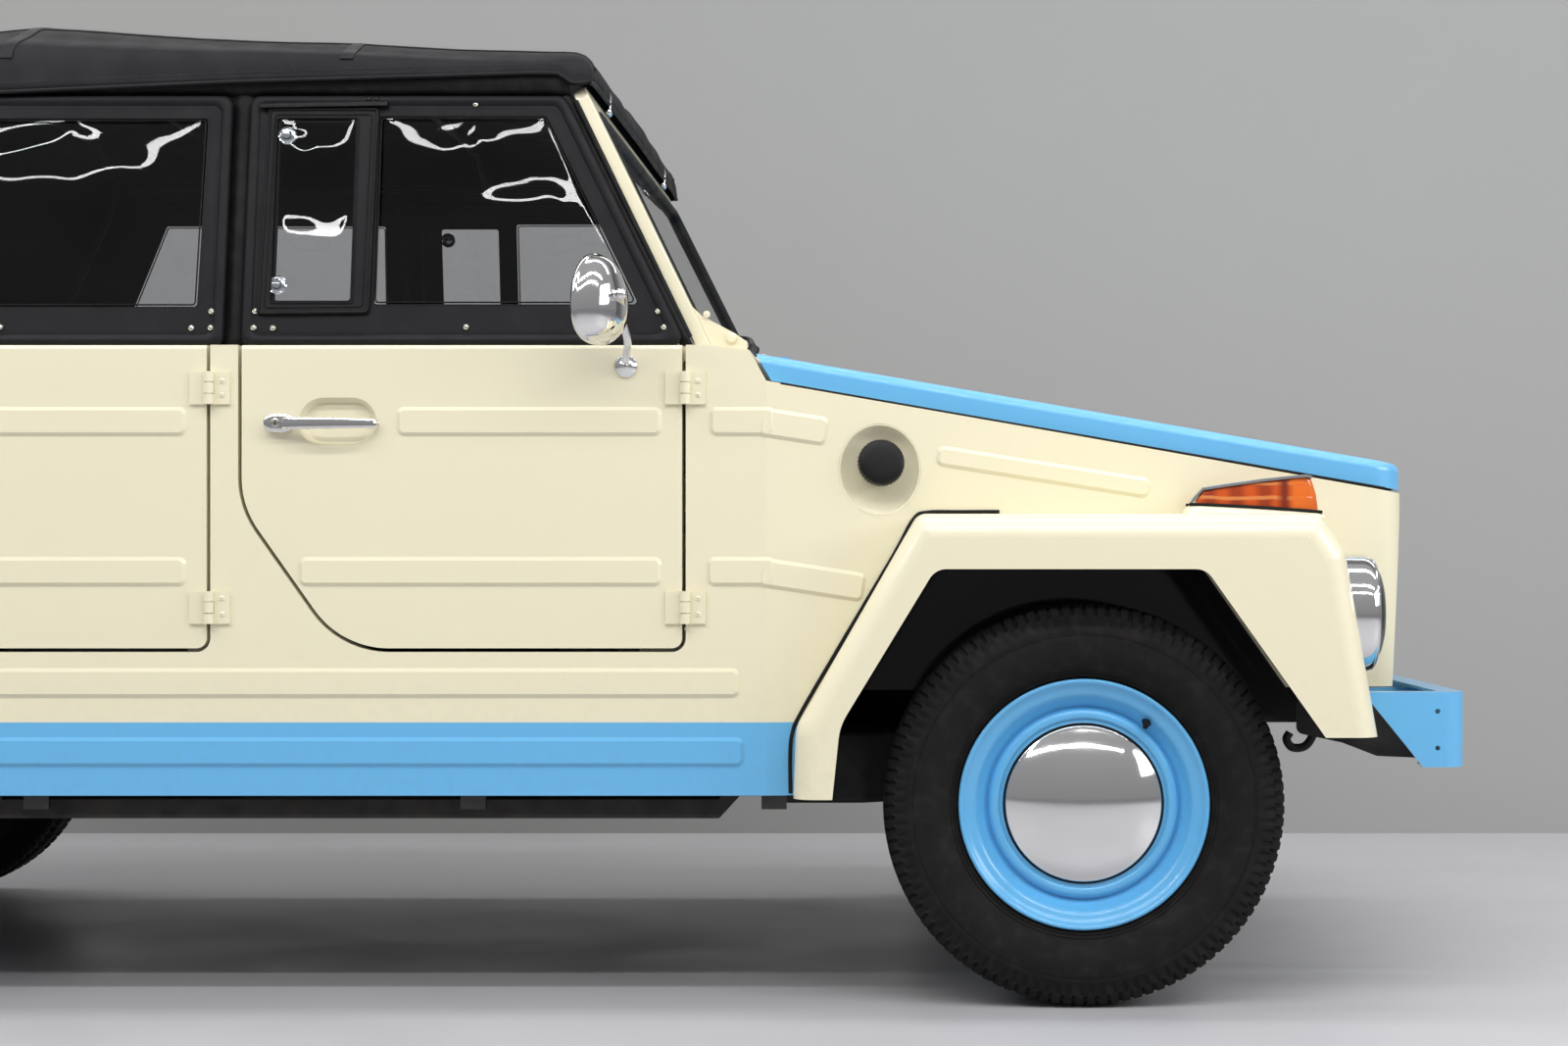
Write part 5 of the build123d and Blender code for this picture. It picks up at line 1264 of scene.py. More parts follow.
class Curtain:
    """A curtain's leaning plane: a along the car, b up the plane, out away from the car."""

    def __init__(self, side, rear_x, front_x, rear_slant, front_slant):
        self.side = side
        self.rear_x, self.front_x = rear_x, front_x
        self.rear_slant, self.front_slant = rear_slant, front_slant

    def place(self, a, b, out=0.0):
        lean, side = CURTAIN_LEAN, self.side
        return Vector((
            a,
            side * (0.714 - b * math.sin(lean) + out * math.cos(lean)),
            BELT_Z + b * math.cos(lean) + out * math.sin(lean),
        ))

    @property
    def out(self):
        return Vector((0, self.side * math.cos(CURTAIN_LEAN), math.sin(CURTAIN_LEAN)))

    def outline(self, inset):
        """The curtain's outline drawn in by inset, with its corners rounded."""
        bottom = inset
        top = CURTAIN_HIGH - inset
        rear_in = inset / math.cos(self.rear_slant)
        front_in = inset / math.cos(self.front_slant)
        corners = [
            (self.rear_x + bottom * math.tan(self.rear_slant) + rear_in, bottom),
            (self.front_x - bottom * math.tan(self.front_slant) - front_in, bottom),
            (self.front_x - top * math.tan(self.front_slant) - front_in, top),
            (self.rear_x + top * math.tan(self.rear_slant) + rear_in, top),
        ]
        return rounded(corners, 0.014, 7)


def ring(shape, curtain, loops):
    """Joins (outline, out) loops round a curtain into one band."""
    rows = []
    for loop, out in loops:
        line = resampled([(a, b, 0) for a, b in [*loop, loop[0]]], 241)[:-1]
        rows.append([curtain.place(p.x, p.y, out) for p in line])
    return shape.grid(rows, closed=True)


def plate_with_holes(shape, curtain, outer, holes, out, depth):
    """A flat sheet in the curtain's plane, filled between its outline and its openings."""
    mesh = bpy.data.meshes.new("cut")
    work = bmesh.new()
    loops = []
    for loop in (outer, *holes):
        verts = [work.verts.new((a, b, 0)) for a, b in dense(loop, 0.012)]
        loops.append([work.edges.new((verts[i], verts[(i + 1) % len(verts)])) for i in range(len(verts))])
    bmesh.ops.triangle_fill(work, edges=[e for loop in loops for e in loop], use_beauty=True)
    work.to_mesh(mesh)
    flat = [tuple(v.co) for v in mesh.vertices]
    faces = [tuple(p.vertices) for p in mesh.polygons]
    work.free()
    bpy.data.meshes.remove(mesh)
    front = [curtain.place(a, b, out) for a, b, _ in flat]
    back = [curtain.place(a, b, out - depth) for a, b, _ in flat]
    count = len(flat)
    shape.add(front + back, faces + [tuple(count + i for i in reversed(f)) for f in faces])
    start = len(shape.verts) - 2 * count
    first = 0
    for loop in (outer, *holes):
        size = len(dense(loop, 0.012))
        for i in range(size):
            a, b = first + i, first + (i + 1) % size
            shape.faces.append((start + a, start + b, start + count + b, start + count + a))
        first += size
    return shape


def bulge(curtain, corners, swell, seed, ripple=0.0022, rows=44, columns=64, pinches=()):
    """A clear film over four (a, b) corners, bellied out, with slack waves and pinches."""
    (a0, b0), (a1, b1), (a2, b2), (a3, b3) = corners
    grid = []
    for i in range(rows + 1):
        v = i / rows
        row = []
        for j in range(columns + 1):
            u = j / columns
            a = lerp(lerp(a0, a1, u), lerp(a3, a2, u), v)
            b = lerp(lerp(b0, b1, u), lerp(b3, b2, u), v)
            edge = min(u, 1 - u) * 4 * min(v, 1 - v) * 4
            edge = min(1.0, edge)
            belly = swell * (4 * v * (1 - v)) ** 0.8 * (4 * u * (1 - u)) ** 0.5
            wave = noise.noise(Vector((a * 5.2 + seed, b * 9.0, seed * 3.7))) * ripple * 2.4
            wave += noise.noise(Vector((a * 14.0 - seed, b * 17.0, seed))) * ripple * 0.6
            for pa, pb, size in pinches:
                reach = math.hypot(a - pa, b - pb)
                spoke = math.cos(5 * math.atan2(b - pb, a - pa) + seed)
                wave -= size * math.exp(-reach / 0.028) * (1 + 0.35 * spoke)
            row.append(curtain.place(a, b, -0.0042 + belly + wave * edge))
        grid.append(row)
    return grid


def curtain_rivets(name, curtain, body, places):
    shape = Shape()
    for a, b in places:
        snap(shape, curtain.place(a, b, 0.0018), curtain.out, 0.0052)
    return shape.make(name, bright_steel, body, "chrome", angle=50.0)


def curtain_frame(name, body, curtain, node, holes, hole_outlines):
    """The vinyl-covered frame: flat border, padded welt all round, hems at the openings."""
    flat = Shape()
    plate_with_holes(flat, curtain, curtain.outline(0.004), hole_outlines, 0.0008, 0.0072)
    cloth = flat.make(f"{name}_vinyl", curtain_vinyl, body, "black_vinyl", angle=30.0)
    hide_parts(node)
    welt = Shape()
    ring(welt, curtain, [
        (curtain.outline(WELT + 0.001), 0.0006), (curtain.outline(WELT - 0.001), 0.003),
        (curtain.outline(WELT - 0.004), 0.0048), (curtain.outline(WELT * 0.5), 0.0056),
        (curtain.outline(0.004), 0.0046), (curtain.outline(0.0015), 0.0022),
        (curtain.outline(0.0005), -0.001), (curtain.outline(0.001), -0.0085),
        (curtain.outline(WELT), -0.0088),
    ])
    bead = welt.make(f"{name}_welt", curtain_vinyl, body, "black_vinyl", angle=60.0)
    ribs = Shape()
    thread = Shape()
    loop = [curtain.place(a, b, 0.0016) for a, b in curtain.outline(WELT + 0.0045)]
    stitches(thread, [*loop, loop[0]], curtain.out, *CURTAIN_STITCH)
    for loop in holes:
        points = [curtain.place(a, b, 0.0012) for a, b in dense(loop, 0.02)]
        ribs.tube(points, 0.0013, sides=6, closed=True)
        middle_a = sum(a for a, _ in loop) / len(loop)
        middle_b = sum(b for _, b in loop) / len(loop)
        outer = []
        for a, b in loop:
            reach = math.hypot(a - middle_a, b - middle_b)
            outer.append((a + (a - middle_a) / reach * 0.007, b + (b - middle_b) / reach * 0.007))
        line = [curtain.place(a, b, 0.0012) for a, b in outer]
        stitches(thread, [*line, line[0]], curtain.out, *CURTAIN_STITCH)
    rim = ribs.make(f"{name}_pane_bead", seal_rubber, body, "black_vinyl")
    sewn = thread.make(f"{name}_thread", black_plastic, body, "black_vinyl")
    return cloth, [bead, rim, sewn]


def inset_loop(points, amount):
    """A quadrilateral drawn in by amount, with small round corners."""
    middle = Vector((sum(p[0] for p in points) / 4, sum(p[1] for p in points) / 4))
    result = []
    for i in range(4):
        here = Vector(points[i])
        before = (here - Vector(points[i - 1])).normalized()
        after = (Vector(points[(i + 1) % 4]) - here).normalized()
        normal_in = Vector((-before.y, before.x))
        normal_out = Vector((-after.y, after.x))
        if normal_in.dot(middle - here) < 0:
            normal_in.negate()
        if normal_out.dot(middle - here) < 0:
            normal_out.negate()
        cosine = max(0.2, (normal_in + normal_out).length / 2)
        result.append(here + (normal_in + normal_out).normalized() * amount / cosine)
    return rounded([tuple(p) for p in result], 0.005, 4)


def front_curtain(side_name):
    side = SIDES[side_name]
    body = f"front_door_{side_name}"
    curtain = Curtain(side, -0.065, 0.6498, 0.0, SCREEN_SLANT)
    name = f"front_curtain_{side_name}"
    tan_slant = math.tan(SCREEN_SLANT)
    low, high = 0.07, 0.379
    main = [
        (0.148, low), (0.596 - low * tan_slant + 0.006, low), (0.596 - high * tan_slant + 0.006, high),
        (0.148, high),
    ]
    flap = [(-0.018, low), (0.112, low), (0.112, high - 0.004), (-0.018, high - 0.004)]
    hole_main = inset_loop(main, -0.002)
    hole_flap = inset_loop(flap, 0.004)
    cloth, extras = curtain_frame(
        name, body, curtain, f"front_curtain_{side_name}", [inset_loop(main, 0.001)],
        [hole_main, hole_flap],
    )
    film = Shape().grid(
        bulge(curtain, main, 0.0055, 3.1 + side, pinches=((0.15, 0.2, 0.004), (0.3, 0.372, 0.003)))
    )
    film = film.make(f"{name}_film", clear_film, body, "clear_vinyl", angle=80.0)
    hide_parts(f"front_curtain_window_{side_name}")
    # The vent flap: its own framed panel, hinged in front, over the rear of the opening.
    outer = [(-0.039, 0.05), (0.14, 0.052), (0.145, 0.393), (-0.033, 0.393)]
    flap_shape = Shape()
    pane_hole = inset_loop(flap, 0.0)
    plate_with_holes(flap_shape, curtain, rounded(outer, 0.004, 4), [pane_hole], 0.0052, 0.0048)
    flap_cloth = flap_shape.make(f"{name}_vent_flap", curtain_vinyl, body, "black_vinyl", angle=30.0)
    beads = Shape()
    for amount, size in ((0.002, 0.0024), (0.011, 0.0012)):
        loop = [curtain.place(a, b, 0.0056) for a, b in dense(inset_loop(outer, amount), 0.02)]
        beads.tube(loop, size, sides=8, closed=True)
    loop = [curtain.place(a, b, 0.0056) for a, b in dense(inset_loop(flap, -0.0015), 0.02)]
    beads.tube(loop, 0.0013, sides=6, closed=True)
    rows = []
    for k in range(30):
        t = k / 29
        a = lerp(-0.046, 0.16, t)
        b = lerp(0.395, 0.3985, t)
        rows.append([
            curtain.place(a, b + 0.007, 0.001), curtain.place(a, b + 0.006, 0.0085),
            curtain.place(a, b + 0.001, 0.0125), curtain.place(a, b - 0.003, 0.012),
            curtain.place(a, b - 0.002, 0.007), curtain.place(a, b - 0.0015, 0.001),
        ])
    beads.grid(rows)
    beads.faces.append(tuple(range(len(beads.verts) - 6, len(beads.verts))))
    beads.faces.append(tuple(range(len(beads.verts) - 180, len(beads.verts) - 174)))
    bead_piece = beads.make(f"{name}_flap_beads", seal_rubber, body, "black_vinyl", angle=50.0)
    knob_places = ((-0.002, 0.348), (-0.0085, 0.099))
    pinches = [(a, b, 0.0045) for a, b in knob_places]
    flap_film = Shape().grid(bulge(curtain, flap, 0.005, 8.3 + side, 0.003, 40, 30, pinches))
    flap_film.verts = [tuple(Vector(point) + curtain.out * 0.007) for point in flap_film.verts]
    vent_film = flap_film.make(f"{name}_vent_film", clear_film, body, "clear_vinyl", angle=80.0)
    knobs = Shape()
    for a, b in knob_places:
        foot = curtain.place(a, b, 0.002)
        knobs.lathe(
            [
                (0.015, 0.0), (0.0155, 0.0012), (0.014, 0.0026), (0.0128, 0.0022), (0.012, 0.0034),
                (0.0086, 0.004), (0.0082, 0.009), (0.0072, 0.0104), (0.0, 0.0108),
            ],
            foot, curtain.out, 32,
        )
        across = Vector((1, 0, 0))
        bar = [foot + curtain.out * 0.0112 + across * x for x in (-0.0062, 0.0062)]
        knobs.tube(bar, 0.0016, sides=8)
    knob_piece = knobs.make(f"{name}_turn_knobs", mirror_glass, body, "chrome", angle=50.0)
    studs = [
        (-0.0425, 0.056), (-0.044, 0.029), (-0.013, 0.0285), (0.296, 0.03), (0.301, 0.401),
        (0.603, 0.056), (0.613, 0.03),
    ]
    rivets = curtain_rivets(f"{name}_rivets", curtain, body, studs)
    pair_shape = Shape()
    for a in (0.128, 0.14):
        snap(pair_shape, curtain.place(a, 0.4085, 0.0052), curtain.out, 0.0042)
    hood_studs = pair_shape.make(f"{name}_hood_studs", dark_steel, body, "chrome", angle=50.0)


def rear_curtain(side_name):
    side = SIDES[side_name]
    body = f"rear_door_{side_name}"
    curtain = Curtain(side, -0.816, -0.093, REAR_SLANT, 0.0)
    name = f"rear_curtain_{side_name}"
    tan_slant = math.tan(REAR_SLANT)
    low, high = 0.066, 0.375
    main = [
        (-0.816 + low * tan_slant + 0.047, low), (-0.139, low), (-0.134, high),
        (-0.816 + high * tan_slant + 0.047, high),
    ]
    cloth, extras = curtain_frame(
        name, body, curtain, f"rear_curtain_{side_name}", [inset_loop(main, 0.001)],
        [inset_loop(main, -0.002)],
    )
    film = Shape().grid(
        bulge(curtain, main, 0.007, 12.7 + side, pinches=((-0.35, 0.372, 0.003), (-0.25, 0.1, 0.004)))
    )
    film = film.make(f"{name}_film", clear_film, body, "clear_vinyl", angle=80.0)
    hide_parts(f"rear_curtain_window_{side_name}")
    studs = [
        (-0.113, 0.056), (-0.113, 0.029), (-0.144, 0.0285), (-0.764, 0.029), (-0.735, 0.0285),
        (-0.45, 0.03),
    ]
    rivets = curtain_rivets(f"{name}_rivets", curtain, body, studs)


for curtain_side in SIDES:
    front_curtain(curtain_side)
    rear_curtain(curtain_side)

SCREEN_EDGE_X = 0.65

# Rubber that closes the gap between the two doors' curtains, on the body's post.
for side_name, side in SIDES.items():
    post = Curtain(side, 0, 0, 0.0, 0.0)
    strip = Shape()
    rows = []
    for k in range(40):
        b = lerp(0.004, 0.428, k / 39)
        rows.append([
            post.place(-0.108, b, -0.019), post.place(-0.0965, b, -0.018), post.place(-0.0895, b, -0.0125),
            post.place(-0.0795, b, -0.0095), post.place(-0.069, b, -0.0125), post.place(-0.0615, b, -0.018),
            post.place(-0.05, b, -0.019),
        ])
    strip.grid(rows)
    thicken(strip.make(f"post_seal_{side_name}", seal_rubber, "body", "black_vinyl", angle=60.0), 0.002)

    # The top's own flap behind the rear curtain, and the rubber by the windscreen.
    flap_rows, screen_rows = [], []
    for k in range(30):
        b = lerp(0.003, 0.428, k / 29)
        rear_edge = -0.816 + 0.4557 * b
        top_edge = -0.836 + 0.3946 * b
        flap_rows.append([
            post.place(
                lerp(top_edge - 0.014, rear_edge + 0.012, t), b, -0.0155 + 0.0015 * math.sin(math.pi * t),
            )
            for t in (0, 0.25, 0.5, 0.75, 1)
        ])
        by_screen = SCREEN_EDGE_X - 0.4921 * b
        screen_rows.append([
            post.place(by_screen - 0.011, b, -0.015), post.place(by_screen - 0.003, b, -0.012),
            post.place(by_screen + 0.004, b, -0.01), post.place(by_screen + 0.0105, b, -0.012),
        ])
    flap = Shape().grid(flap_rows).make(
        f"quarter_flap_{side_name}", top_vinyl, "body", "black_vinyl", angle=60.0,
    )
    thicken(flap, 0.002)
    screen_strip = Shape().grid(screen_rows).make(
        f"screen_seal_{side_name}", seal_rubber, "body", "black_vinyl", angle=60.0,
    )
    thicken(screen_strip, 0.002)


# ---- Doors: handles, mirrors, hinge screws ----
def squared(half_a, half_b, power, count):
    """A rounded-square outline of (a, b) points."""
    points = []
    for i in range(count):
        t = math.tau * i / count
        c, s = math.cos(t), math.sin(t)
        points.append((
            half_a * math.copysign(abs(c) ** power, c),
            half_b * math.copysign(abs(s) ** power, s),
        ))
    return points


def swept(shape, line, sizes, up, power=0.6, count=20):
    """A bar along line whose section is a rounded rectangle of sizes (across, up)."""
    rows = []
    line = [Vector(p) for p in line]
    for i, point in enumerate(line):
        way = (line[min(i + 1, len(line) - 1)] - line[max(i - 1, 0)]).normalized()
        rise = (Vector(up) - way * way.dot(Vector(up))).normalized()
        side = way.cross(rise)
        across, tall = sizes[i]
        rows.append([point + side * a + rise * b for a, b in squared(across, tall, power, count)])
    return shape.block(rows)


def door_handle(name, node, body, side, rear_x):
    """A chrome bar handle: escutcheon with its key slot, tapered grip and front foot."""
    shape = Shape()
    y = 0.735
    wall = [
        (0.0, 0.004), (0.003, 0.011), (0.01, 0.015), (0.024, 0.016), (0.036, 0.015), (0.044, 0.0115),
        (0.047, 0.005),
    ]
    line = [Vector((rear_x + x, side * (y + 0.0085), 0.929)) for x, _ in wall]
    swept(shape, line, [(0.0085, h) for _, h in wall], (0, 0, 1), 0.55, 24)
    grip = [
        (0.03, 0.012), (0.04, 0.0185), (0.056, 0.0235), (0.085, 0.0262), (0.115, 0.0258), (0.142, 0.0232),
        (0.16, 0.018), (0.172, 0.011), (0.176, 0.005),
    ]
    sizes = [
        (0.0042, 0.0098), (0.0046, 0.01), (0.0048, 0.0098), (0.0046, 0.0092), (0.0044, 0.0086),
        (0.0044, 0.008), (0.0046, 0.0078), (0.005, 0.0076), (0.0054, 0.0074),
    ]
    line = smoothed([Vector((rear_x + x, side * (y + out), 0.928)) for x, out in grip], 4)
    fine = [sizes[min(i // 4, len(sizes) - 1)] for i in range(len(line))]
    swept(shape, line, fine, (0, 0, 1), 0.6, 20)
    handle = shape.make(name, chrome, body, "chrome", angle=40.0)
    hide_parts(node)
    key = Shape()
    centre = Vector((rear_x + 0.019, side * (y + 0.0168), 0.929))
    key.lathe([(0.0068, -0.001), (0.0068, 0.001), (0.0056, 0.0016), (0.0, 0.0016)], centre, (0, side, 0), 28)
    key.make(f"{name}_barrel", bright_steel, body, "chrome", angle=40.0)
    slot_shape = Shape()
    slot_shape.box(
        (centre.x - 0.0008, min(centre.y, centre.y + side * 0.0019), centre.z - 0.0038),
        (centre.x + 0.0008, max(centre.y, centre.y + side * 0.0019), centre.z + 0.0038),
    )
    slot_shape.make(f"{name}_key_slot", seal_rubber, body, "black_plastic")


def mirror_pieces(side_name):
    """A bright teardrop door mirror on a jointed arm."""
    side = SIDES[side_name]
    body = f"front_door_{side_name}"
    centre = Vector((0.522, side * 0.826, 1.117))
    turn = math.radians(36)
    face = Vector((-math.cos(turn), -side * math.sin(turn), -0.03)).normalized()
    across = Vector((0, 0, 1)).cross(face).normalized()
    up = face.cross(across).normalized()

    def rim_point(t):
        wide = 0.0535 * (1 - 0.16 * math.sin(t))
        tall = 0.069
        c, s = math.cos(t), math.sin(t)
        return across * wide * math.copysign(abs(c) ** 0.86, c) + up * tall * math.copysign(abs(s) ** 0.92, s)

    steps = [math.tau * j / 64 for j in range(64)]
    shell = Shape()
    rows = []
    for share, depth in (
        (0.93, -0.004), (0.965, -0.0062), (1.0, -0.0066), (1.03, -0.005), (1.04, -0.0015), (1.025, 0.0018),
        (1.0, 0.0034), (0.985, 0.006), (0.955, 0.0125), (0.9, 0.019), (0.81, 0.025), (0.69, 0.0298),
        (0.54, 0.0335), (0.37, 0.036), (0.19, 0.0374), (0.0, 0.0378),
    ):
        rows.append([centre - face * depth + rim_point(t) * max(share, 1e-4) for t in steps])
    shell.grid(rows, closed=True)
    back = centre - face * 0.037 + up * 0.004
    joint = back + Vector((0.01, side * 0.004, 0.0))
    shell.tube([back, back.lerp(joint, 0.5), joint], [0.0075, 0.0062, 0.0058], 16)
    ball = [(0.0, -0.0095)] + [
        (0.0095 * math.sin(math.pi * k / 12), -0.0095 * math.cos(math.pi * k / 12))
        for k in range(1, 12)
    ]
    shell.lathe([*ball, (0.0, 0.0095)], joint, (0, side, 0.2), 24)
    arm_foot = Vector((0.555, side * 0.744, 1.027))
    arm = smoothed([
        arm_foot, arm_foot + Vector((0.003, side * 0.01, 0.012)),
        Vector((0.562, side * 0.772, 1.058)), Vector((0.556, side * 0.79, 1.09)), joint,
    ], 6)
    swept(shell, arm, [(0.005, 0.0062)] * len(arm), (1, 0, 0), 0.8, 16)
    shell.lathe(
        [(0.0185, 0.0), (0.019, 0.002), (0.017, 0.0044), (0.012, 0.007), (0.0085, 0.0105), (0.0, 0.0115)],
        Vector((0.555, side * 0.735, 1.02)), (0, side, 0), 36,
    )
    head = shell.make(f"mirror_shell_{side_name}", chrome, body, "chrome", angle=55.0)
    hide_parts(f"mirror_{side_name}")
    glass = Shape()
    rows = [
        [centre + face * depth + rim_point(t) * max(share, 1e-4) for t in steps]
        for share, depth in ((0.935, 0.003), (0.9, 0.0034), (0.5, 0.004), (0.0, 0.0044))
    ]
    glass.grid(rows, closed=True)
    glass.make(f"mirror_glass_{side_name}", mirror_glass, body, "chrome", angle=60.0)
    bits = Shape()
    screw(bits, Vector((0.555, side * 0.7462, 1.02)), (0, side, 0), 0.0042, 0.002)
    bits.make(f"mirror_screw_{side_name}", bright_steel, body, "chrome")


HINGE_SCREW_Z = (0.996, 0.974, 0.6505, 0.625)
for side_name, side in SIDES.items():
    for end, handle_rear in (("front", -0.018), ("rear", -0.775)):
        door_handle(
            f"{end}_handle_{side_name}", f"{end}_door_handle_{side_name}", f"{end}_door_{side_name}",
            side, handle_rear,
        )
    mirror_pieces(side_name)
    screws = Shape()
    for shift in (0.0, -0.757):
        for z in HINGE_SCREW_Z:
            screw(screws, (0.67 + shift, side * 0.74, z), (0, side, 0), 0.0046, 0.0018)
    screws.make(f"hinge_screws_{side_name}", cream_paint, "body", "cream_paint", angle=30.0)


# ---- Fuel filler ----
FILLER_X = 0.958
FILLER_Z = 0.857
filler_y = -body_half(FILLER_X)
taper_way = Vector((0.1563, -0.9877, 0)).normalized()
along_way = Vector((0.9877, 0.1563, 0)).normalized()
bowl = Shape()
bowl_rows = []
for wide, tall, depth in (
    (0.0665, 0.0735, -0.0006), (0.065, 0.072, 0.0002), (0.063, 0.07, 0.002), (0.06, 0.0668, 0.0055),
    (0.056, 0.0628, 0.01), (0.0505, 0.057, 0.0145), (0.043, 0.049, 0.018), (0.032, 0.037, 0.02),
    (0.0, 0.0, 0.0205),
):
    centre = Vector((FILLER_X, filler_y, FILLER_Z)) - taper_way * depth
    bowl_rows.append([
        centre + along_way * max(wide, 1e-5) * math.cos(t) + Vector((0, 0, 1)) * max(tall, 1e-5) * math.sin(t)
        for t in (math.tau * j / 96 for j in range(96))
    ])
bowl.grid(bowl_rows, closed=True)
bowl.make("filler_bowl", cream_paint, "body", "cream_paint", angle=80.0)
cap_way = (taper_way + Vector((0, 0, 0.2))).normalized()
cap_foot = Vector((FILLER_X + 0.001, filler_y, FILLER_Z + 0.004)) - taper_way * 0.02
neck = Shape()
neck.lathe(
    [(0.03, 0.0), (0.03, 0.016), (0.0335, 0.018), (0.0335, 0.0225), (0.0, 0.0225)], cap_foot, cap_way, 64,
)
neck.make("filler_neck", dark_steel, "body", "dark_steel", angle=40.0)
cap_shape = Shape()
rim_rows = []
for radius, along in (
    (0.0335, 0.0215), (0.0362, 0.0222), (0.0368, 0.025), (0.0368, 0.0345), (0.0362, 0.0385), (0.0342, 0.0412),
    (0.03, 0.0424), (0.02, 0.043), (0.0, 0.0432),
):
    start = cap_way.orthogonal().normalized()
    other = cap_way.cross(start)
    row = []
    for j in range(144):
        t = math.tau * j / 144
        grip = 0.0007 * (1 if j % 4 < 2 else -1) if 0.024 < along < 0.036 else 0.0
        r = max(radius + grip, 1e-5)
        row.append(cap_foot + cap_way * along + (start * math.cos(t) + other * math.sin(t)) * r)
    rim_rows.append(row)
cap_shape.grid(rim_rows, closed=True)
cap_shape.make("filler_cap", black_plastic, "body", "black_plastic", angle=50.0)


# ---- Fender welts ----
FRONT_WELT = [
    (1.15, 0.7895), (1.085, 0.789), (1.034, 0.788), (1.012, 0.777), (0.98, 0.719), (0.895, 0.575),
    (0.833, 0.468), (0.8195, 0.436), (0.816, 0.4), (0.8165, 0.34),
]
REAR_WELT = [(AXLES_SUM_X - x, z) for x, z in FRONT_WELT]
for side_name, side in SIDES.items():
    welts = Shape()
    for stops in (FRONT_WELT, REAR_WELT):
        line = smoothed([Vector((x, side * (body_half(x) + 0.0012), z)) for x, z in stops], 6)
        welts.tube(line, 0.0032, sides=8)
    welts.make(f"fender_welts_{side_name}", seal_rubber, "body", "black_plastic", angle=60.0)


# ---- Lamps ----
def turn_signal(side_name):
    side = SIDES[side_name]
    far = side * 0.66
    plinth = Shape()
    rows = []
    for x, top in (
        (1.444, 0.7845), (1.453, 0.799), (1.47, 0.8), (1.56, 0.795), (1.66, 0.788), (1.669, 0.785),
    ):
        rows.append([
            Vector((x, side * 0.656, 0.78)), Vector((x, side * 0.66, top)), Vector((x, side * 0.714, top)),
            Vector((x, side * 0.721, top - 0.004)), Vector((x, side * 0.726, 0.78)),
        ])
    plinth.grid(rows)
    soften(plinth.make(f"signal_plinth_{side_name}", cream_paint, "body", "cream_paint", angle=40.0), 0.002)
    gasket = Shape()
    rows = []
    for x, z in ((1.453, 0.801), (1.51, 0.799), (1.59, 0.7945), (1.645, 0.7905), (1.666, 0.7885)):
        rows.append([
            Vector((x, side * 0.658, z - 0.0026)), Vector((x, side * 0.658, z + 0.0022)),
            Vector((x, side * 0.718, z + 0.0022)), Vector((x, side * 0.7195, z)),
            Vector((x, side * 0.718, z - 0.0026)),
        ])
    gasket.grid(rows, closed=True)
    gasket.make(f"signal_gasket_{side_name}", seal_rubber, "body", "black_plastic", angle=40.0)
    lens_line = [
        (1.464, 0.803, 0.806), (1.476, 0.802, 0.8245), (1.52, 0.8005, 0.8315), (1.57, 0.798, 0.8385),
        (1.62, 0.7945, 0.844), (1.64, 0.793, 0.8455), (1.65, 0.792, 0.842), (1.658, 0.791, 0.82),
        (1.662, 0.7905, 0.799),
    ]
    lens_shape = Shape()
    rows = []
    for k, (x, bottom, top) in enumerate(lens_line):
        draw = 0.0 if k < 5 else (0.002, 0.006, 0.013, 0.02)[k - 5]
        rows.append([
            Vector((x, far, bottom)), Vector((x, far, top)), Vector((x, side * (0.708 - draw), top)),
            Vector((x, side * (0.7145 - draw), top - min(0.004, (top - bottom) / 2))),
            Vector((x, side * (0.7155 - draw), (top + bottom) / 2)),
            Vector((x, side * (0.7145 - draw), bottom)),
        ])
    lens_shape.block(rows)
    amber = lens_shape.make(f"signal_lens_{side_name}", amber_lens, "body", "amber_lens", angle=40.0)
    trim_shape = Shape()
    path = [
        (1.453, 0.803), (1.46, 0.813), (1.474, 0.8275), (1.52, 0.8345), (1.57, 0.8415), (1.62, 0.847),
        (1.642, 0.8485), (1.65, 0.846),
    ]
    rows = []
    for k, (x, z) in enumerate(path):
        before = Vector(path[max(k - 1, 0)])
        after = Vector(path[min(k + 1, len(path) - 1)])
        way = (after - before).normalized()
        down = Vector((way.y, -way.x)) * 0.0048
        rows.append([
            Vector((x, side * 0.659, z)), Vector((x, side * 0.715, z)),
            Vector((x, side * 0.7178, z - 0.0012)),
            Vector((x + down.x, side * 0.7178, z + down.y)), Vector((x + down.x, side * 0.7135, z + down.y)),
            Vector((x + down.x * 0.4, side * 0.659, z + down.y * 0.4)),
        ])
    trim_shape.block(rows)
    trim_shape.make(f"signal_trim_{side_name}", chrome, "body", "chrome", angle=30.0)
    return amber


signals = [turn_signal(side_name) for side_name in SIDES]
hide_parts("turn_signals")

HEADLIGHT_X = 1.684
HEADLIGHT_Y = 0.693
HEADLIGHT_Z = 0.626
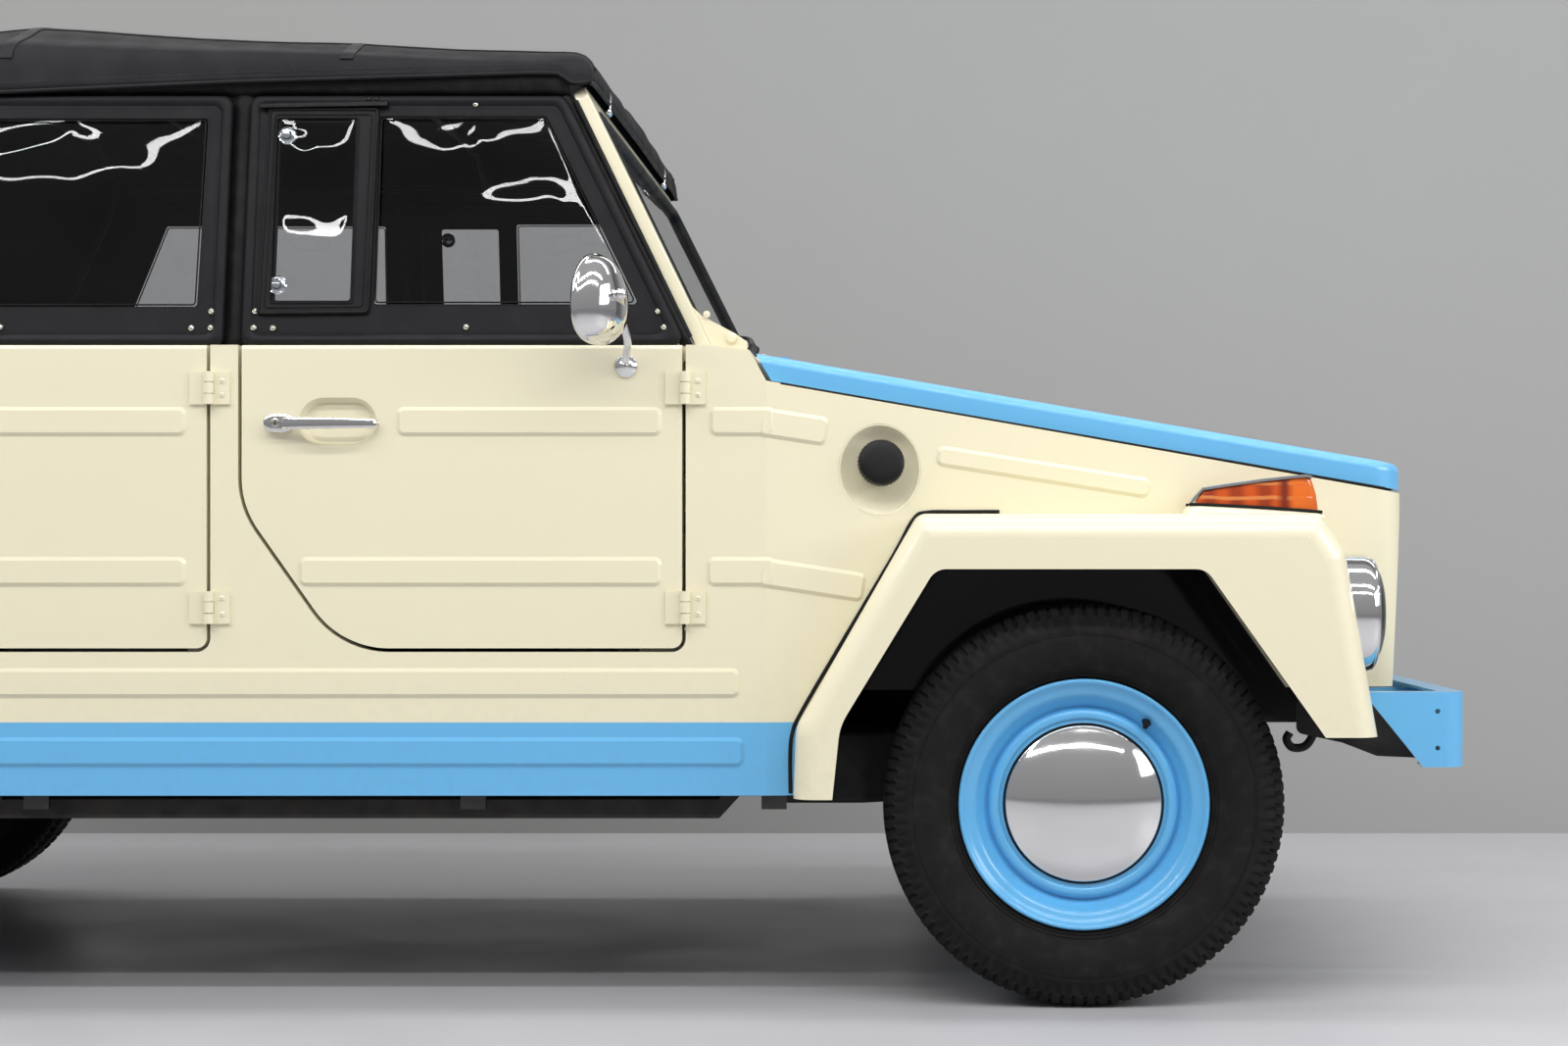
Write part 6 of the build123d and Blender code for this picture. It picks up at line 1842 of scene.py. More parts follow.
# How far the glass's inner face stands forward of the lamp's seat, by radius.
FLUTE_DEPTH = [(0, 0.0815), (0.028, 0.0808), (0.056, 0.0774), (0.0685, 0.0733), (0.079, 0.0665)]
for side_name, side in SIDES.items():
    origin = (HEADLIGHT_X, side * HEADLIGHT_Y, HEADLIGHT_Z)
    bezel = Shape().lathe([
        (0.0945, 0.004), (0.095, 0.02), (0.0952, 0.044), (0.0944, 0.052), (0.0925, 0.0585), (0.0893, 0.064),
        (0.0862, 0.0668), (0.0838, 0.0668), (0.0826, 0.0655), (0.082, 0.06), (0.0815, 0.052),
    ], origin, (1, 0, 0), 96)
    bead_centre = Vector((HEADLIGHT_X + 0.0625, side * HEADLIGHT_Y, HEADLIGHT_Z))
    bezel.tube([
        bead_centre + Vector((0, 0.0905 * math.cos(t), 0.0905 * math.sin(t)))
        for t in (math.tau * j / 96 for j in range(96))
    ], 0.0009, sides=6, closed=True)
    lamp = bezel.make(f"headlight_bezel_{side_name}", chrome, "body", "chrome", angle=60.0)
    bowl_shape = Shape().lathe([
        (0.0815, 0.056), (0.078, 0.04), (0.068, 0.022), (0.05, 0.008), (0.028, 0.001), (0.012, 0.0),
        (0.0, 0.0),
    ], origin, (1, 0, 0), 72)
    bowl_shape.lathe([(0.011, 0.0), (0.0115, 0.03), (0.008, 0.038), (0.0, 0.039)], origin, (1, 0, 0), 24)
    bowl_shape.make(f"headlight_reflector_{side_name}", mirror_glass, "body", "chrome", angle=60.0)
    glass_rows = []
    for radius, along in (
        (0.0822, 0.061), (0.078, 0.068), (0.068, 0.0745), (0.056, 0.0785), (0.042, 0.0808), (0.028, 0.082),
        (0.014, 0.0825), (0.0, 0.0826),
    ):
        glass_rows.append([
            Vector(origin) + Vector((along, radius * math.cos(t), radius * math.sin(t)))
            for t in (math.tau * j / 96 for j in range(96))
        ])
    Shape().grid(glass_rows, closed=True).make(
        f"headlight_glass_{side_name}", lamp_glass, "body", "clear_glass", angle=80.0,
    )
    flutes = Shape()
    for k in range(-8, 9):
        y = k * 0.0088
        reach = math.sqrt(0.078**2 - y**2)
        line = []
        for j in range(13):
            z = lerp(-reach, reach, j / 12)
            radius = math.hypot(y, z)
            line.append(Vector(origin) + Vector((line_value(FLUTE_DEPTH, radius), y, z)))
        flutes.tube(line, 0.0011, sides=6)
    flutes.make(f"headlight_flutes_{side_name}", lamp_glass, "body", "clear_glass", angle=80.0)
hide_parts("headlights")


# ---- Windscreen ----
def on_screen(y, high, out=0.0):
    """A point in the windscreen's plane: high is up its slope from the belt."""
    slope = SCREEN_SLANT
    return Vector((
        0.6865 - high * math.sin(slope) + out * math.cos(slope),
        y,
        1.054 + high * math.cos(slope) + out * math.sin(slope),
    ))


SCREEN_TALL = 0.432 / math.cos(SCREEN_SLANT)
SCREEN_OUT = Vector((math.cos(SCREEN_SLANT), 0, math.sin(SCREEN_SLANT)))


def screen_loop(inset):
    low = 0.024 + inset - 0.042
    high = SCREEN_TALL - inset
    half_low = lerp(0.692, 0.642, low / SCREEN_TALL) - inset
    half_high = 0.642 - inset
    return rounded([(-half_low, low), (half_low, low), (half_high, high), (-half_high, high)], 0.018, 6)


WIPER_Y = {"right": -0.34, "left": 0.18}
seal = Shape()
loops = []
for inset, out in (
    (0.04, -0.024), (0.039, 0.0016), (0.042, 0.004), (0.047, 0.0034), (0.051, 0.0), (0.0515, -0.008),
    (0.0515, -0.016), (0.051, -0.0235), (0.046, -0.0262),
):
    line = resampled([(a, b, 0) for a, b in [*screen_loop(inset), screen_loop(inset)[0]]], 281)[:-1]
    loops.append([on_screen(p.x, p.y, out) for p in line])
seal.grid([*loops, loops[0]], closed=True)
seal.make("windscreen_glazing_rubber", seal_rubber, "body", "black_plastic", angle=60.0)
foot_seal = Shape()
rows = []
for k in range(41):
    y = lerp(-0.672, 0.672, k / 40)
    rows.append([
        Vector((0.716, y, 1.0545)), Vector((0.714, y, 1.06)), Vector((0.703, y, 1.0655)),
        Vector((0.69, y, 1.066)), Vector((0.686, y, 1.056)),
    ])
foot_seal.grid(rows)
foot_seal.make("windscreen_foot_rubber", seal_rubber, "body", "black_plastic", angle=50.0)
for side_name, side in SIDES.items():
    clamp = Shape()
    clamp.lathe(
        [(0.008, 0.0), (0.0085, 0.003), (0.006, 0.0055), (0.0, 0.006)], (0.718, side * 0.677, 1.07),
        (0, side, 0), 24,
    )
    clamp.lathe(
        [(0.0055, 0.0), (0.0058, 0.0024), (0.0, 0.0038)], (0.678, side * 0.677, 1.108), (0, side, 0), 20,
    )
    clamp.make(f"windscreen_bolts_{side_name}", cream_paint, "body", "cream_paint", angle=40.0)
    edge = Shape()
    line = [
        on_screen(side * (lerp(0.692, 0.642, t) + 0.002), lerp(0.03, SCREEN_TALL - 0.02, t), -0.0235)
        for t in (j / 24 for j in range(25))
    ]
    swept(edge, line, [(0.0045, 0.005)] * len(line), (0, side, 0), 0.7, 12)
    edge.make(f"windscreen_side_rubber_{side_name}", seal_rubber, "body", "black_plastic", angle=60.0)
    latch = Shape()
    base = on_screen(side * 0.42, SCREEN_TALL - 0.01, 0.004)
    latch.lathe([(0.009, 0.0), (0.0095, 0.004), (0.007, 0.008), (0.0, 0.009)], base, SCREEN_OUT, 20)
    latch.tube(
        [base + Vector((0.004, 0, 0)), base + Vector((0.006, 0, 0.026)), base + Vector((0.0, 0, 0.04))],
        0.0032, 10,
    )
    latch.make(f"header_latch_{side_name}", chrome, "body", "chrome", angle=50.0)
    wiper = Shape()
    pivot = Vector((0.718, WIPER_Y[side_name], 1.06))
    wiper.lathe(
        [(0.018, 0.0), (0.0185, 0.006), (0.012, 0.013), (0.0095, 0.026), (0.007, 0.03), (0.0, 0.031)],
        pivot, (0.45, 0, 0.9), 28,
    )
    tip = pivot + Vector((0.008, 0, 0.026))
    elbow = on_screen(pivot.y + 0.2, 0.06, 0.028)
    arm = smoothed([tip, tip.lerp(elbow, 0.5) + Vector((0.006, 0, 0.004)), elbow], 8)
    swept(
        wiper, arm,
        [
            (lerp(0.006, 0.0034, i / (len(arm) - 1)), lerp(0.0045, 0.0026, i / (len(arm) - 1)))
            for i in range(len(arm))
        ],
        (0, 0, 1), 0.7, 12,
    )
    blade_low = on_screen(elbow.y - 0.165, 0.052, 0.016)
    blade_high = on_screen(elbow.y + 0.165, 0.06, 0.016)
    middle = on_screen(elbow.y, 0.0565, 0.024)
    wiper.tube(smoothed([blade_low, middle, blade_high], 8), 0.0028, 8)
    wiper.tube(
        [blade_low - SCREEN_OUT * 0.006, on_screen(elbow.y, 0.056, 0.0095), blade_high - SCREEN_OUT * 0.006],
        0.0026, 8,
    )
    for t in (0.12, 0.36, 0.64, 0.88):
        top = blade_low.lerp(blade_high, t) + SCREEN_OUT * 0.005
        wiper.tube([top, top - SCREEN_OUT * 0.01], 0.0018, 8)
    wiper.make(f"wiper_{side_name}", black_steel, "body", "black_steel", angle=50.0)


# ---- Seats: padded covers with sewn channels ----
PAD_VOXEL = 0.014
PAD_FRAMES = 20
PAD_PRESSURE = 3.5
CHANNEL_WIDTH = 0.006
CHANNEL_DEPTH = 0.007


def soft_block(name, corners, cap):
    """A padded form over eight corner points: remeshed, then blown up as cloth.

    cap is the most that any point may move."""
    pad = piece(name, corners, BOX_FACES, seat_vinyl, "body", angle=80.0)
    round_off = pad.modifiers.new("round", "BEVEL")
    round_off.width = 0.026
    round_off.segments = 4
    voxel = pad.modifiers.new("voxel", "REMESH")
    voxel.mode = "VOXEL"
    voxel.voxel_size = PAD_VOXEL
    apply_modifiers(pad)
    start = [v.co.copy() for v in pad.data.vertices]
    cloth = pad.modifiers.new("cloth", "CLOTH")
    cloth.settings.quality = 5
    cloth.settings.use_pressure = True
    cloth.settings.uniform_pressure_force = PAD_PRESSURE
    cloth.settings.effector_weights.gravity = 0.0
    cloth.settings.tension_stiffness = 18
    cloth.settings.compression_stiffness = 18
    cloth.collision_settings.use_collision = False
    cloth.point_cache.frame_start = 1
    cloth.point_cache.frame_end = PAD_FRAMES
    for frame_number in range(1, PAD_FRAMES + 1):
        bpy.context.scene.frame_set(frame_number)
    apply_modifiers(pad)
    bpy.context.scene.frame_set(1)
    for vert, before in zip(pad.data.vertices, start):
        move = vert.co - before
        if move.length > cap:
            vert.co = before + move * (cap / move.length)
    smooth = pad.modifiers.new("fine", "SUBSURF")
    smooth.levels = smooth.render_levels = 1
    apply_modifiers(pad)
    pad.data.polygons.foreach_set("use_smooth", [True] * len(pad.data.polygons))
    return pad


def apply_modifiers(thing):
    """Keeps the shape that the modifiers give, and removes them."""
    graph = bpy.context.evaluated_depsgraph_get()
    made = bpy.data.meshes.new_from_object(thing.evaluated_get(graph))
    thing.modifiers.clear()
    old = thing.data
    thing.data = made
    bpy.data.meshes.remove(old)


def pleat(pad, face_way, reach_y, centre, pitch):
    """Presses sewn channels, which lie side by side along Y, into the face along face_way."""
    face_way, centre = Vector(face_way).normalized(), Vector(centre)
    reach = max((v.co - centre).dot(face_way) for v in pad.data.vertices)
    for vert in pad.data.vertices:
        off = vert.co - centre
        facing_share = (off.dot(face_way) / reach - 0.35) / 0.5
        if facing_share <= 0:
            continue
        place = off.y
        if abs(place) >= reach_y:
            continue
        nearest = round(place / pitch) * pitch
        dip = math.exp(-(((place - nearest) / CHANNEL_WIDTH) ** 2))
        vert.co -= face_way * CHANNEL_DEPTH * dip * min(1.0, facing_share)


def seam_cord(shape, pad, plane_point, plane_way):
    """A piped seam where a plane cuts a padded form."""
    work = bmesh.new()
    work.from_mesh(pad.data)
    cut = bmesh.ops.bisect_plane(
        work, geom=work.verts[:] + work.edges[:] + work.faces[:], plane_co=plane_point, plane_no=plane_way
    )
    edges = [e for e in cut["geom_cut"] if isinstance(e, bmesh.types.BMEdge)]
    links = {}
    for edge in edges:
        a, b = edge.verts
        links.setdefault(a, []).append(b)
        links.setdefault(b, []).append(a)
    if not links:
        work.free()
        return
    start = min(links, key=lambda v: tuple(v.co))
    loop, previous, here = [start], None, start
    while True:
        ahead = [v for v in links[here] if v is not previous]
        if not ahead:
            break
        previous, here = here, ahead[0]
        if here is start or len(loop) > 4000:
            break
        loop.append(here)
    middle = sum((v.co for v in loop), Vector()) / len(loop)
    points = [v.co + (v.co - middle).normalized() * 0.0012 for v in loop]
    points = resampled([*points, points[0]], max(40, min(160, len(points))))[:-1]
    shape.tube(points, 0.0026, sides=6, closed=True)
    work.free()


def block_corners(low, high):
    return [(x, y, z) for x in (low[0], high[0]) for y in (low[1], high[1]) for z in (low[2], high[2])]


FLOOR_TOP = 0.327
seat_pads = []
for side_name, side in SIDES.items():
    y_low, y_high = sorted((side * 0.15, side * 0.58))
    cushion = soft_block(
        f"front_cushion_{side_name}",
        block_corners((-0.008, y_low, FLOOR_TOP + 0.162), (0.442, y_high, FLOOR_TOP + 0.252)),
        0.022,
    )
    lean = math.radians(-14)
    centre = Vector((-0.052, side * 0.365, FLOOR_TOP + 0.5))
    corners = []
    for x, y, z in block_corners((-0.036, -0.218, -0.232), (0.036, 0.218, 0.232)):
        corners.append(centre + Vector((
            x * math.cos(lean) + z * math.sin(lean),
            y * (1 - 0.1 * (z > 0)),
            -x * math.sin(lean) + z * math.cos(lean),
        )))
    back = soft_block(f"front_backrest_{side_name}", corners, 0.02)
    back_way = (math.cos(lean), 0, -math.sin(lean))
    pleat(cushion, (0, 0, 1), 0.15, (0.22, side * 0.365, FLOOR_TOP + 0.21), 0.062)
    pleat(back, back_way, 0.14, centre, 0.062)
    piping = Shape()
    seam_cord(piping, cushion, (0.2, side * 0.365, FLOOR_TOP + 0.236), (0, 0, 1))
    seam_cord(piping, cushion, (0.2, side * 0.365, FLOOR_TOP + 0.18), (0, 0, 1))
    seam_cord(piping, back, tuple(centre + Vector(back_way) * 0.026), back_way)
    seam_cord(piping, back, tuple(centre - Vector(back_way) * 0.026), back_way)
    piping.make(f"front_seat_piping_{side_name}", black_plastic, "body", "seat_vinyl", angle=60.0)
    frame_shape = Shape()
    for y in (side * 0.2, side * 0.53):
        frame_shape.box((-0.01, y - 0.012, FLOOR_TOP), (0.4, y + 0.012, FLOOR_TOP + 0.014))
        for x in (0.02, 0.37):
            frame_shape.tube([(x, y, FLOOR_TOP + 0.01), (x + 0.01, y, FLOOR_TOP + 0.165)], 0.011, 12)
        line = smoothed([
            (0.4, y, FLOOR_TOP + 0.15), (0.1, y, FLOOR_TOP + 0.15), (-0.03, y, FLOOR_TOP + 0.175),
            (-0.062, y, FLOOR_TOP + 0.33), (-0.11, y, FLOOR_TOP + 0.56),
        ], 6)
        frame_shape.tube(line, 0.01, 12)
    for x, rise in ((0.02, 0.06), (0.39, 0.15)):
        ends = [(x, side * y, FLOOR_TOP + rise) for y in (0.2, 0.53)]
        frame_shape.tube(ends, 0.009, 12)
    frame_shape.tube(
        [
            (0.41, side * 0.3, FLOOR_TOP + 0.03), (0.44, side * 0.3, FLOOR_TOP + 0.05),
            (0.45, side * 0.3, FLOOR_TOP + 0.075),
        ],
        0.005, 10,
    )
    frame_shape.make(f"front_seat_frame_{side_name}", black_steel, "body", "black_steel", angle=40.0)
    seat_pads += [cushion, back]
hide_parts("front_seats")

bench = soft_block(
    "rear_bench_cushion", block_corners((-0.862, -0.552, 0.483), (-0.502, 0.552, 0.578)),
    0.02,
)
bench_back = soft_block(
    "rear_bench_backrest",
    [
        (-0.885, -0.552, 0.59), (-0.905, -0.54, 0.985), (-0.885, 0.552, 0.59), (-0.905, 0.54, 0.985),
        (-0.8, -0.552, 0.59), (-0.85, -0.54, 0.985), (-0.8, 0.552, 0.59), (-0.85, 0.54, 0.985),
    ],
    0.018,
)
pleat(bench, (0, 0, 1), 0.5, (-0.68, 0, 0.53), 0.0775)
pleat(bench_back, (1, 0, 0.1), 0.5, (-0.86, 0, 0.78), 0.0775)
bench_piping = Shape()
seam_cord(bench_piping, bench, (-0.68, 0, 0.563), (0, 0, 1))
seam_cord(bench_piping, bench_back, (-0.836, 0, 0.78), (1, 0, 0.1))
bench_piping.make("rear_bench_piping", black_plastic, "body", "seat_vinyl", angle=60.0)
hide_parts("rear_seat")


# ---- Dashboard, controls and floor ----
DASH_FACE = 0.5905
DASH_OUT = (-1, 0, 0.17)


def gauge(name, y, z, radius, marks):
    """A round dial: bright rim, black face, ticks, needle and glass."""
    centre = Vector((DASH_FACE + 0.004, y, z))
    way = Vector(DASH_OUT).normalized()
    rim = Shape().lathe(
        [
            (radius, -0.004), (radius + 0.004, 0.0), (radius + 0.004, 0.007), (radius + 0.001, 0.01),
            (radius - 0.002, 0.008), (radius - 0.002, 0.002),
        ],
        centre, way, 64,
    )
    rim.make(f"{name}_rim", chrome, "body", "chrome", angle=50.0)
    face = Shape().lathe([(radius - 0.001, 0.0015), (radius * 0.5, 0.0018), (0.0, 0.002)], centre, way, 64)
    face.make(f"{name}_face", black_plastic, "body", "black_plastic", angle=60.0)
    ticks = Shape()
    across = Vector((0, 1, 0))
    rise = across.cross(way).normalized() * -1
    for k in range(marks):
        t = math.radians(225 - 270 * k / (marks - 1))
        spoke = across * math.cos(t) + rise * math.sin(t)
        long_mark = 0.01 if k % 5 == 0 else 0.006
        side_way = spoke.cross(way).normalized() * 0.0008
        a = centre + way * 0.0032 + spoke * (radius - 0.006)
        b = a - spoke * long_mark
        ticks.add([a + side_way, a - side_way, b - side_way, b + side_way], [(0, 1, 2, 3)])
    t = math.radians(205)
    spoke = across * math.cos(t) + rise * math.sin(t)
    side_way = spoke.cross(way).normalized() * 0.0014
    hub = centre + way * 0.0045
    ticks.add([hub + side_way, hub - side_way, hub + spoke * (radius - 0.01)], [(0, 1, 2)])
    ticks.make(f"{name}_marks", bright_steel, "body", "chrome")
    dome = [(radius - 0.0015, 0.006), (radius * 0.5, 0.0072), (0.0, 0.0076)]
    glass = Shape().lathe(dome, centre, way, 48)
    glass.make(f"{name}_glass", lamp_glass, "body", "clear_glass", angle=80.0)


gauge("speedometer", 0.35, 0.935, 0.054, 31)
gauge("fuel_gauge", 0.24, 0.945, 0.026, 11)
controls = Shape()
for y, z in ((0.47, 0.965), (0.47, 0.925), (0.15, 0.96), (0.15, 0.92), (0.095, 0.96), (0.565, 0.945)):
    foot = Vector((DASH_FACE + 0.004, y, z))
    controls.lathe(
        [
            (0.0125, 0.0), (0.013, 0.002), (0.007, 0.0035), (0.0062, 0.012), (0.0105, 0.016),
            (0.012, 0.021), (0.011, 0.026), (0.0, 0.028),
        ],
        foot, DASH_OUT, 28,
    )
controls.make("dashboard_knobs", black_plastic, "body", "black_plastic", angle=50.0)
lamps = Shape()
for y, lens_z in ((0.405, 0.985), (0.3, 0.985), (0.2, 0.985)):
    lamps.lathe(
        [(0.006, 0.0), (0.0062, 0.003), (0.004, 0.0055), (0.0, 0.006)], (DASH_FACE + 0.004, y, lens_z),
        DASH_OUT, 20,
    )
lamps.make("dashboard_tell_tales", red_lens, "body", "red_lens", angle=50.0)
grab = Shape()
grab.tube(smoothed([
    (DASH_FACE + 0.006, -0.56, 0.985), (DASH_FACE - 0.034, -0.545, 0.987), (DASH_FACE - 0.042, -0.42, 0.988),
    (DASH_FACE - 0.042, -0.3, 0.988), (DASH_FACE - 0.034, -0.175, 0.987), (DASH_FACE + 0.006, -0.16, 0.985),
], 6), 0.0085, 14)
for y in (-0.56, -0.16):
    grab.lathe(
        [(0.021, 0.0), (0.0215, 0.003), (0.015, 0.007), (0.0, 0.008)], (DASH_FACE + 0.005, y, 0.985),
        DASH_OUT, 28,
    )
grab.make("dashboard_grab_rail", black_steel, "body", "black_steel", angle=60.0)
grille = Shape()
for k in range(9):
    z = 0.905 + 0.006 * k
    grille.box(
        (DASH_FACE - 0.0015 + (z - 0.864) * 0.16, -0.08, z),
        (DASH_FACE + 0.006 + (z - 0.864) * 0.16, 0.045, z + 0.003),
    )
grille.make("dashboard_speaker_slats", black_plastic, "body", "black_plastic")

wheel_centre = Vector((0.31, 0.35, 0.95))
wheel_way = Vector((-math.cos(math.radians(35)), 0, math.sin(math.radians(35))))
boss = Shape().lathe(
    [
        (0.0345, -0.02), (0.0365, -0.004), (0.036, 0.008), (0.032, 0.017), (0.024, 0.0205), (0.01, 0.0215),
        (0.0, 0.0216),
    ],
    wheel_centre, wheel_way, 56,
)
boss.make("steering_boss", black_plastic, "steering_wheel", "black_plastic", angle=60.0)
grips = Shape()
across_wheel = Vector((0, 1, 0))
up_wheel = wheel_way.cross(across_wheel).normalized()
for k in range(72):
    t = math.tau * k / 72
    spoke = across_wheel * math.cos(t) + up_wheel * math.sin(t)
    spot = wheel_centre + spoke * 0.1836 - wheel_way * 0.004
    grips.lathe([(0.0034, -0.0015), (0.0034, 0.0012), (0.0, 0.002)], spot, -spoke, 8)
grips.make("steering_rim_grips", black_plastic, "steering_wheel", "black_plastic")

shifter = Shape()
shifter.lathe(
    [(0.044, 0.0), (0.045, 0.006), (0.032, 0.018), (0.02, 0.04), (0.012, 0.052), (0.0, 0.053)],
    (0.3, 0.0, 0.427), (0, 0, 1), 36,
)
shifter.make("gear_lever_boot", seal_rubber, "body", "black_plastic", angle=50.0)
levers = Shape()
gear_line = [(0.3, 0, 0.47), (0.296, 0, 0.56), (0.272, 0, 0.68), (0.255, 0, 0.742)]
brake_line = [(0.16, 0.03, 0.43), (0.12, 0.03, 0.49), (0.04, 0.03, 0.53)]
levers.tube(smoothed(gear_line, 6), 0.0062, 12)
levers.tube(smoothed(brake_line, 6), 0.008, 12)
levers.make("hand_levers", dark_steel, "body", "dark_steel", angle=60.0)
knob = Shape().lathe(
    [(0.007, 0.0), (0.018, 0.008), (0.0225, 0.02), (0.02, 0.032), (0.012, 0.04), (0.0, 0.042)],
    (0.2555, 0, 0.738), (-0.25, 0, 1), 32,
)
knob.lathe(
    [(0.0105, 0.0), (0.012, 0.012), (0.0115, 0.06), (0.0125, 0.092), (0.008, 0.1), (0.0, 0.101)],
    (0.06, 0.03, 0.5235), (-0.9, 0, 0.3), 24,
)
knob.make("lever_grips", black_plastic, "body", "black_plastic", angle=50.0)
pedals = Shape()
for y, wide in ((0.24, 0.024), (0.33, 0.027), (0.43, 0.021)):
    foot = Vector((0.69, y, 0.385))
    arm = [foot + Vector(p) for p in ((0.055, 0, 0.1), (0.0, 0, 0.105), (-0.03, 0, 0.08))]
    pedals.tube(smoothed(arm, 5), 0.0065, 10)
    pad_rows = []
    for k in range(9):
        t = k / 8
        spot = foot + Vector((-0.034 + 0.03 * t, 0, 0.05 + 0.058 * t))
        ridge = 0.0016 * (k % 2)
        face = [spot + Vector((-0.004 - ridge, d * wide, 0.002)) for d in (-1, -0.9, 0, 0.9, 1)]
        pad_rows.append(face + [spot + Vector((0.004, d * wide, -0.002)) for d in (1, 0, -1)])
    pedals.block(pad_rows)
pedals.make("pedals", black_plastic, "body", "black_plastic", angle=40.0)


def floor_mat(name, x_low, x_high, y_low, y_high, z):
    """A ribbed rubber mat with a rolled edge."""
    rows = []
    count = 64
    for i in range(count + 1):
        x = lerp(x_low, x_high, i / count)
        rise = 0.0016 if 2 < i < count - 2 and i % 2 else 0.0
        row = [
            Vector((x, y_low, z)), Vector((x, y_low + 0.002, z + 0.0055)),
            Vector((x, y_low + 0.01, z + 0.0055)),
        ]
        for j in range(13):
            y = lerp(y_low + 0.014, y_high - 0.014, j / 12)
            sag = 0.0012 * noise.noise(Vector((x * 4, y * 4, 1.0)))
            row.append(Vector((x, y, z + 0.0036 + rise + sag)))
        row += [
            Vector((x, y_high - 0.01, z + 0.0055)), Vector((x, y_high - 0.002, z + 0.0055)),
            Vector((x, y_high, z)),
        ]
        rows.append(row)
    mat = Shape().grid(rows).make(name, mat_rubber, "body", "black_plastic", angle=40.0)
    return mat


for side_name, side in SIDES.items():
    low_y, high_y = sorted((side * 0.105, side * 0.665))
    floor_mat(f"floor_mat_front_{side_name}", 0.462, 0.69, low_y, high_y, FLOOR_TOP + 0.0006)
    floor_mat(f"floor_mat_rear_{side_name}", -0.44, -0.075, low_y, high_y, FLOOR_TOP + 0.0006)


# ---- Tail: lamps, plate, engine lid fittings and pipes ----
TAIL_FOOT = Vector((-1.83, 0.0, 0.5))
TAIL_RISE = Vector((0.084, 0.0, 0.465)).normalized()
TAIL_OUT = Vector((-TAIL_RISE.z, 0.0, TAIL_RISE.x))


def on_tail(y, rise, out=0.0):
    """A place on the leaning tail plane."""
    return TAIL_FOOT + TAIL_RISE * rise + Vector((0, y, 0)) + TAIL_OUT * out


def tail_frame(half_wide, half_tall, corner, y, rise, out, steps=6):
    outline = rounded(
        [(-half_wide, -half_tall), (half_wide, -half_tall), (half_wide, half_tall), (-half_wide, half_tall)],
        [corner] * 4, steps,
    )
    return [on_tail(y + a, rise + b, out) for a, b in outline]


def cushioned(stations):
    """Nested rounded outlines, closed by a face at each end."""
    return Shape().block([tail_frame(*station) for station in stations])


for side_name, side in SIDES.items():
    y = side * 0.575
    body_shape = cushioned([
        (0.0415, 0.0895, 0.02, y, 0.22, 0.0005), (0.0415, 0.0895, 0.02, y, 0.22, 0.008),
        (0.039, 0.087, 0.018, y, 0.22, 0.0092),
    ])
    body_shape.make(f"tail_lamp_base_{side_name}", chrome, "body", "chrome", angle=40.0)
    ribbed = Shape()
    rows = []
    for k in range(61):
        b = lerp(-0.0868, 0.0868, k / 60)
        end = min(1.0, (0.0868 - abs(b)) / 0.012)
        drop = 0.016 * (1 - math.sqrt(max(0.0, 1 - (1 - end) ** 2)))
        ridge = 0.0005 * (k % 2) * (end > 0.6)
        split = -0.0012 if abs(abs(b + 0.012) - 0.0365) < 0.0016 else 0.0
        wide = 0.0388 - drop * 0.6
        row = []
        for a, lift in (
            (-1, 0.0), (-1, 0.01), (-0.96, 0.0165), (-0.86, 0.0205), (-0.5, 0.0222), (0, 0.0226),
            (0.5, 0.0222), (0.86, 0.0205), (0.96, 0.0165), (1, 0.01), (1, 0.0),
        ):
            height = max(0.0002, (lift - drop * (lift > 0.001) + (ridge + split) * (lift > 0.018)))
            row.append(on_tail(y + a * wide, 0.22 + b, 0.009 + height))
        rows.append(row)
    ribbed.block(rows)
    lamp = ribbed.make(f"tail_lens_{side_name}", red_lens, "body", "red_lens", angle=50.0)
    screws = Shape()
    for b in (-0.05, 0.026):
        screw(screws, on_tail(y, 0.22 + b, 0.0312), TAIL_OUT, 0.0035, 0.0014)
    screws.make(f"tail_lens_screws_{side_name}", bright_steel, "body", "chrome", angle=30.0)
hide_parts("tail_lights")

PLATE_RISE = 0.235
plate = cushioned([
    (0.1525, 0.0775, 0.012, 0.0, PLATE_RISE, 0.0075), (0.1525, 0.0775, 0.012, 0.0, PLATE_RISE, 0.0088),
    (0.1505, 0.0755, 0.01, 0.0, PLATE_RISE, 0.0098), (0.148, 0.073, 0.008, 0.0, PLATE_RISE, 0.0098),
    (0.147, 0.072, 0.008, 0.0, PLATE_RISE, 0.0088),
])
plate.make("number_plate", plate_paint, "engine_lid", "cream_paint", angle=30.0)
plate_fixings = Shape()
for y in (-0.105, 0.105):
    for b in (-0.06, 0.06):
        plate_fixings.lathe(
            [(0.007, -0.008), (0.007, 0.0), (0.0, 0.0)], on_tail(y, PLATE_RISE + b, 0.0082), TAIL_OUT, 16,
        )
        screw(plate_fixings, on_tail(y, PLATE_RISE + b, 0.0089), TAIL_OUT, 0.0045, 0.002)
plate_fixings.make("plate_screws", bright_steel, "engine_lid", "chrome", angle=30.0)
plate_lamp = Shape()
plate_lamp.add(
    [
        on_tail(a * 0.034, PLATE_RISE + 0.087 + b, out)
        for out, wide in ((0.0, 1.0), (0.03, 0.86)) for a in (-wide, wide) for b in (-0.006, 0.014)
    ],
    BOX_FACES,
)
soften(plate_lamp.make("plate_lamp", chrome, "engine_lid", "chrome"), 0.004, 3)

